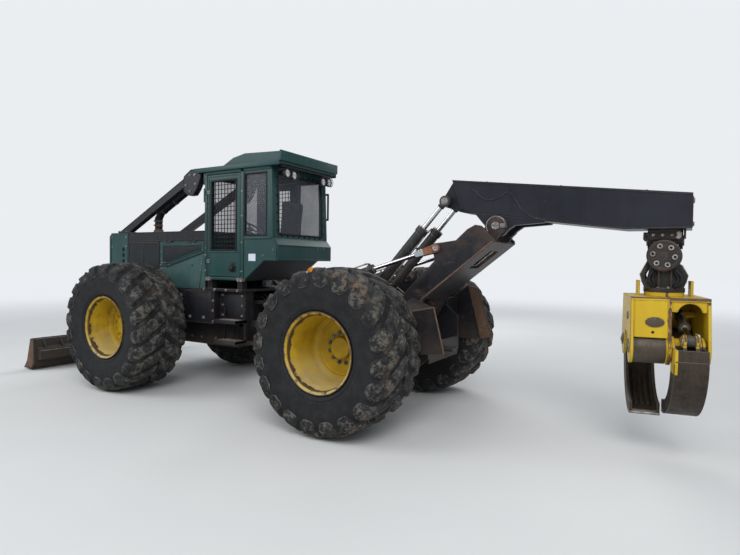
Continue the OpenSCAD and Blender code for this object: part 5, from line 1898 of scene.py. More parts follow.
@dataclass
class EngineBay:
    """The hood, its doors and screens, the radiator housing, the guard beams and the exhaust."""

    half: float = 0.58
    rear: float = 2.735
    split: float = 4.52
    front: float = 5.0
    top: float = 2.27
    band: float = 2.13

    def rim(self, name: str, outline: Sequence[Pair], width: float, depth: float) -> Piece:
        """Makes a thin raised rim that follows an outline on the left side.

        Args:
            name: The piece's name.
            outline: The rim's outer corners.
            width: How wide the rim is.
            depth: How far it stands out.

        Returns:
            The rim.
        """
        return frame_of(plate(name, outline, self.half - 0.002, self.half + depth, Axis.Y, 0.0), Axis.Y,
            width, 0.0015)

    def doors(self) -> None:
        """Builds each engine door's rim, dark mesh field, rivets and two latches."""
        door = [(2.757, 1.966), (3.559, 1.748), (3.736, 1.748), (3.736, 2.108), (2.757, 2.108)]
        field_line = [(2.825, 1.985), (3.585, 1.78), (3.662, 1.78), (3.662, 2.078), (2.825, 2.078)]
        for side in Side:
            body = f"engine_door_{side.name.lower()}"
            rims = joined("rims", [self.rim("outer", door, 0.01, 0.004),
                self.rim("inner", field_line, 0.016, 0.007)])
            screen = plate("screen", field_line, self.half + 0.0005, self.half + 0.0025, Axis.Y, 0.0004)
            hooks = []
            for x in (3.52, 3.7):
                hooks.append(block("plate", at(x - 0.02, self.half, 1.756),
                    at(x + 0.02, self.half + 0.008, 1.776), 0.002))
                hooks.append(drum("turn", at(x, self.half + 0.006, 1.766), at(x, self.half + 0.018, 1.766),
                    0.009, 0.002, 20))
            hooks.append(pipe("pull", [at(3.56, self.half + 0.002, 1.8), at(3.56, self.half + 0.03, 1.806),
                at(3.66, self.half + 0.03, 1.806),
                at(3.66, self.half + 0.002, 1.8)], 0.0045, 3, False))
            latches = joined("latches", hooks)
            heads = [facing(at(x, self.half, 2.093), LEFT, x) for x in (2.79, 3.0, 3.22, 3.44, 3.7)]
            heads += [facing(at(3.7, self.half, z), LEFT, z) for z in (1.86, 1.97)]
            heads += [facing(at(2.79, self.half, 2.0), LEFT)]
            rivets = Fastener(0.011, 0.005).row("rivets", heads)
            for piece, finish in ((rims, Finish.GREEN), (screen, Finish.SCREEN), (latches, Finish.BOLT),
                (rivets, Finish.BOLT)):
                piece.name = f"{body}_{piece.name}"
                hand_over(piece if side is Side.LEFT else placed(piece, MIRROR), body, finish, 30.0)

    def side_panels(self) -> None:
        """Builds the pale panel's seam, bolts and hole, the hole as a black disc of painted shade, and the side
        screen's frame.
        """
        h = self.half
        seam = plate("panel_seam", [(2.772, 1.93), (2.76, 1.93), (2.846, 1.424), (2.86, 1.424)], h - 0.001,
            h + 0.003, Axis.Y, 0.001)
        low = block("low_fold", at(2.862, h - 0.002, 1.424), at(3.73, h + 0.006, 1.44), 0.002)
        front = block("front_fold", at(3.727, h - 0.002, 1.44), at(3.741, h + 0.005, 1.736), 0.002)
        upper = plate("upper_fold", [(2.765, 1.942), (3.556, 1.727), (3.556, 1.737), (2.765, 1.953)],
            h - 0.002, h + 0.004, Axis.Y, 0.001)
        give_both("side_panel_folds", [joined("folds", [seam, low, front, upper])], "front", Finish.GREEN,
            30.0)
        # The hole is a thin black disc of painted shade.
        hole = drum("panel_hole", at(3.006, h - 0.001, 1.767), at(3.006, h + 0.0012, 1.767), 0.016, 0.0004,
            24)
        grommet = drum("panel_grommet", at(2.9, h - 0.001, 1.546), at(2.9, h + 0.004, 1.546), 0.012, 0.001,
            20)
        give_both("side_panel_holes", [hole, grommet], "front", Finish.GASKET, 30.0)
        heads = [facing(at(x, h + 0.003, z), LEFT, x) for x, z in
            ((2.9, 1.546), (2.822, 1.7), (2.805, 1.79), (3.7, 1.47), (3.7, 1.7), (3.3, 1.47),
                (3.05, 1.47))]
        bolt_both("side_panel_bolts", 0.015, 0.007, heads, "front")
        outline = [(3.758, 1.44), (4.508, 1.44), (4.508, 2.118), (3.758, 2.118)]
        frames = [
            self.rim("screen_rim", outline, 0.018, 0.006),
            block("bar", at(4.128, h - 0.002, 1.45), at(4.14, h + 0.005, 2.11), 0.002),
            block("band_lip_low", at(self.rear + 0.004, h - 0.002, 2.131), at(self.split, h + 0.006, 2.141),
                0.002),
        ]
        give_both("side_screen_rims", frames, "front", Finish.BLACK, 30.0)
        lips = [
            block("band_lip", at(self.rear + 0.004, h - 0.016, 2.262), at(self.split, h + 0.007, 2.276),
                0.004),
        ]
        give_both("hood_edge_lips", lips, "front", Finish.BLACK, 40.0)

    def hood_top(self) -> None:
        """Builds the hood's pressed ribs, seams, hatch, collar and bolts."""
        t = self.top
        parts = [
            block("seam_rear", at(3.3, -0.572, t - 0.001), at(3.312, 0.572, t + 0.003), 0.001),
            block("seam_front", at(4.06 - 0.32, -0.572, t - 0.001), at(4.072 - 0.32, 0.572, t + 0.003),
                0.001),
            block("hatch", at(3.42, -0.3, t - 0.001), at(3.66, -0.02, t + 0.012), 0.004),
            drum("cap_foot", at(4.3, -0.22, t - 0.001), at(4.3, -0.22, t + 0.02), 0.075, 0.004, 40, 0.012),
        ]
        for y in (-0.34, -0.17, 0.0, 0.17, 0.34):
            parts.append(plate("rib",
                [(2.83, t - 0.002), (3.24, t - 0.002), (3.22, t + 0.007), (2.85, t + 0.007)],
                y - 0.014, y + 0.014, Axis.Y, 0.003))
        for end in (2.748, 4.5):
            parts.append(block("end_fold", at(end, -0.574, t - 0.001), at(end + 0.012, 0.574, t + 0.005),
                0.002))
        give("hood_top_panels", parts, "front", Finish.BLACK_CLEAN)
        heads = [facing(at(x, y, t), UP, x * 9 + y) for x in (2.79, 3.27, 3.36, 3.7, 3.8, 4.44)
            for y in (-0.52, 0.0, 0.52)]
        cap = [
            drum("cap", at(4.3, -0.22, t + 0.018), at(4.3, -0.22, t + 0.052), 0.052, 0.006, 36, 0.008),
            block("cap_bar", at(4.245, -0.232, t + 0.048), at(4.355, -0.208, t + 0.062), 0.004),
        ]
        bolts = Fastener(0.018, 0.008).row("bolts", heads)
        give("hood_top_bolts", [bolts, *cap], "front", Finish.BOLT, 30.0)

    def housing(self) -> None:
        """Builds the radiator housing's corner posts, notch rims, bolts, seams, front grille frame and radiator
        core.
        """
        h = self.half
        parts = [
            block("rear_post", at(self.split + 0.002, h - 0.002, 1.424),
                at(self.split + 0.026, h + 0.008, 2.262), 0.003),
            block("front_post", at(4.962, h - 0.002, 1.424), at(4.998, h + 0.01, 2.222), 0.004),
            block("low_fold", at(self.split + 0.028, h - 0.002, 1.424), at(4.96, h + 0.008, 1.446), 0.003),
            block("top_fold", at(self.split + 0.028, h - 0.01, 2.246), at(4.95, h + 0.006, 2.273), 0.004),
            block("waist", at(self.split + 0.03, h - 0.002, 1.716), at(4.96, h + 0.004, 1.728), 0.0015),
        ]
        for z in (1.785, 1.88, 1.975):
            outline = [(4.607, z - 0.008), (4.668, z - 0.008), (4.668, z + 0.068), (4.607, z + 0.068)]
            parts.append(self.rim("notch", outline, 0.009, 0.005))
        give_both("housing_folds", parts, "front", Finish.GREEN)
        heads = [facing(at(x, h, z), LEFT, x + z) for x in (4.57, 4.93) for z in (1.5, 1.66, 1.78, 2.05, 2.2)]
        heads += [facing(at(x, h, 1.47), LEFT, x) for x in (4.68, 4.8)]
        bolt_both("housing_bolts", 0.018, 0.008, heads, "front")
        frame_line = [(-0.555, 1.44), (0.555, 1.44), (0.555, 2.2), (-0.555, 2.2)]
        grille = frame_of(plate("grille_frame", frame_line, 4.998, 5.012, Axis.X, 0.0), Axis.X, 0.034, 0.003)
        bars = [pipe("bar", [at(5.004, y, 1.46), at(5.004, y, 2.18)], 0.007, 3, False)
            for y in (-0.36, -0.18, 0.0, 0.18, 0.36)]
        core = [block("core", at(4.56, -0.5, 1.5), at(4.64, 0.5, 2.16), 0.006)]
        give("grille_frame", [grille, *bars], "front", Finish.BLACK)
        for step in range(24):
            y = -0.49 + step * 0.98 / 23
            core.append(block("fin", at(4.638, y - 0.004, 1.51), at(4.652, y + 0.004, 2.15), 0.001))
        give("radiator_core", core, "front", Finish.ENGINE)

    def beams(self) -> None:
        """Builds the guard beams' worn top edges, gusset welds, and bolts on the gussets and foot plates."""
        low, high = Vector((4.716, 2.284)), Vector((3.196, 3.036))
        run = (high - low).normalized()
        up = Vector((run.y, -run.x))
        a, b = low + up * 0.001, high + up * 0.001
        cap = plate("cap", [tuple(a), tuple(b), tuple(b + up * 0.006), tuple(a + up * 0.006)], 0.486, 0.589,
            Axis.Y, 0.002)
        parts = [cap]
        gusset = [(2.905, 3.15), (2.975, 3.168), (3.035, 3.168), (3.176, 3.084), (3.2, 3.02), (3.18, 2.864),
            (3.082, 2.801), (2.99, 2.806),
            (2.922, 2.884), (2.87, 2.974), (2.842, 3.052)]
        for (x0, z0), (x1, z1) in zip(gusset, gusset[1:]):
            parts.append(pipe("edge_weld", [at(x0, 0.584, z0), at(x1, 0.584, z1)], 0.0055, 2, False))
        give_both("beam_edges", parts, "front", Finish.BLACK)
        heads = [facing(at(x, 0.583, z), LEFT, x * 7)
            for x, z in ((2.95, 3.09), (3.06, 3.09), (2.93, 2.96), (3.05, 2.86), (3.14, 2.95))]
        heads += [facing(at(x, y, 2.29), UP, x) for x in (4.552, 4.748) for y in (0.484, 0.58)]
        bolt_both("beam_bolts", 0.026, 0.013, heads, "front")

    def exhaust(self) -> None:
        """Builds the exhaust's collar, clamps and open end."""
        foot = at(4.085, 0.33, 2.27)
        collar = [(0.058, 0.06), (0.07, 0.058), (0.074, 0.03), (0.096, 0.018), (0.118, 0.012), (0.12, 0.0)]
        parts = [turned("collar", collar, foot, Axis.Z, 48)]
        bend, elbow, top = at(4.085, 0.33, 2.5), at(4.02, 0.33, 2.6), at(3.33, 0.33, 2.948)
        for start, end, shares in ((foot, bend, (0.55, 0.85)), (elbow, top, (0.1, 0.5, 0.93))):
            run = (end - start).normalized()
            for share in shares:
                middle = start.lerp(end, share)
                parts.append(drum("clamp", middle - run * 0.014, middle + run * 0.014, 0.063, 0.003, 40))
                parts.append(block("clamp_ear", middle + Vector((-0.012, 0.058, -0.012)),
                    middle + Vector((0.012, 0.088, 0.012)), 0.003))
        run = (top - elbow).normalized()
        parts.append(drum("lip", top - run * 0.01, top + run * 0.016, 0.062, 0.003, 40, 0.006))
        give("exhaust_clamps", parts, "front", Finish.RUSTY, 40.0)
        # A black disc across the mouth: soot inside the pipe and painted shade for its dark inside.
        soot_and_shade = drum("exhaust_mouth", top + run * 0.0135, top + run * 0.0165, 0.05, 0.001, 40)
        hand_over(soot_and_shade, "front", Finish.GASKET, 40.0)

    def build(self) -> None:
        """Builds everything ahead of the cab."""
        self.doors()
        self.side_panels()
        self.hood_top()
        self.housing()
        self.beams()
        self.exhaust()


@dataclass
class Chassis:
    """The front and rear frames' boxes, steps, pin caps, bolts, ribs, hoses and the two guards."""


    def steps(self) -> None:
        """Builds the step brackets and their toothed treads on both sides."""
        parts, treads = [], []
        for z in (0.72, 1.0):
            parts.append(block("front_lip", at(1.93, 0.772, z - 0.012), at(2.33, 0.786, z + 0.04), 0.003))
            for x in (1.93, 2.322):
                parts.append(block("end_lip", at(x, 0.56, z - 0.01), at(x + 0.008, 0.78, z + 0.038), 0.002))
            for row in range(5):
                y = 0.585 + row * 0.042
                teeth = []
                for index in range(19):
                    x = 1.944 + index * 0.02
                    teeth += [(x, z + 0.024), (x + 0.005, z + 0.033), (x + 0.013, z + 0.033)]
                teeth.append((1.944 + 19 * 0.02, z + 0.024))
                treads.append(plate("tooth_row", teeth, y, y + 0.007, Axis.Y, 0.0))
        parts.append(block("hanger", at(1.936, 0.588, 0.745), at(1.958, 0.6, 1.175), 0.002))
        parts.append(block("hanger_front", at(2.306, 0.588, 0.745), at(2.328, 0.6, 1.175), 0.002))
        give_both("step_frames", parts, "front", Finish.BLACK, 30.0)
        give_both("step_treads", treads, "front", Finish.BARE, 20.0)

    def boxes(self) -> None:
        """Builds the side boxes' lids, hinges, latches, caps, ribs and bolts."""
        lid = [
            block("lid", at(2.47, 0.689, 1.01), at(3.06, 0.7, 1.39), 0.004),
            block("lid_lip", at(2.462, 0.689, 1.384), at(3.068, 0.706, 1.398), 0.003),
            block("rear_lid", at(1.99, 0.559, 1.06), at(2.4, 0.568, 1.38), 0.004),
            block("deck_lip", at(1.935, 0.654, 1.418), at(2.73, 0.668, 1.456), 0.003),
            block("box_rib", at(2.44, 0.56, 0.955), at(3.155, 0.7, 0.968), 0.003),
        ]
        for x in (2.6, 2.93):
            lid.append(drum("hinge", at(x - 0.04, 0.7, 1.404), at(x + 0.04, 0.7, 1.404), 0.01, 0.002, 20))
        give_both("side_box_lids", lid, "front", Finish.BLACK, 30.0)
        fittings = []
        for x in (2.62, 2.9):
            fittings.append(block("latch", at(x - 0.022, 0.7, 1.016), at(x + 0.022, 0.712, 1.06), 0.003))
            fittings.append(pipe("pull",
                [at(x - 0.014, 0.711, 1.044), at(x, 0.728, 1.036), at(x + 0.014, 0.711, 1.044)], 0.003))
        fittings.append(drum("cap", at(3.11, 0.69, 1.33), at(3.11, 0.722, 1.33), 0.036, 0.004, 32, 0.008))
        give_both("side_box_fittings", fittings, "front", Finish.BOLT, 30.0)
        heads = [facing(at(x, 0.568, z), LEFT, x + z) for x in (2.01, 2.38) for z in (1.08, 1.22, 1.36)]
        heads += [facing(at(x, 0.69, z), LEFT, x * 3) for x in (2.447, 3.086) for z in (0.99, 1.14, 1.28)]
        heads += [facing(at(x, 0.668, 1.437), LEFT, x) for x in (2.0, 2.22, 2.44, 2.66)]
        heads += [facing(at(x, 0.4, z), LEFT, x) for x in (3.24, 3.38, 3.94, 4.08, 4.3, 4.7, 4.88)
            for z in (1.28, 1.37)]
        heads += [facing(at(x, 0.4, 0.7), LEFT, x) for x in (2.4, 2.7, 3.0, 3.2)]
        bolt_both("front_frame_bolts", 0.024, 0.011, heads, "front")

    def hitch(self) -> None:
        """Builds the hinge pins' bolted caps and the steering hoses."""
        caps = []
        for z, way in ((1.325, 1), (0.625, -1)):
            caps.append(drum("cap", at(1.83, 0, z - 0.002 * way), at(1.83, 0, z + 0.022 * way), 0.085, 0.004,
                48, 0.012))
        give("hitch_caps", caps, "front", Finish.BLACK)
        heads = []
        for z, way in ((1.347, 1), (0.603, -1)):
            for index in range(6):
                angle = math.tau * index / 6
                heads.append(facing(at(1.83 + 0.058 * math.cos(angle), 0.058 * math.sin(angle), z),
                    Vector((0, 0, way)), angle))
        hand_over(Fastener(0.019, 0.01).row("hitch_bolts", heads), "front", Finish.BOLT, 30.0)
        hoses = []
        for index, (y, z) in enumerate(((0.11, 1.34), (0.15, 1.37), (0.19, 1.34), (-0.13, 1.34),
            (-0.17, 1.37))):
            sign = 1 if y > 0 else -1
            hoses.append(pipe("hose", [
                at(2.26, y * 0.8, 1.405), at(2.1, y * 0.85, 1.39 - 0.01 * index),
                at(1.96, y, z - 0.015 * index),
                at(1.9, y + 0.04 * sign, 1.3 - 0.01 * index), at(1.935, y + 0.06 * sign, 1.2),
            ], 0.014, 4))
        give("hitch_hoses_front", hoses, "front", Finish.HOSE, 60.0)
        rear = []
        for index, y in enumerate((0.1, 0.16, 0.22, -0.1, -0.18)):
            rear.append(pipe("hose", [
                at(1.36, y, 1.6), at(1.44, y, 1.59 - 0.02 * index), at(1.5, y * 1.1, 1.48),
                at(1.48, y * 1.15, 1.36),
                at(1.4, y * 1.1, 1.315),
            ], 0.014, 4))
            rear.append(drum("ferrule", at(1.36, y, 1.6), at(1.405, y, 1.598), 0.019, 0.002, 20))
        give("hitch_hoses_rear", rear, "rear", Finish.HOSE, 60.0)

    def valve_box(self) -> None:
        """Builds the valve box behind the cab with its lid, spools and pipes."""
        parts = [
            block("lid", at(1.095, -0.336, 1.655), at(1.365, 0.336, 1.675), 0.004),
            block("foot", at(1.08, -0.345, 1.3), at(1.38, 0.345, 1.318), 0.004),
        ]
        for y in (-0.24, -0.12, 0.0, 0.12, 0.24):
            parts.append(block("section", at(1.07, y - 0.045, 1.36), at(1.102, y + 0.045, 1.56), 0.006))
        give("valve_box_trim", parts, "rear", Finish.BLACK)
        spools = []
        for y in (-0.24, -0.12, 0.0, 0.12, 0.24):
            spools.append(drum("spool", at(1.074, y, 1.5), at(1.036, y, 1.5), 0.02, 0.003, 24, 0.004))
            spools.append(drum("port", at(1.074, y, 1.41), at(1.04, y, 1.41), 0.015, 0.002, 6))
        give("valve_spools", spools, "rear", Finish.BOLT)
        lines = []
        for index, y in enumerate((-0.24, -0.12, 0.0, 0.12, 0.24)):
            aside = math.copysign(0.38 - abs(y) * 0.1, y if y else 1)
            lines.append(pipe("line", [
                at(1.044, y, 1.41), at(0.98, y, 1.4), at(0.93, y * 0.9 + aside * 0.1, 1.345 + 0.01 * index),
                at(0.8, aside * 0.85, 1.325), at(0.64, aside * 0.9, 1.32),
            ], 0.011, 3))
        give("valve_lines", lines, "rear", Finish.HOSE, 60.0)

    def rear_details(self) -> None:
        """Builds the rear frame's pin caps, ribs, edge strips, arch cheek and bolts."""
        h = 0.46
        parts = [
            block("top_strip", at(0.11, h - 0.004, 1.29), at(1.4, h + 0.012, 1.306), 0.004),
            block("low_strip", at(-0.59, h - 0.004, 0.62), at(1.4, h + 0.012, 0.634), 0.004),
            plate("arch_cheek", [(-0.5, 1.15), (-0.46, 1.04), (-0.35, 0.99), (-0.24, 1.04), (-0.2, 1.15),
                (-0.24, 1.26),
                (-0.35, 1.31), (-0.46, 1.26)], h - 0.002, h + 0.016, Axis.Y, 0.005),
            block("rib", at(0.6, h - 0.002, 0.66), at(0.64, h + 0.03, 1.26), 0.005),
            block("rib_front", at(1.1, h - 0.002, 0.66), at(1.14, h + 0.03, 1.26), 0.005),
        ]
        give_both("rear_frame_ribs", parts, "rear", Finish.BLACK, 30.0)
        caps = [
            drum("arch_pin_cap", at(-0.35, h + 0.012, 1.15), at(-0.35, h + 0.034, 1.15), 0.08, 0.005, 48,
                0.014),
            block("pin_keeper", at(-0.47, h + 0.014, 1.12), at(-0.405, h + 0.028, 1.18), 0.004),
        ]
        for y in (0.315, 0.452):
            caps.append(drum("cap", at(1.0, y, 1.472), at(1.0, y + 0.01, 1.472), 0.046, 0.003, 36, 0.008))
        heads = [facing(at(-0.35 + 0.058 * math.cos(a), h + 0.034, 1.15 + 0.058 * math.sin(a)), LEFT, a)
            for a in (math.tau * step / 6 for step in range(6))]
        heads += [facing(at(x, h, z), LEFT, x * 3 + z) for x in (-0.19, 0.19)
            for z in (0.74, 0.86, 1.0, 1.12)]
        heads += [facing(at(x, h, 1.22), LEFT, x) for x in (0.72, 0.9, 1.26)]
        bolts = Fastener(0.024, 0.012).row("bolts", heads)
        give_both("rear_frame_bolts", [bolts, *caps], "rear", Finish.BOLT, 30.0)

    def guards(self) -> None:
        """Builds the worn edge strips and seams of the two rear guards."""
        y = 0.79
        left = [(-1.09, 0.895), (-0.967, 1.378), (-0.56, 1.29), (-0.42, 1.15)]
        edges = [pipe("edge", [at(x0, y - 0.004, z0), at(x1, y - 0.004, z1)], 0.009, 2, False)
            for (x0, z0), (x1, z1) in zip(left, left[1:])]
        edges.append(block("seam", at(-0.6, y - 0.002, 0.88), at(-0.586, y + 0.005, 1.28), 0.002))
        give("left_guard_edges", edges, "rear", Finish.RUSTY)
        right = [(-1.09, 0.895), (-0.897, 1.524), (-0.769, 1.566), (-0.42, 1.3)]
        edges = [pipe("edge", [at(x0, -y + 0.004, z0), at(x1, -y + 0.004, z1)], 0.009, 2, False)
            for (x0, z0), (x1, z1) in zip(right, right[1:])]
        give("right_guard_edges", edges, "rear", Finish.RUSTY)
        strip = plate("right_guard_strip", [(-1.086, 0.905), (-0.894, 1.52), (-0.77, 1.56), (-0.953, 0.87)],
            -y + 0.0455, -y + 0.049, Axis.Y, 0.001)
        hand_over(strip, "rear", Finish.RUSTY)
        heads = [facing(at(x, y, z), LEFT, x)
            for x, z in ((-0.52, 0.92), (-0.52, 1.12), (-0.66, 0.92), (-0.66, 1.12))]
        bolt_both("guard_bolts", 0.028, 0.013, heads, "rear")

    def front_cover(self) -> None:
        """Builds the nose plate, the blade pins' caps and the orange filter behind the cab."""
        parts = [
            block("nose_plate", at(4.948, -0.36, 1.295), at(4.958, 0.36, 1.415), 0.003),
            block("rail_lip", at(3.3, 0.398, 1.396), at(4.94, 0.412, 1.424), 0.004),
        ]
        give("nose_trim", [parts[0], both_sides("lips", parts[1])], "front", Finish.BLACK, 30.0)
        caps = [drum("blade_pin_cap", at(4.35, 0.498, 0.72), at(4.35, 0.516, 0.72), 0.07, 0.005, 40, 0.012)]
        give_both("blade_pin_caps", [caps[0]], "front", Finish.BOLT)
        bottle = [(0.0, 0.2), (0.022, 0.198), (0.04, 0.184), (0.046, 0.16), (0.048, 0.02), (0.052, 0.014),
            (0.052, 0.0), (0.0, 0.0)]
        hand_over(turned("filter_bowl", bottle, at(1.16, -0.02, 1.722), Axis.Y, 40), "rear", Finish.ORANGE,
            40.0)

    def build(self) -> None:
        """Builds every frame detail."""
        self.steps()
        self.boxes()
        self.hitch()
        self.valve_box()
        self.rear_details()
        self.guards()
        self.front_cover()


@dataclass(frozen=True)
class Ram:
    """A hydraulic cylinder between two pins, and the bodies that its halves ride on."""

    name: str
    base: Triple
    eye: Triple
    radius: float
    rod_radius: float
    length: float
    pin_axis: Triple = (0.0, 1.0, 0.0)
    eye_radius: float = 0.0
    port_angle: float = 35.0
    port_reach: float = 1.0
    paired: bool = True
    place: Matrix | None = None

    @property
    def run(self) -> Vector:
        """The direction from the base pin to the rod's eye."""
        return (at(*self.eye) - at(*self.base)).normalized()

    @property
    def out(self) -> Vector:
        """The side of the barrel that the ports stand on."""
        run = self.run
        up = (UP - run * run.z).normalized()
        return Matrix.Rotation(math.radians(self.port_angle), 3, run) @ up

    def point(self, along: float, lift: float = 0.0) -> Vector:
        """Returns a point on the centre line, moved towards the ports by lift."""
        return at(*self.base) + self.run * along + self.out * lift

    def ring(self, along: float, width: float, radius: float, bevel: float = 0.0025) -> Piece:
        """Returns a band around the cylinder."""
        return drum("ring", self.point(along), self.point(along + width), radius, bevel, 48)

    def finished(self, name: str, parts: Sequence[Piece], body: str, finish: Finish) -> None:
        """Joins, mirrors, places and hands over one set of shapes.

        Args:
            name: The joined piece's name.
            parts: The shapes.
            body: The body that it rides on.
            finish: Its finish.
        """
        piece = joined(f"{self.name}_{name}", parts)
        if self.paired:
            piece = both_sides(f"{self.name}_{name}", piece)
        if self.place is not None:
            placed(piece, self.place)
        hand_over(piece, body, finish)

    def build(self, barrel_body: str, rod_body: str) -> None:
        """Builds the gland, ports, line and clamps, and the rod's eye with its bushes where an eye radius is
        given.

        Args:
            barrel_body: The body of the barrel.
            rod_body: The body of the rod.
        """
        r, end = self.radius, self.length
        low, high = 0.15, end * self.port_reach - 0.036
        dark = [
            self.ring(end - 0.072, 0.074, r + 0.0095, 0.004),
            self.ring(0.1, 0.012, r + 0.003),
            self.ring(end * 0.36, 0.02, r + 0.003),
            self.ring(end * 0.66, 0.02, r + 0.003),
            drum("low_port", self.point(low, r - 0.01), self.point(low, r + 0.024), 0.019, 0.003, 28),
            drum("high_port", self.point(high, r), self.point(high, r + 0.028), 0.019, 0.003, 28),
        ]
        for share in (0.36, 0.66):
            if end * share < high:
                dark.append(drum("strap", self.point(end * share, r), self.point(end * share, r + 0.034),
                    0.012, 0.003, 20))
        self.finished("gland", dark, barrel_body, Finish.BARREL)
        line = [
            pipe("line", [
                self.point(low, r + 0.012), self.point(low, r + 0.03), self.point(low + 0.03, r + 0.036),
                self.point(high - 0.03, r + 0.036), self.point(high, r + 0.034), self.point(high, r + 0.02),
            ], 0.0085, 4, False),
            drum("low_nut", self.point(low + 0.026, r + 0.036), self.point(low + 0.05, r + 0.036), 0.014,
                0.002, 6),
            drum("high_nut", self.point(high - 0.052, r + 0.036), self.point(high - 0.028, r + 0.036), 0.014,
                0.002, 6),
            self.ring(end + 0.002, 0.007, self.rod_radius + 0.01, 0.002),
            self.ring(end - 0.078, 0.006, r + 0.0045, 0.001),
        ]
        self.finished("line", line, barrel_body, Finish.BARE)
        axis = Vector(self.pin_axis)
        caps = []
        if self.eye_radius > 0:
            eye = at(*self.eye)
            shell = drum("eye_shell", eye - axis * 0.0325, eye + axis * 0.0325, self.eye_radius + 0.002,
                0.004, 56)
            neck = drum("neck", eye - self.run * (self.eye_radius + 0.03),
                eye - self.run * (self.eye_radius - 0.012),
                self.rod_radius + 0.009, 0.004, 40)
            self.finished("eye", [shell, neck], rod_body, Finish.BARREL)
            for sense in (1, -1):
                face = eye + axis * 0.0325 * sense
                caps.append(drum("bush", face, face + axis * 0.0025 * sense, self.eye_radius * 0.66, 0.001,
                    40))
            self.finished("bush", caps, rod_body, Finish.BARE)


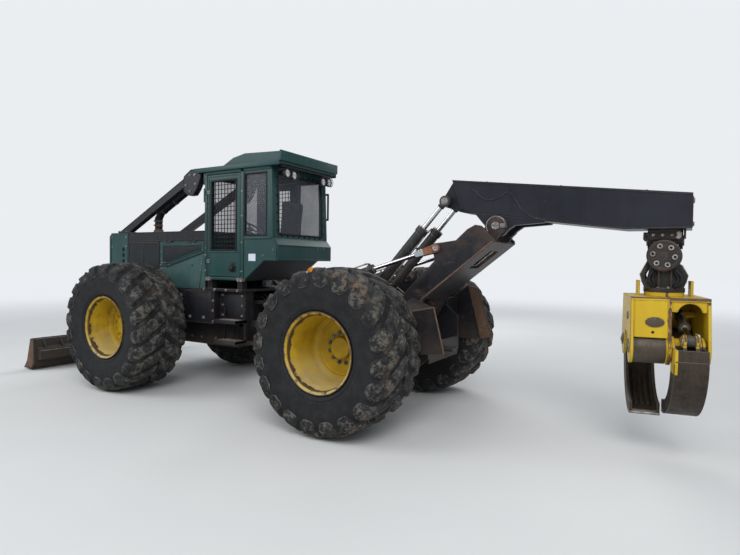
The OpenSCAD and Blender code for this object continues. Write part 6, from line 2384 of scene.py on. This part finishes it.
@dataclass
class Arm:
    """The arch, the boom, their welds and pins, and every lifting cylinder."""

    arch_half: float = 0.41
    boom_half: float = 0.2
    arch_pin: Pair = (-0.35, 1.15)
    boom_pin: Pair = (-1.45, 2.265)

    def bead(self, name: str, points: Sequence[Triple], radius: float = 0.007) -> Piece:
        """Lays a hand-laid weld bead along a line, with its ripples.

        Args:
            name: The bead's name.
            points: The points in order.
            radius: The bead's radius.

        Returns:
            The bead.
        """
        rail = pipe(name, [at(*point) for point in points], radius, 3, True)
        with editing(rail) as mesh:
            bpy.ops.mesh.select_all(action="SELECT")
            bpy.ops.mesh.subdivide(number_cuts=2)
            mesh.update()
        for vertex in rail.data.vertices:
            ripple = noise.noise(vertex.co * 55.0) * 0.35 + noise.noise(vertex.co * 16.0) * 0.45
            vertex.co += vertex.normal * radius * 0.55 * ripple
        return rail

    def arch(self) -> None:
        """Builds the arch's bosses, welds, worn edges, slot rim, rust lines and bolts."""
        h = self.arch_half
        px, pz = self.arch_pin
        dark = [
            drum("boss", at(px, h - 0.002, pz), at(px, h + 0.009, pz), 0.108, 0.004, 64),
            drum("ear_boss", at(-0.818, h - 0.002, 2.02), at(-0.818, h + 0.004, 2.02), 0.05, 0.002, 48),
            plate("doubler", [(-0.56, 1.61), (-0.705, 1.765), (-0.8, 1.87), (-0.86, 1.83), (-0.7, 1.6),
                (-0.62, 1.545)],
                h - 0.001, h + 0.006, Axis.Y, 0.002),
        ]
        give_both("arch_bosses", dark, "arch", Finish.ARCH)
        welds = [
            self.bead("cross_weld", [(-1.445, h - 0.01, 2.112), (-1.18, h - 0.01, 1.902),
                (-0.9, h - 0.01, 1.68),
                (-0.63, h - 0.01, 1.464)]),
            self.bead("inner_weld", [(-1.44, 0.362, 2.108), (-1.04, 0.362, 1.79), (-0.64, 0.362, 1.472)],
                0.008),
            self.bead("ear_weld", [(-1.446, 0.268, 2.118), (-1.29, 0.268, 1.992), (-1.13, 0.268, 1.864)],
                0.008),
            self.bead("ear_weld_in", [(-1.446, 0.222, 2.118), (-1.29, 0.222, 1.992), (-1.13, 0.222, 1.864)],
                0.007),
        ]
        give_both("arch_welds", welds, "arch", Finish.WELD, 60.0)
        rust = [
            plate("line", [(-1.474, 2.088), (-0.65, 1.43), (-0.64, 1.444), (-1.464, 2.102)], h - 0.0005,
                h + 0.0012, Axis.Y, 0.0),
            plate("low_line", [(-0.645, 1.424), (-0.448, 1.098), (-0.436, 1.106), (-0.633, 1.43)], h - 0.0005,
                h + 0.0012,
                Axis.Y, 0.0),
        ]
        give_both("arch_rust_lines", rust, "arch", Finish.RUSTY, 30.0)
        bx, bz = self.boom_pin
        silver = []
        for y in (0.264, 0.226):
            arc = [(bx + 0.1035 * math.cos(math.radians(a)), y, bz + 0.1035 * math.sin(math.radians(a)))
                for a in range(-34, 192, 9)]
            silver.append(pipe("ear_edge", [at(*point) for point in arc], 0.0055, 2))
        silver.append(drum("pin_end", at(bx, 0.263, bz), at(bx, 0.277, bz), 0.044, 0.004, 48, 0.01))
        silver.append(block("keeper", at(bx - 0.1, 0.264, bz - 0.024), at(bx - 0.05, 0.277, bz + 0.024),
            0.003))
        silver.append(drum("base_pin", at(0.107, 0.278, 1.5), at(0.107, 0.29, 1.5), 0.036, 0.003, 36, 0.007))
        give_both("arch_pin_ends", silver, "arch", Finish.BOLT, 40.0)
        slot = Vector((math.cos(math.radians(38.6)), 0.0, -math.sin(math.radians(38.6))))
        middle = at(-1.21, 0.0, 1.925)
        corners = [middle + slot * run + Vector((0.0, side, 0.0))
            for run, side in ((-0.158, -0.148), (0.158, -0.148), (0.158, 0.148), (-0.158, 0.148))]
        rim = pipe("arch_slot_rim", [*corners, corners[0]], 0.006, 3, False)
        hand_over(rim, "arch", Finish.BARE, 40.0)
        heads = [facing(at(px + 0.08 * math.cos(a), h + 0.009, pz + 0.08 * math.sin(a)), LEFT, a)
            for a in (math.tau * step / 8 for step in range(8))]
        heads += [facing(at(bx + 0.027 * math.cos(a), 0.277, bz + 0.027 * math.sin(a)), LEFT, a)
            for a in (0.5, 2.6, 4.7)]
        heads += [facing(at(-0.075 - step * 0.1, 0.279, 1.412 - step * 0.077), LEFT) for step in range(2)]
        bolt_both("arch_bolts", 0.022, 0.008, heads, "arch")
        hoses = []
        for index, y in enumerate((0.3, 0.325, 0.348)):
            hoses.append(pipe("hose", [
                at(-0.3, y, 1.3), at(-0.42, y, 1.44 + 0.012 * index), at(-0.64, y, 1.53 + 0.012 * index),
                at(-0.9, y, 1.745 + 0.012 * index), at(-1.18, y, 1.972 + 0.012 * index),
                at(-1.36, y - 0.02, 2.14 + 0.012 * index),
            ], 0.0125, 4))
        for x, z in ((-0.64, 1.53), (-1.04, 1.86)):
            hoses.append(block("clamp", at(x - 0.022, 0.282, z - 0.016), at(x + 0.022, 0.364, z + 0.042),
                0.005))
        give_both("arch_hoses", hoses, "arch", Finish.HOSE, 60.0)

    def boom(self) -> None:
        """Builds the boom's ledges, its long waving weld, end plate, pipes, lug rings and bolts."""
        h = self.boom_half
        ledges = [
            plate("top_ledge", [(-0.915, 2.806), (-3.286, 2.5335), (-3.286, 2.519), (-0.915, 2.791)],
                h - 0.002, h + 0.006,
                Axis.Y, 0.0015),
            plate("low_ledge", [(-1.19, 2.42), (-1.173, 2.408), (-2.715, 2.206), (-3.286, 2.204),
                (-3.286, 2.216),
                (-2.716, 2.218)], h - 0.002, h + 0.005, Axis.Y, 0.0015),
            drum("lug_ring", at(-1.45, h - 0.002, 2.265), at(-1.45, h + 0.008, 2.265), 0.112, 0.003, 56),
            block("tail_gusset", at(-3.24, 0.08, 2.12), at(-3.222, 0.15, 2.214), 0.004),
        ]
        give_both("boom_ledges", ledges, "boom", Finish.BOOM)
        wave = [(-1.152, 2.689), (-1.333, 2.558), (-1.476, 2.586), (-1.56, 2.63), (-1.631, 2.564),
            (-1.717, 2.437),
            (-1.867, 2.337), (-1.96, 2.321)]
        welds = [
            self.bead("wave_weld", [(x, h + 0.001, z) for x, z in wave], 0.0085),
            self.bead("top_weld", [(-0.95, h + 0.001, 2.785), (-1.7, h + 0.001, 2.699),
                (-2.5, h + 0.001, 2.607),
                (-3.28, h + 0.001, 2.517)], 0.0045),
            self.bead("low_weld", [(-1.22, h + 0.001, 2.43), (-1.9, h + 0.001, 2.341),
                (-2.715, h + 0.001, 2.222),
                (-3.28, h + 0.001, 2.22)], 0.0045),
            self.bead("nose_weld", [(-0.915, 0.162, 2.79), (-1.01, 0.162, 2.64), (-1.1, 0.162, 2.5),
                (-1.168, 0.162, 2.412)], 0.007),
        ]
        give_both("boom_welds", welds, "boom", Finish.WELD, 60.0)
        end = plate("boom_end_plate", [(-0.176, 2.232), (0.176, 2.232), (0.176, 2.506), (-0.176, 2.506)],
            -3.2945, -3.288, Axis.X, 0.0015)
        hand_over(end, "boom", Finish.BOOM)
        heads = [facing(at(-3.2945, y, z), BACK, y * 9 + z) for y in (-0.15, 0.0, 0.15)
            for z in (2.256, 2.482)]
        heads += [facing(at(x, side * 0.13, 2.8075 - 0.115 * (-0.908 - x)), UP, x)
            for x in (-1.3, -2.1, -2.9) for side in (1, -1)]
        caps = [
            drum("hang_pin", at(-3.216, 0.0, 2.1), at(-3.228, 0.0, 2.1), 0.052, 0.003, 40, 0.008),
            drum("hang_pin_front", at(-2.916, 0.0, 2.1), at(-2.904, 0.0, 2.1), 0.052, 0.003, 40, 0.008),
            drum("eye_pin", at(-0.835, 0.24, 2.565), at(-0.835, 0.252, 2.565), 0.034, 0.002, 36),
            drum("eye_pin_right", at(-0.835, -0.24, 2.565), at(-0.835, -0.252, 2.565), 0.034, 0.002, 36),
        ]
        bolts = Fastener(0.02, 0.009).row("heads", heads)
        give("boom_bolts", [bolts, *caps], "boom", Finish.BOLT, 30.0)
        pipes = []
        for lift in (0.0, 0.034, 0.068):
            pipes.append(pipe("pipe", [
                at(-1.3, -h - 0.01, 2.5 + lift), at(-1.36, -h - 0.014, 2.5 + lift),
                at(-2.2, -h - 0.014, 2.39 + lift),
                at(-3.02, -h - 0.014, 2.29 + lift), at(-3.1, -h - 0.01, 2.262 + lift),
                at(-3.13, -h + 0.02, 2.196 + lift * 0.2),
            ], 0.0085, 3))
        give("boom_pipes", pipes, "boom", Finish.BARE, 60.0)
        clamps = [block("clamp", at(x - 0.02, -h - 0.026, z - 0.022), at(x + 0.02, -h + 0.002, z + 0.09),
            0.004)
            for x, z in ((-1.5, 2.482), (-2.05, 2.41), (-2.6, 2.341), (-2.98, 2.293))]
        give("boom_pipe_clamps", clamps, "boom", Finish.BLACK)

    def cylinders(self) -> None:
        """Dresses the boom, arch, blade and steering cylinders."""
        Ram("boom_cylinder", (0.107, 0.213, 1.5), (-0.835, 0.213, 2.565), 0.062, 0.03, 1.01, eye_radius=0.062,
            port_angle=-50.0).build("boom_barrels", "boom_rods")
        Ram("arch_cylinder", (1.0, 0.385, 1.472), (-0.818, 0.385, 2.02), 0.05, 0.024, 1.03,
            port_angle=20.0).build("arch_barrels", "arch_rods")
        Ram("blade_cylinder", (4.56, 0.25, 1.25), (5.48, 0.25, 0.56), 0.05, 0.024, 0.72, eye_radius=0.048,
            port_angle=25.0).build("blade_barrels", "blade_rods")
        for side in Side:
            place = None if side is Side.LEFT else MIRROR
            tag = side.name.lower()
            Ram(f"steer_cylinder_{tag}", (2.45, 0.25, 0.95), (1.53, 0.29, 0.95), 0.042, 0.024, 0.59,
                (0.0, 0.0, 1.0),
                port_angle=0.0, port_reach=0.52, paired=False, place=place).build(f"steer_barrel_{tag}",
                    f"steer_rod_{tag}")
        forks = [
            drum("fork_pin", at(-0.818, 0.439, 2.02), at(-0.818, 0.449, 2.02), 0.034, 0.003, 36, 0.007),
            drum("fork_bolt", at(-0.818, 0.447, 2.02), at(-0.818, 0.456, 2.02), 0.012, 0.002, 6),
        ]
        give_both("arch_fork_pins", forks, "arch_rods", Finish.BARE)

    def build(self) -> None:
        """Builds the arch, the boom and the cylinders' fittings."""
        self.arch()
        self.boom()
        self.cylinders()


@dataclass
class Blade:
    """The stacking blade's lip, cutting edge, gussets, worn end and bolts."""

    half: float = 1.35
    front: float = 6.17
    foot: float = 0.03
    height: float = 0.49

    def build(self) -> None:
        """Builds the blade's details."""
        top = self.foot + self.height
        back = self.front - 0.3
        parts = [
            block("top_lip", at(self.front - 0.262, -self.half + 0.004, top - 0.014),
                at(self.front - 0.208, self.half - 0.004, top + 0.008), 0.005),
            block("edge", at(self.front - 0.11, -self.half + 0.006, self.foot + 0.006),
                at(self.front - 0.004, self.half - 0.006, self.foot + 0.024), 0.004),
        ]
        for y in (-1.18, -0.9, -0.62, -0.34, 0.34, 0.62, 0.9, 1.18):
            parts.append(plate("gusset",
                [(back - 0.06, 0.356), (back + 0.018, 0.392), (back + 0.062, 0.5), (back + 0.04, 0.506),
                    (back - 0.075, 0.36)], y - 0.011, y + 0.011, Axis.Y, 0.003))
        give("blade_lips", parts, "blade_frame", Finish.BLADE)
        heads = [facing(at(self.front - 0.06, -1.24 + step * 0.155, self.foot + 0.024), UP, step * 0.7)
            for step in range(17)]
        hand_over(Fastener(0.03, 0.012).row("blade_edge_bolts", heads), "blade_frame", Finish.BARE, 30.0)
        worn = plate("blade_worn_end",
            [(5.9, 0.14), (5.948, 0.052), (6.14, 0.052), (6.072, 0.158), (5.978, 0.5), (5.892, 0.5)],
            self.half - 0.0005, self.half + 0.0015, Axis.Y, 0.0)
        hand_over(worn, "blade_frame", Finish.RUSTY, 30.0)
        line = [block("line", at(back - 0.0925, -self.half + 0.062, 0.326),
            at(back - 0.0895, self.half - 0.062, 0.334), 0.0008),
            block("top_line", at(self.front - 0.2655, -self.half + 0.01, top - 0.012),
                at(self.front - 0.2615, self.half - 0.01, top - 0.004), 0.0008)]
        give("blade_pale_lines", line, "blade_frame", Finish.BARE, 30.0)
        caps = [
            drum("eye_pin", at(5.48, 0.318, 0.56), at(5.48, 0.328, 0.56), 0.04, 0.003, 36, 0.008),
        ]
        give_both("blade_pins", caps, "blade_frame", Finish.BOLT)


@dataclass
class Hanger:
    """The covers, hook, bolted drums, yoke cheeks and hoses between the boom's tail and the grapple."""

    x: float = -3.066
    drum_z: float = 1.95
    drum_radius: float = 0.145
    face: float = 0.205

    def covers(self) -> None:
        """Builds the covers beside the crosshead, with their hook and scraped corner."""
        x = self.x
        cover = [
            plate("cover", [(x - 0.148, 2.206), (x + 0.148, 2.206), (x + 0.148, 2.132), (x + 0.128, 2.104),
                (x - 0.136, 2.104),
                (x - 0.148, 2.12)], 0.086, 0.098, Axis.Y, 0.003),
            plate("hook", [(x + 0.142, 2.178), (x + 0.186, 2.178), (x + 0.188, 2.112), (x + 0.176, 2.092),
                (x + 0.16, 2.094),
                (x + 0.156, 2.116), (x + 0.164, 2.126), (x + 0.162, 2.146),
                (x + 0.142, 2.15)], 0.07, 0.096, Axis.Y, 0.004),
            block("fold", at(x - 0.146, 0.097, 2.186), at(x + 0.146, 0.104, 2.204), 0.002),
        ]
        give_both("hanger_covers", cover, "boom", Finish.HANGER)
        scrape = plate("hanger_scrape",
            [(x - 0.14, 2.176), (x - 0.118, 2.186), (x - 0.094, 2.17), (x - 0.104, 2.144), (x - 0.088, 2.124),
                (x - 0.116, 2.112), (x - 0.138, 2.13)], 0.0975, 0.0987, Axis.Y,
            0.0)
        hand_over(scrape, "boom", Finish.BARE, 30.0)
        heads = [facing(at(x + run, 0.098, 2.15), LEFT, run * 40) for run in (-0.06, 0.02, 0.1)]
        bolt_both("hanger_bolts", 0.02, 0.009, heads, "boom")

    def drums(self) -> None:
        """Builds each brake drum's rim, recessed face and six socket bolts, with a black disc of painted shade in
        each socket.
        """
        r = self.drum_radius
        centre = at(self.x, self.face, self.drum_z)
        profile = [(r - 0.01, -0.074), (r + 0.0025, -0.07), (r + 0.004, -0.04), (r - 0.001, -0.036),
            (r - 0.001, -0.014),
            (r + 0.004, -0.01), (r + 0.0035, 0.008), (r - 0.004, 0.012), (r - 0.018, 0.012),
            (r - 0.024, 0.004), (0.03, 0.003),
            (0.026, 0.009), (0.0, 0.01)]
        shell = turned("shell", profile, centre, Axis.Y, 72)
        give_both("drum_shells", [shell], "yoke", Finish.HANGER)
        profile = [(0.0245, 0.002), (0.0255, 0.012), (0.0225, 0.016), (0.0135, 0.016), (0.0125, 0.007),
            (0.0, 0.007)]
        bolts, socket_shade_discs = [], []
        for step in range(6):
            angle = math.radians(9 + 60 * step)
            place = centre + Vector((0.094 * math.cos(angle), 0.0, 0.094 * math.sin(angle)))
            bolts.append(turned("bolt", profile, place, Axis.Y, 32))
            # Painted shade: a black hexagon disc darkens each bolt socket.
            socket_shade_discs.append(drum("floor", place + Vector((0, 0.006, 0)), place + Vector((0, 0.0085, 0)), 0.012,
                0.0005, 6))
        give_both("drum_bolts", bolts, "yoke", Finish.BARE)
        give_both("drum_bolt_sockets", socket_shade_discs, "yoke", Finish.GASKET)

    def links(self) -> None:
        """Builds the yoke's ribs, arched cheeks, hoses and the swivel's bolts."""
        x = self.x
        cheeks = [
            plate("cheek", [(x + 0.128, 1.9), (x + 0.142, 1.905), (x + 0.206, 1.77), (x + 0.186, 1.69),
                (x + 0.166, 1.64),
                (x + 0.136, 1.64), (x + 0.15, 1.7), (x + 0.164, 1.768), (x + 0.112, 1.862)],
                0.07, 0.128, Axis.Y, 0.006),
            plate("cheek_back", [(x - 0.118, 1.88), (x - 0.15, 1.862), (x - 0.202, 1.76), (x - 0.186, 1.69),
                (x - 0.168, 1.64),
                (x - 0.132, 1.64), (x - 0.14, 1.7), (x - 0.15, 1.75),
                (x - 0.098, 1.836)],
                0.07, 0.128, Axis.Y, 0.006),
            block("rib", at(x + 0.03, 0.13, 1.642), at(x + 0.048, 0.172, 1.812), 0.005),
            block("rib_back", at(x - 0.074, 0.13, 1.642), at(x - 0.056, 0.172, 1.812), 0.005),
        ]
        give_both("yoke_cheeks", cheeks, "yoke", Finish.HANGER)
        edge = [
            pipe("edge", [at(x + 0.142, 0.127, 1.902), at(x + 0.205, 0.127, 1.77),
                at(x + 0.187, 0.127, 1.692)], 0.004, 2, False),
            pipe("edge_back", [at(x - 0.15, 0.127, 1.86), at(x - 0.201, 0.127, 1.76),
                at(x - 0.187, 0.127, 1.692)], 0.004, 2, False),
        ]
        give_both("yoke_worn_edges", edge, "yoke", Finish.BARE, 40.0)
        hoses = []
        for index, (start, side) in enumerate(((0.062, 0.15), (0.088, 0.168), (-0.088, 0.152),
            (-0.112, 0.168))):
            bow = math.copysign(0.03 + 0.004 * index, start)
            hoses.append(pipe("hose", [
                at(x + start * 0.55, side - 0.02, 1.84), at(x + start, side, 1.8),
                at(x + start + bow, side + 0.006, 1.73),
                at(x + start + bow * 0.4, side, 1.67), at(x + start * 0.7, side - 0.03, 1.648),
            ], 0.015, 4))
        give_both("yoke_hoses", hoses, "yoke", Finish.HOSE, 60.0)
        heads = [facing(at(x + 0.16 * math.cos(a), 0.16 * math.sin(a), 1.64), UP, a)
            for a in (math.tau * (step + 0.5) / 12 for step in range(12))]
        hand_over(Fastener(0.024, 0.012).row("swivel_bolts", heads), "yoke", Finish.BOLT, 30.0)

    def build(self) -> None:
        """Builds the hanging gear."""
        self.covers()
        self.drums()
        self.links()


@dataclass
class Grapple:
    """The yellow grapple head, its pins, welds and worn edges, the two tongs and their cylinders."""

    x: float = -3.066
    turn: float = 10.5
    half_len: float = 0.325
    half: float = 0.375
    top: float = 1.56
    pin: Pair = (0.29, 1.08)
    tube_radius: float = 0.14

    def place(self, far: bool = False) -> Matrix:
        """Returns where the head's own frame stands, or its far half's."""
        spin = Matrix.Rotation(math.radians(self.turn + (180.0 if far else 0.0)), 4, "Z")
        return Matrix.Translation(at(self.x, 0.0, 0.0)) @ spin @ Matrix.Translation(-at(0.0, 0.0, 0.0))

    def twice(self, name: str, parts: Sequence[Piece], finish: Finish, smooth: float = 35.0) -> None:
        """Hands over shapes of the near half together with the same shapes half a turn on."""
        model = joined("half", parts)
        piece = copies(name, model, [self.place(), self.place(True)])
        hand_over(piece, "grapple", finish, smooth)

    def lean(self, z: float) -> float:
        """Returns how far out the sloping side plate stands at a height."""
        return 0.375 + (1.559 - z) * (0.412 - 0.375) / (1.559 - 1.19)

    def head(self) -> None:
        """Builds the head's tube sleeves, inspection covers and their rims, drain holes as black discs of painted
        shade, cut-out rims, folded edges and welds.
        """
        h, t = self.half, self.top
        py, pz = self.pin
        sleeve = drum("sleeve", at(0.03, py, pz), at(0.316, py, pz), self.tube_radius + 0.0025, 0.003, 96)
        self.twice("head_tube_sleeves", [sleeve], Finish.TUBE)
        oval = []
        for step in range(40):
            angle = math.tau * step / 40
            oval.append((0.124 + 0.08 * math.cos(angle), 1.332 + 0.047 * math.sin(angle)))
        cover = plate("cover", oval, 0.0, 0.004, Axis.Y, 0.001)
        rim = pipe("rim", [at(x, 0.002, z) for x, z in oval], 0.003, 2, False, True)
        # The drain hole is a thin black disc of painted shade.
        hole = drum("hole", at(0.14, 0.0, 1.24), at(0.14, 0.003, 1.24), 0.0125, 0.0005, 28)
        lean = math.atan2(0.412 - 0.375, 1.559 - 1.19)
        pivot = at(0.124, 0.0, 1.332)
        tilt = (Matrix.Translation(Vector((0.0, self.lean(1.332) + 0.0005, 0.0))) @ Matrix.Translation(pivot)
            @ Matrix.Rotation(lean, 4, "X") @ Matrix.Translation(-pivot))
        for piece in (cover, rim, hole):
            piece.data.transform(tilt)
        self.twice("head_inspection_covers", [cover], Finish.TUBE)
        self.twice("head_cover_rims", [rim], Finish.HEAD)
        self.twice("head_drain_holes", [hole], Finish.GASKET)
        arc = [at(-0.1625 + 0.105 * math.cos(math.radians(a)), h - 0.0075,
            1.41 + 0.105 * math.sin(math.radians(a)))
            for a in range(12, 169, 6)]
        lips = [
            pipe("cut_lip", arc, 0.0055, 3, False),
            block("top_fold", at(-self.half_len + 0.004, h - 0.004, t - 0.034),
                at(self.half_len - 0.004, h + 0.004, t - 0.024), 0.002),
            block("ear_foot", at(0.212, -0.066, t - 0.002), at(0.247, 0.066, t + 0.008), 0.003),
            plate("stiffener", [(0.12, 1.5), (0.33, 1.5), (0.33, 1.486), (0.12, 1.486)], 0.013, 0.299, Axis.X,
                0.002),
        ]
        self.twice("head_lips", lips, Finish.HEAD)
        welds = [
            pipe("weld", [at(0.016, self.lean(z) + 0.001, z) for z in (1.545, 1.44, 1.33, 1.2)], 0.006, 2,
                True),
            pipe("weld_end", [at(0.296, self.lean(z) + 0.001, z) for z in (1.545, 1.44, 1.33, 1.2)], 0.006, 2,
                True),
            pipe("weld_tube", [at(0.022, py + (self.tube_radius + 0.004) * math.sin(math.radians(a)),
                pz + (self.tube_radius + 0.004)
                * math.cos(math.radians(a))) for a in range(-60, 151, 15)], 0.006, 2,
                True),
            pipe("weld_top", [at(x, h - 0.002, t - 0.029) for x in (-0.315, -0.1, 0.1, 0.315)], 0.006, 2,
                True),
        ]
        self.twice("head_welds", welds, Finish.HEAD, 60.0)

    def wear(self) -> None:
        """Builds the rusty plate edges, the scraped corners and the lines of rust on the head."""
        h, t = self.half, self.top
        edges = []
        for x in (-0.312, 0.0, 0.312):
            outline = [(h - 0.003, t - 0.03), (h + 0.0015, t - 0.03), (h + 0.04, 1.19), (h + 0.0635, 1.1),
                (h + 0.06, 1.098), (h + 0.034, 1.19)]
            edges.append(plate("edge", outline, x - 0.0138, x + 0.0138, Axis.X, 0.0))
        edges.append(block("front_edge", at(-self.half_len - 0.0008, h - 0.002, t - 0.025),
            at(self.half_len + 0.0008, h + 0.0012, t + 0.0006), 0.0))
        self.twice("head_rusty_edges", edges, Finish.RUSTY, 30.0)
        corners = [
            plate("corner", [(0.322, h - 0.002), (0.205, h - 0.002), (0.232, h - 0.03), (0.258, h - 0.048),
                (0.28, h - 0.09), (0.322, h - 0.14)],
                t - 0.0004, t + 0.0008, Axis.Z, 0.0),
            plate("corner_back", [(-0.322, h - 0.002), (-0.16, h - 0.002), (-0.2, h - 0.022),
                (-0.26, h - 0.03), (-0.29, h - 0.07),
                (-0.322, h - 0.1)], t - 0.0004, t + 0.0008, Axis.Z, 0.0),
        ]
        self.twice("head_scraped_corners", corners, Finish.BARE, 30.0)
        py, pz = self.pin
        caps = []
        for x, sense in ((-0.325, -1), (0.325, 1)):
            caps.append(drum("cap", at(x, py, pz), at(x + 0.013 * sense, py, pz), 0.058, 0.004, 48, 0.008))
            caps.append(drum("cap_bolt", at(x + 0.012 * sense, py, pz), at(x + 0.024 * sense, py, pz), 0.019,
                0.003, 6))
            caps.append(block("keeper", at(x - 0.004, py - 0.078, pz + 0.04),
                at(x + 0.01, py - 0.03, pz + 0.072), 0.003)
                if sense > 0 else block("keeper", at(x - 0.01, py - 0.078, pz + 0.04),
                    at(x + 0.004, py - 0.03, pz + 0.072), 0.003))
        caps.append(drum("base_pin", at(-0.325, -0.15, 1.37), at(-0.335, -0.15, 1.37), 0.04, 0.003, 36,
            0.007))
        self.twice("head_pin_caps", caps, Finish.BOLT)
        hoses = []
        for aside in (-0.03, 0.02):
            hoses.append(pipe("hose", [
                at(-0.06, aside, 1.532), at(-0.07, aside, 1.49), at(-0.09 + aside * 0.5, aside - 0.03, 1.44),
                at(-0.1 + aside, -0.09, 1.41),
                at(-0.104 + aside, -0.135, 1.412),
            ], 0.0115, 4))
        self.twice("head_hoses", hoses, Finish.HOSE, 60.0)

    def tong(self, tag: str, far: bool) -> None:
        """Builds one tong's worn lip, tip and side edges, ribs, lever edges, eye pins and cylinder.

        Args:
            tag: Which tong it is, near or far.
            far: Whether it is the one half a turn on.
        """
        body = f"tong_{tag}"
        place = self.place(far)
        cy, cz, r = -0.08, 1.02, 0.62
        low, high = -0.291, -0.021

        def skin(angle: float, lift: float = 0.0) -> Pair:
            """Returns a point on the outside of the skin, as (y, z)."""
            turn = math.radians(angle)
            return cy + (r + lift) * math.sin(turn), cz - (r + lift) * math.cos(turn)

        def across(angle: float, first: float, last: float, lift: float) -> list[Vector]:
            """Returns two points along the tong's width at an angle."""
            y, z = skin(angle, lift)
            return [at(first, y, z), at(last, y, z)]

        tip = [
            plate("tip", [skin(a, 0.0015) for a in (-2.2, 0.5, 3.4)] + [skin(a, -0.0295)
                for a in (3.4, 0.5, -2.2)], low - 0.001, high + 0.001,
                Axis.X, 0.002),
            pipe("tip_edge", across(-2.0, low + 0.002, high - 0.002, -0.014), 0.011, 3, False),
        ]
        lip = [pipe("lip", across(88.0, low + 0.01, high - 0.01, -0.004), 0.008, 3, False)]
        for x in (low + 0.0015, high - 0.0015):
            lip.append(pipe("side_edge", [at(x, *skin(a, -0.003)) for a in range(6, 90, 4)], 0.0045, 2, True))
        for name, parts, finish, smooth in (("tip", tip, Finish.BARE, 35.0),
            ("edges", lip, Finish.TUBE, 60.0)):
            hand_over(placed(joined(f"{body}_{name}", parts), place), body, finish, smooth)
        ribs = []
        for x in (-0.213, -0.156, -0.099):
            outline = [skin(a, -0.027) for a in range(14, 63, 6)] + [skin(a, -0.052)
                for a in range(62, 13, -6)]
            ribs.append(plate("rib", outline, x - 0.009, x + 0.009, Axis.X, 0.002))
        hand_over(placed(joined(f"{body}_ribs", ribs), place), body, Finish.TONG)
        levers = []
        for x in (-0.156 - 0.036 - 0.026, -0.156 + 0.036):
            levers.append(pipe("lever_edge",
                [at(x + 0.013, 0.3, 1.184), at(x + 0.013, 0.415, 1.229), at(x + 0.013, 0.46, 1.235),
                    at(x + 0.013, 0.505, 1.212), at(x + 0.013, 0.514, 1.18)],
                0.009, 3, False))
        hand_over(placed(joined(f"{body}_lever_edges", levers), place), body, Finish.RUSTY, 40.0)
        pin = [
            drum("eye_pin", at(-0.156 - 0.062, 0.46, 1.18), at(-0.156 - 0.072, 0.46, 1.18), 0.04, 0.003, 36,
                0.006),
            drum("eye_pin_in", at(-0.156 + 0.062, 0.46, 1.18), at(-0.156 + 0.072, 0.46, 1.18), 0.04, 0.003,
                36, 0.006),
        ]
        hand_over(placed(joined(f"{body}_eye_pins", pin), place), body, Finish.BARE)
        Ram(f"tong_cylinder_{tag}", (-0.156, -0.15, 1.37), (-0.156, 0.46, 1.18), 0.044, 0.024, 0.345,
            (1.0, 0.0, 0.0), eye_radius=0.048,
            port_angle=0.0, paired=False, place=place).build(f"tong_barrel_{tag}", f"tong_rod_{tag}")

    def build(self) -> None:
        """Builds the grapple."""
        self.head()
        self.wear()
        self.tong("near", False)
        self.tong("far", True)


def main() -> None:
    """Builds the whole scene in order."""
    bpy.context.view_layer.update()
    Studio().build()
    dress_nodes()
    Cab().build()
    EngineBay().build()
    Chassis().build()
    Arm().build()
    Blade().build()
    Hanger().build()
    Grapple().build()
    for name in ("front_left", "front_right", "rear_left", "rear_right"):
        Wheel(name, Side.LEFT if name.endswith("left") else Side.RIGHT, name.startswith("front")).build()


if __name__ == "__main__":
    main()
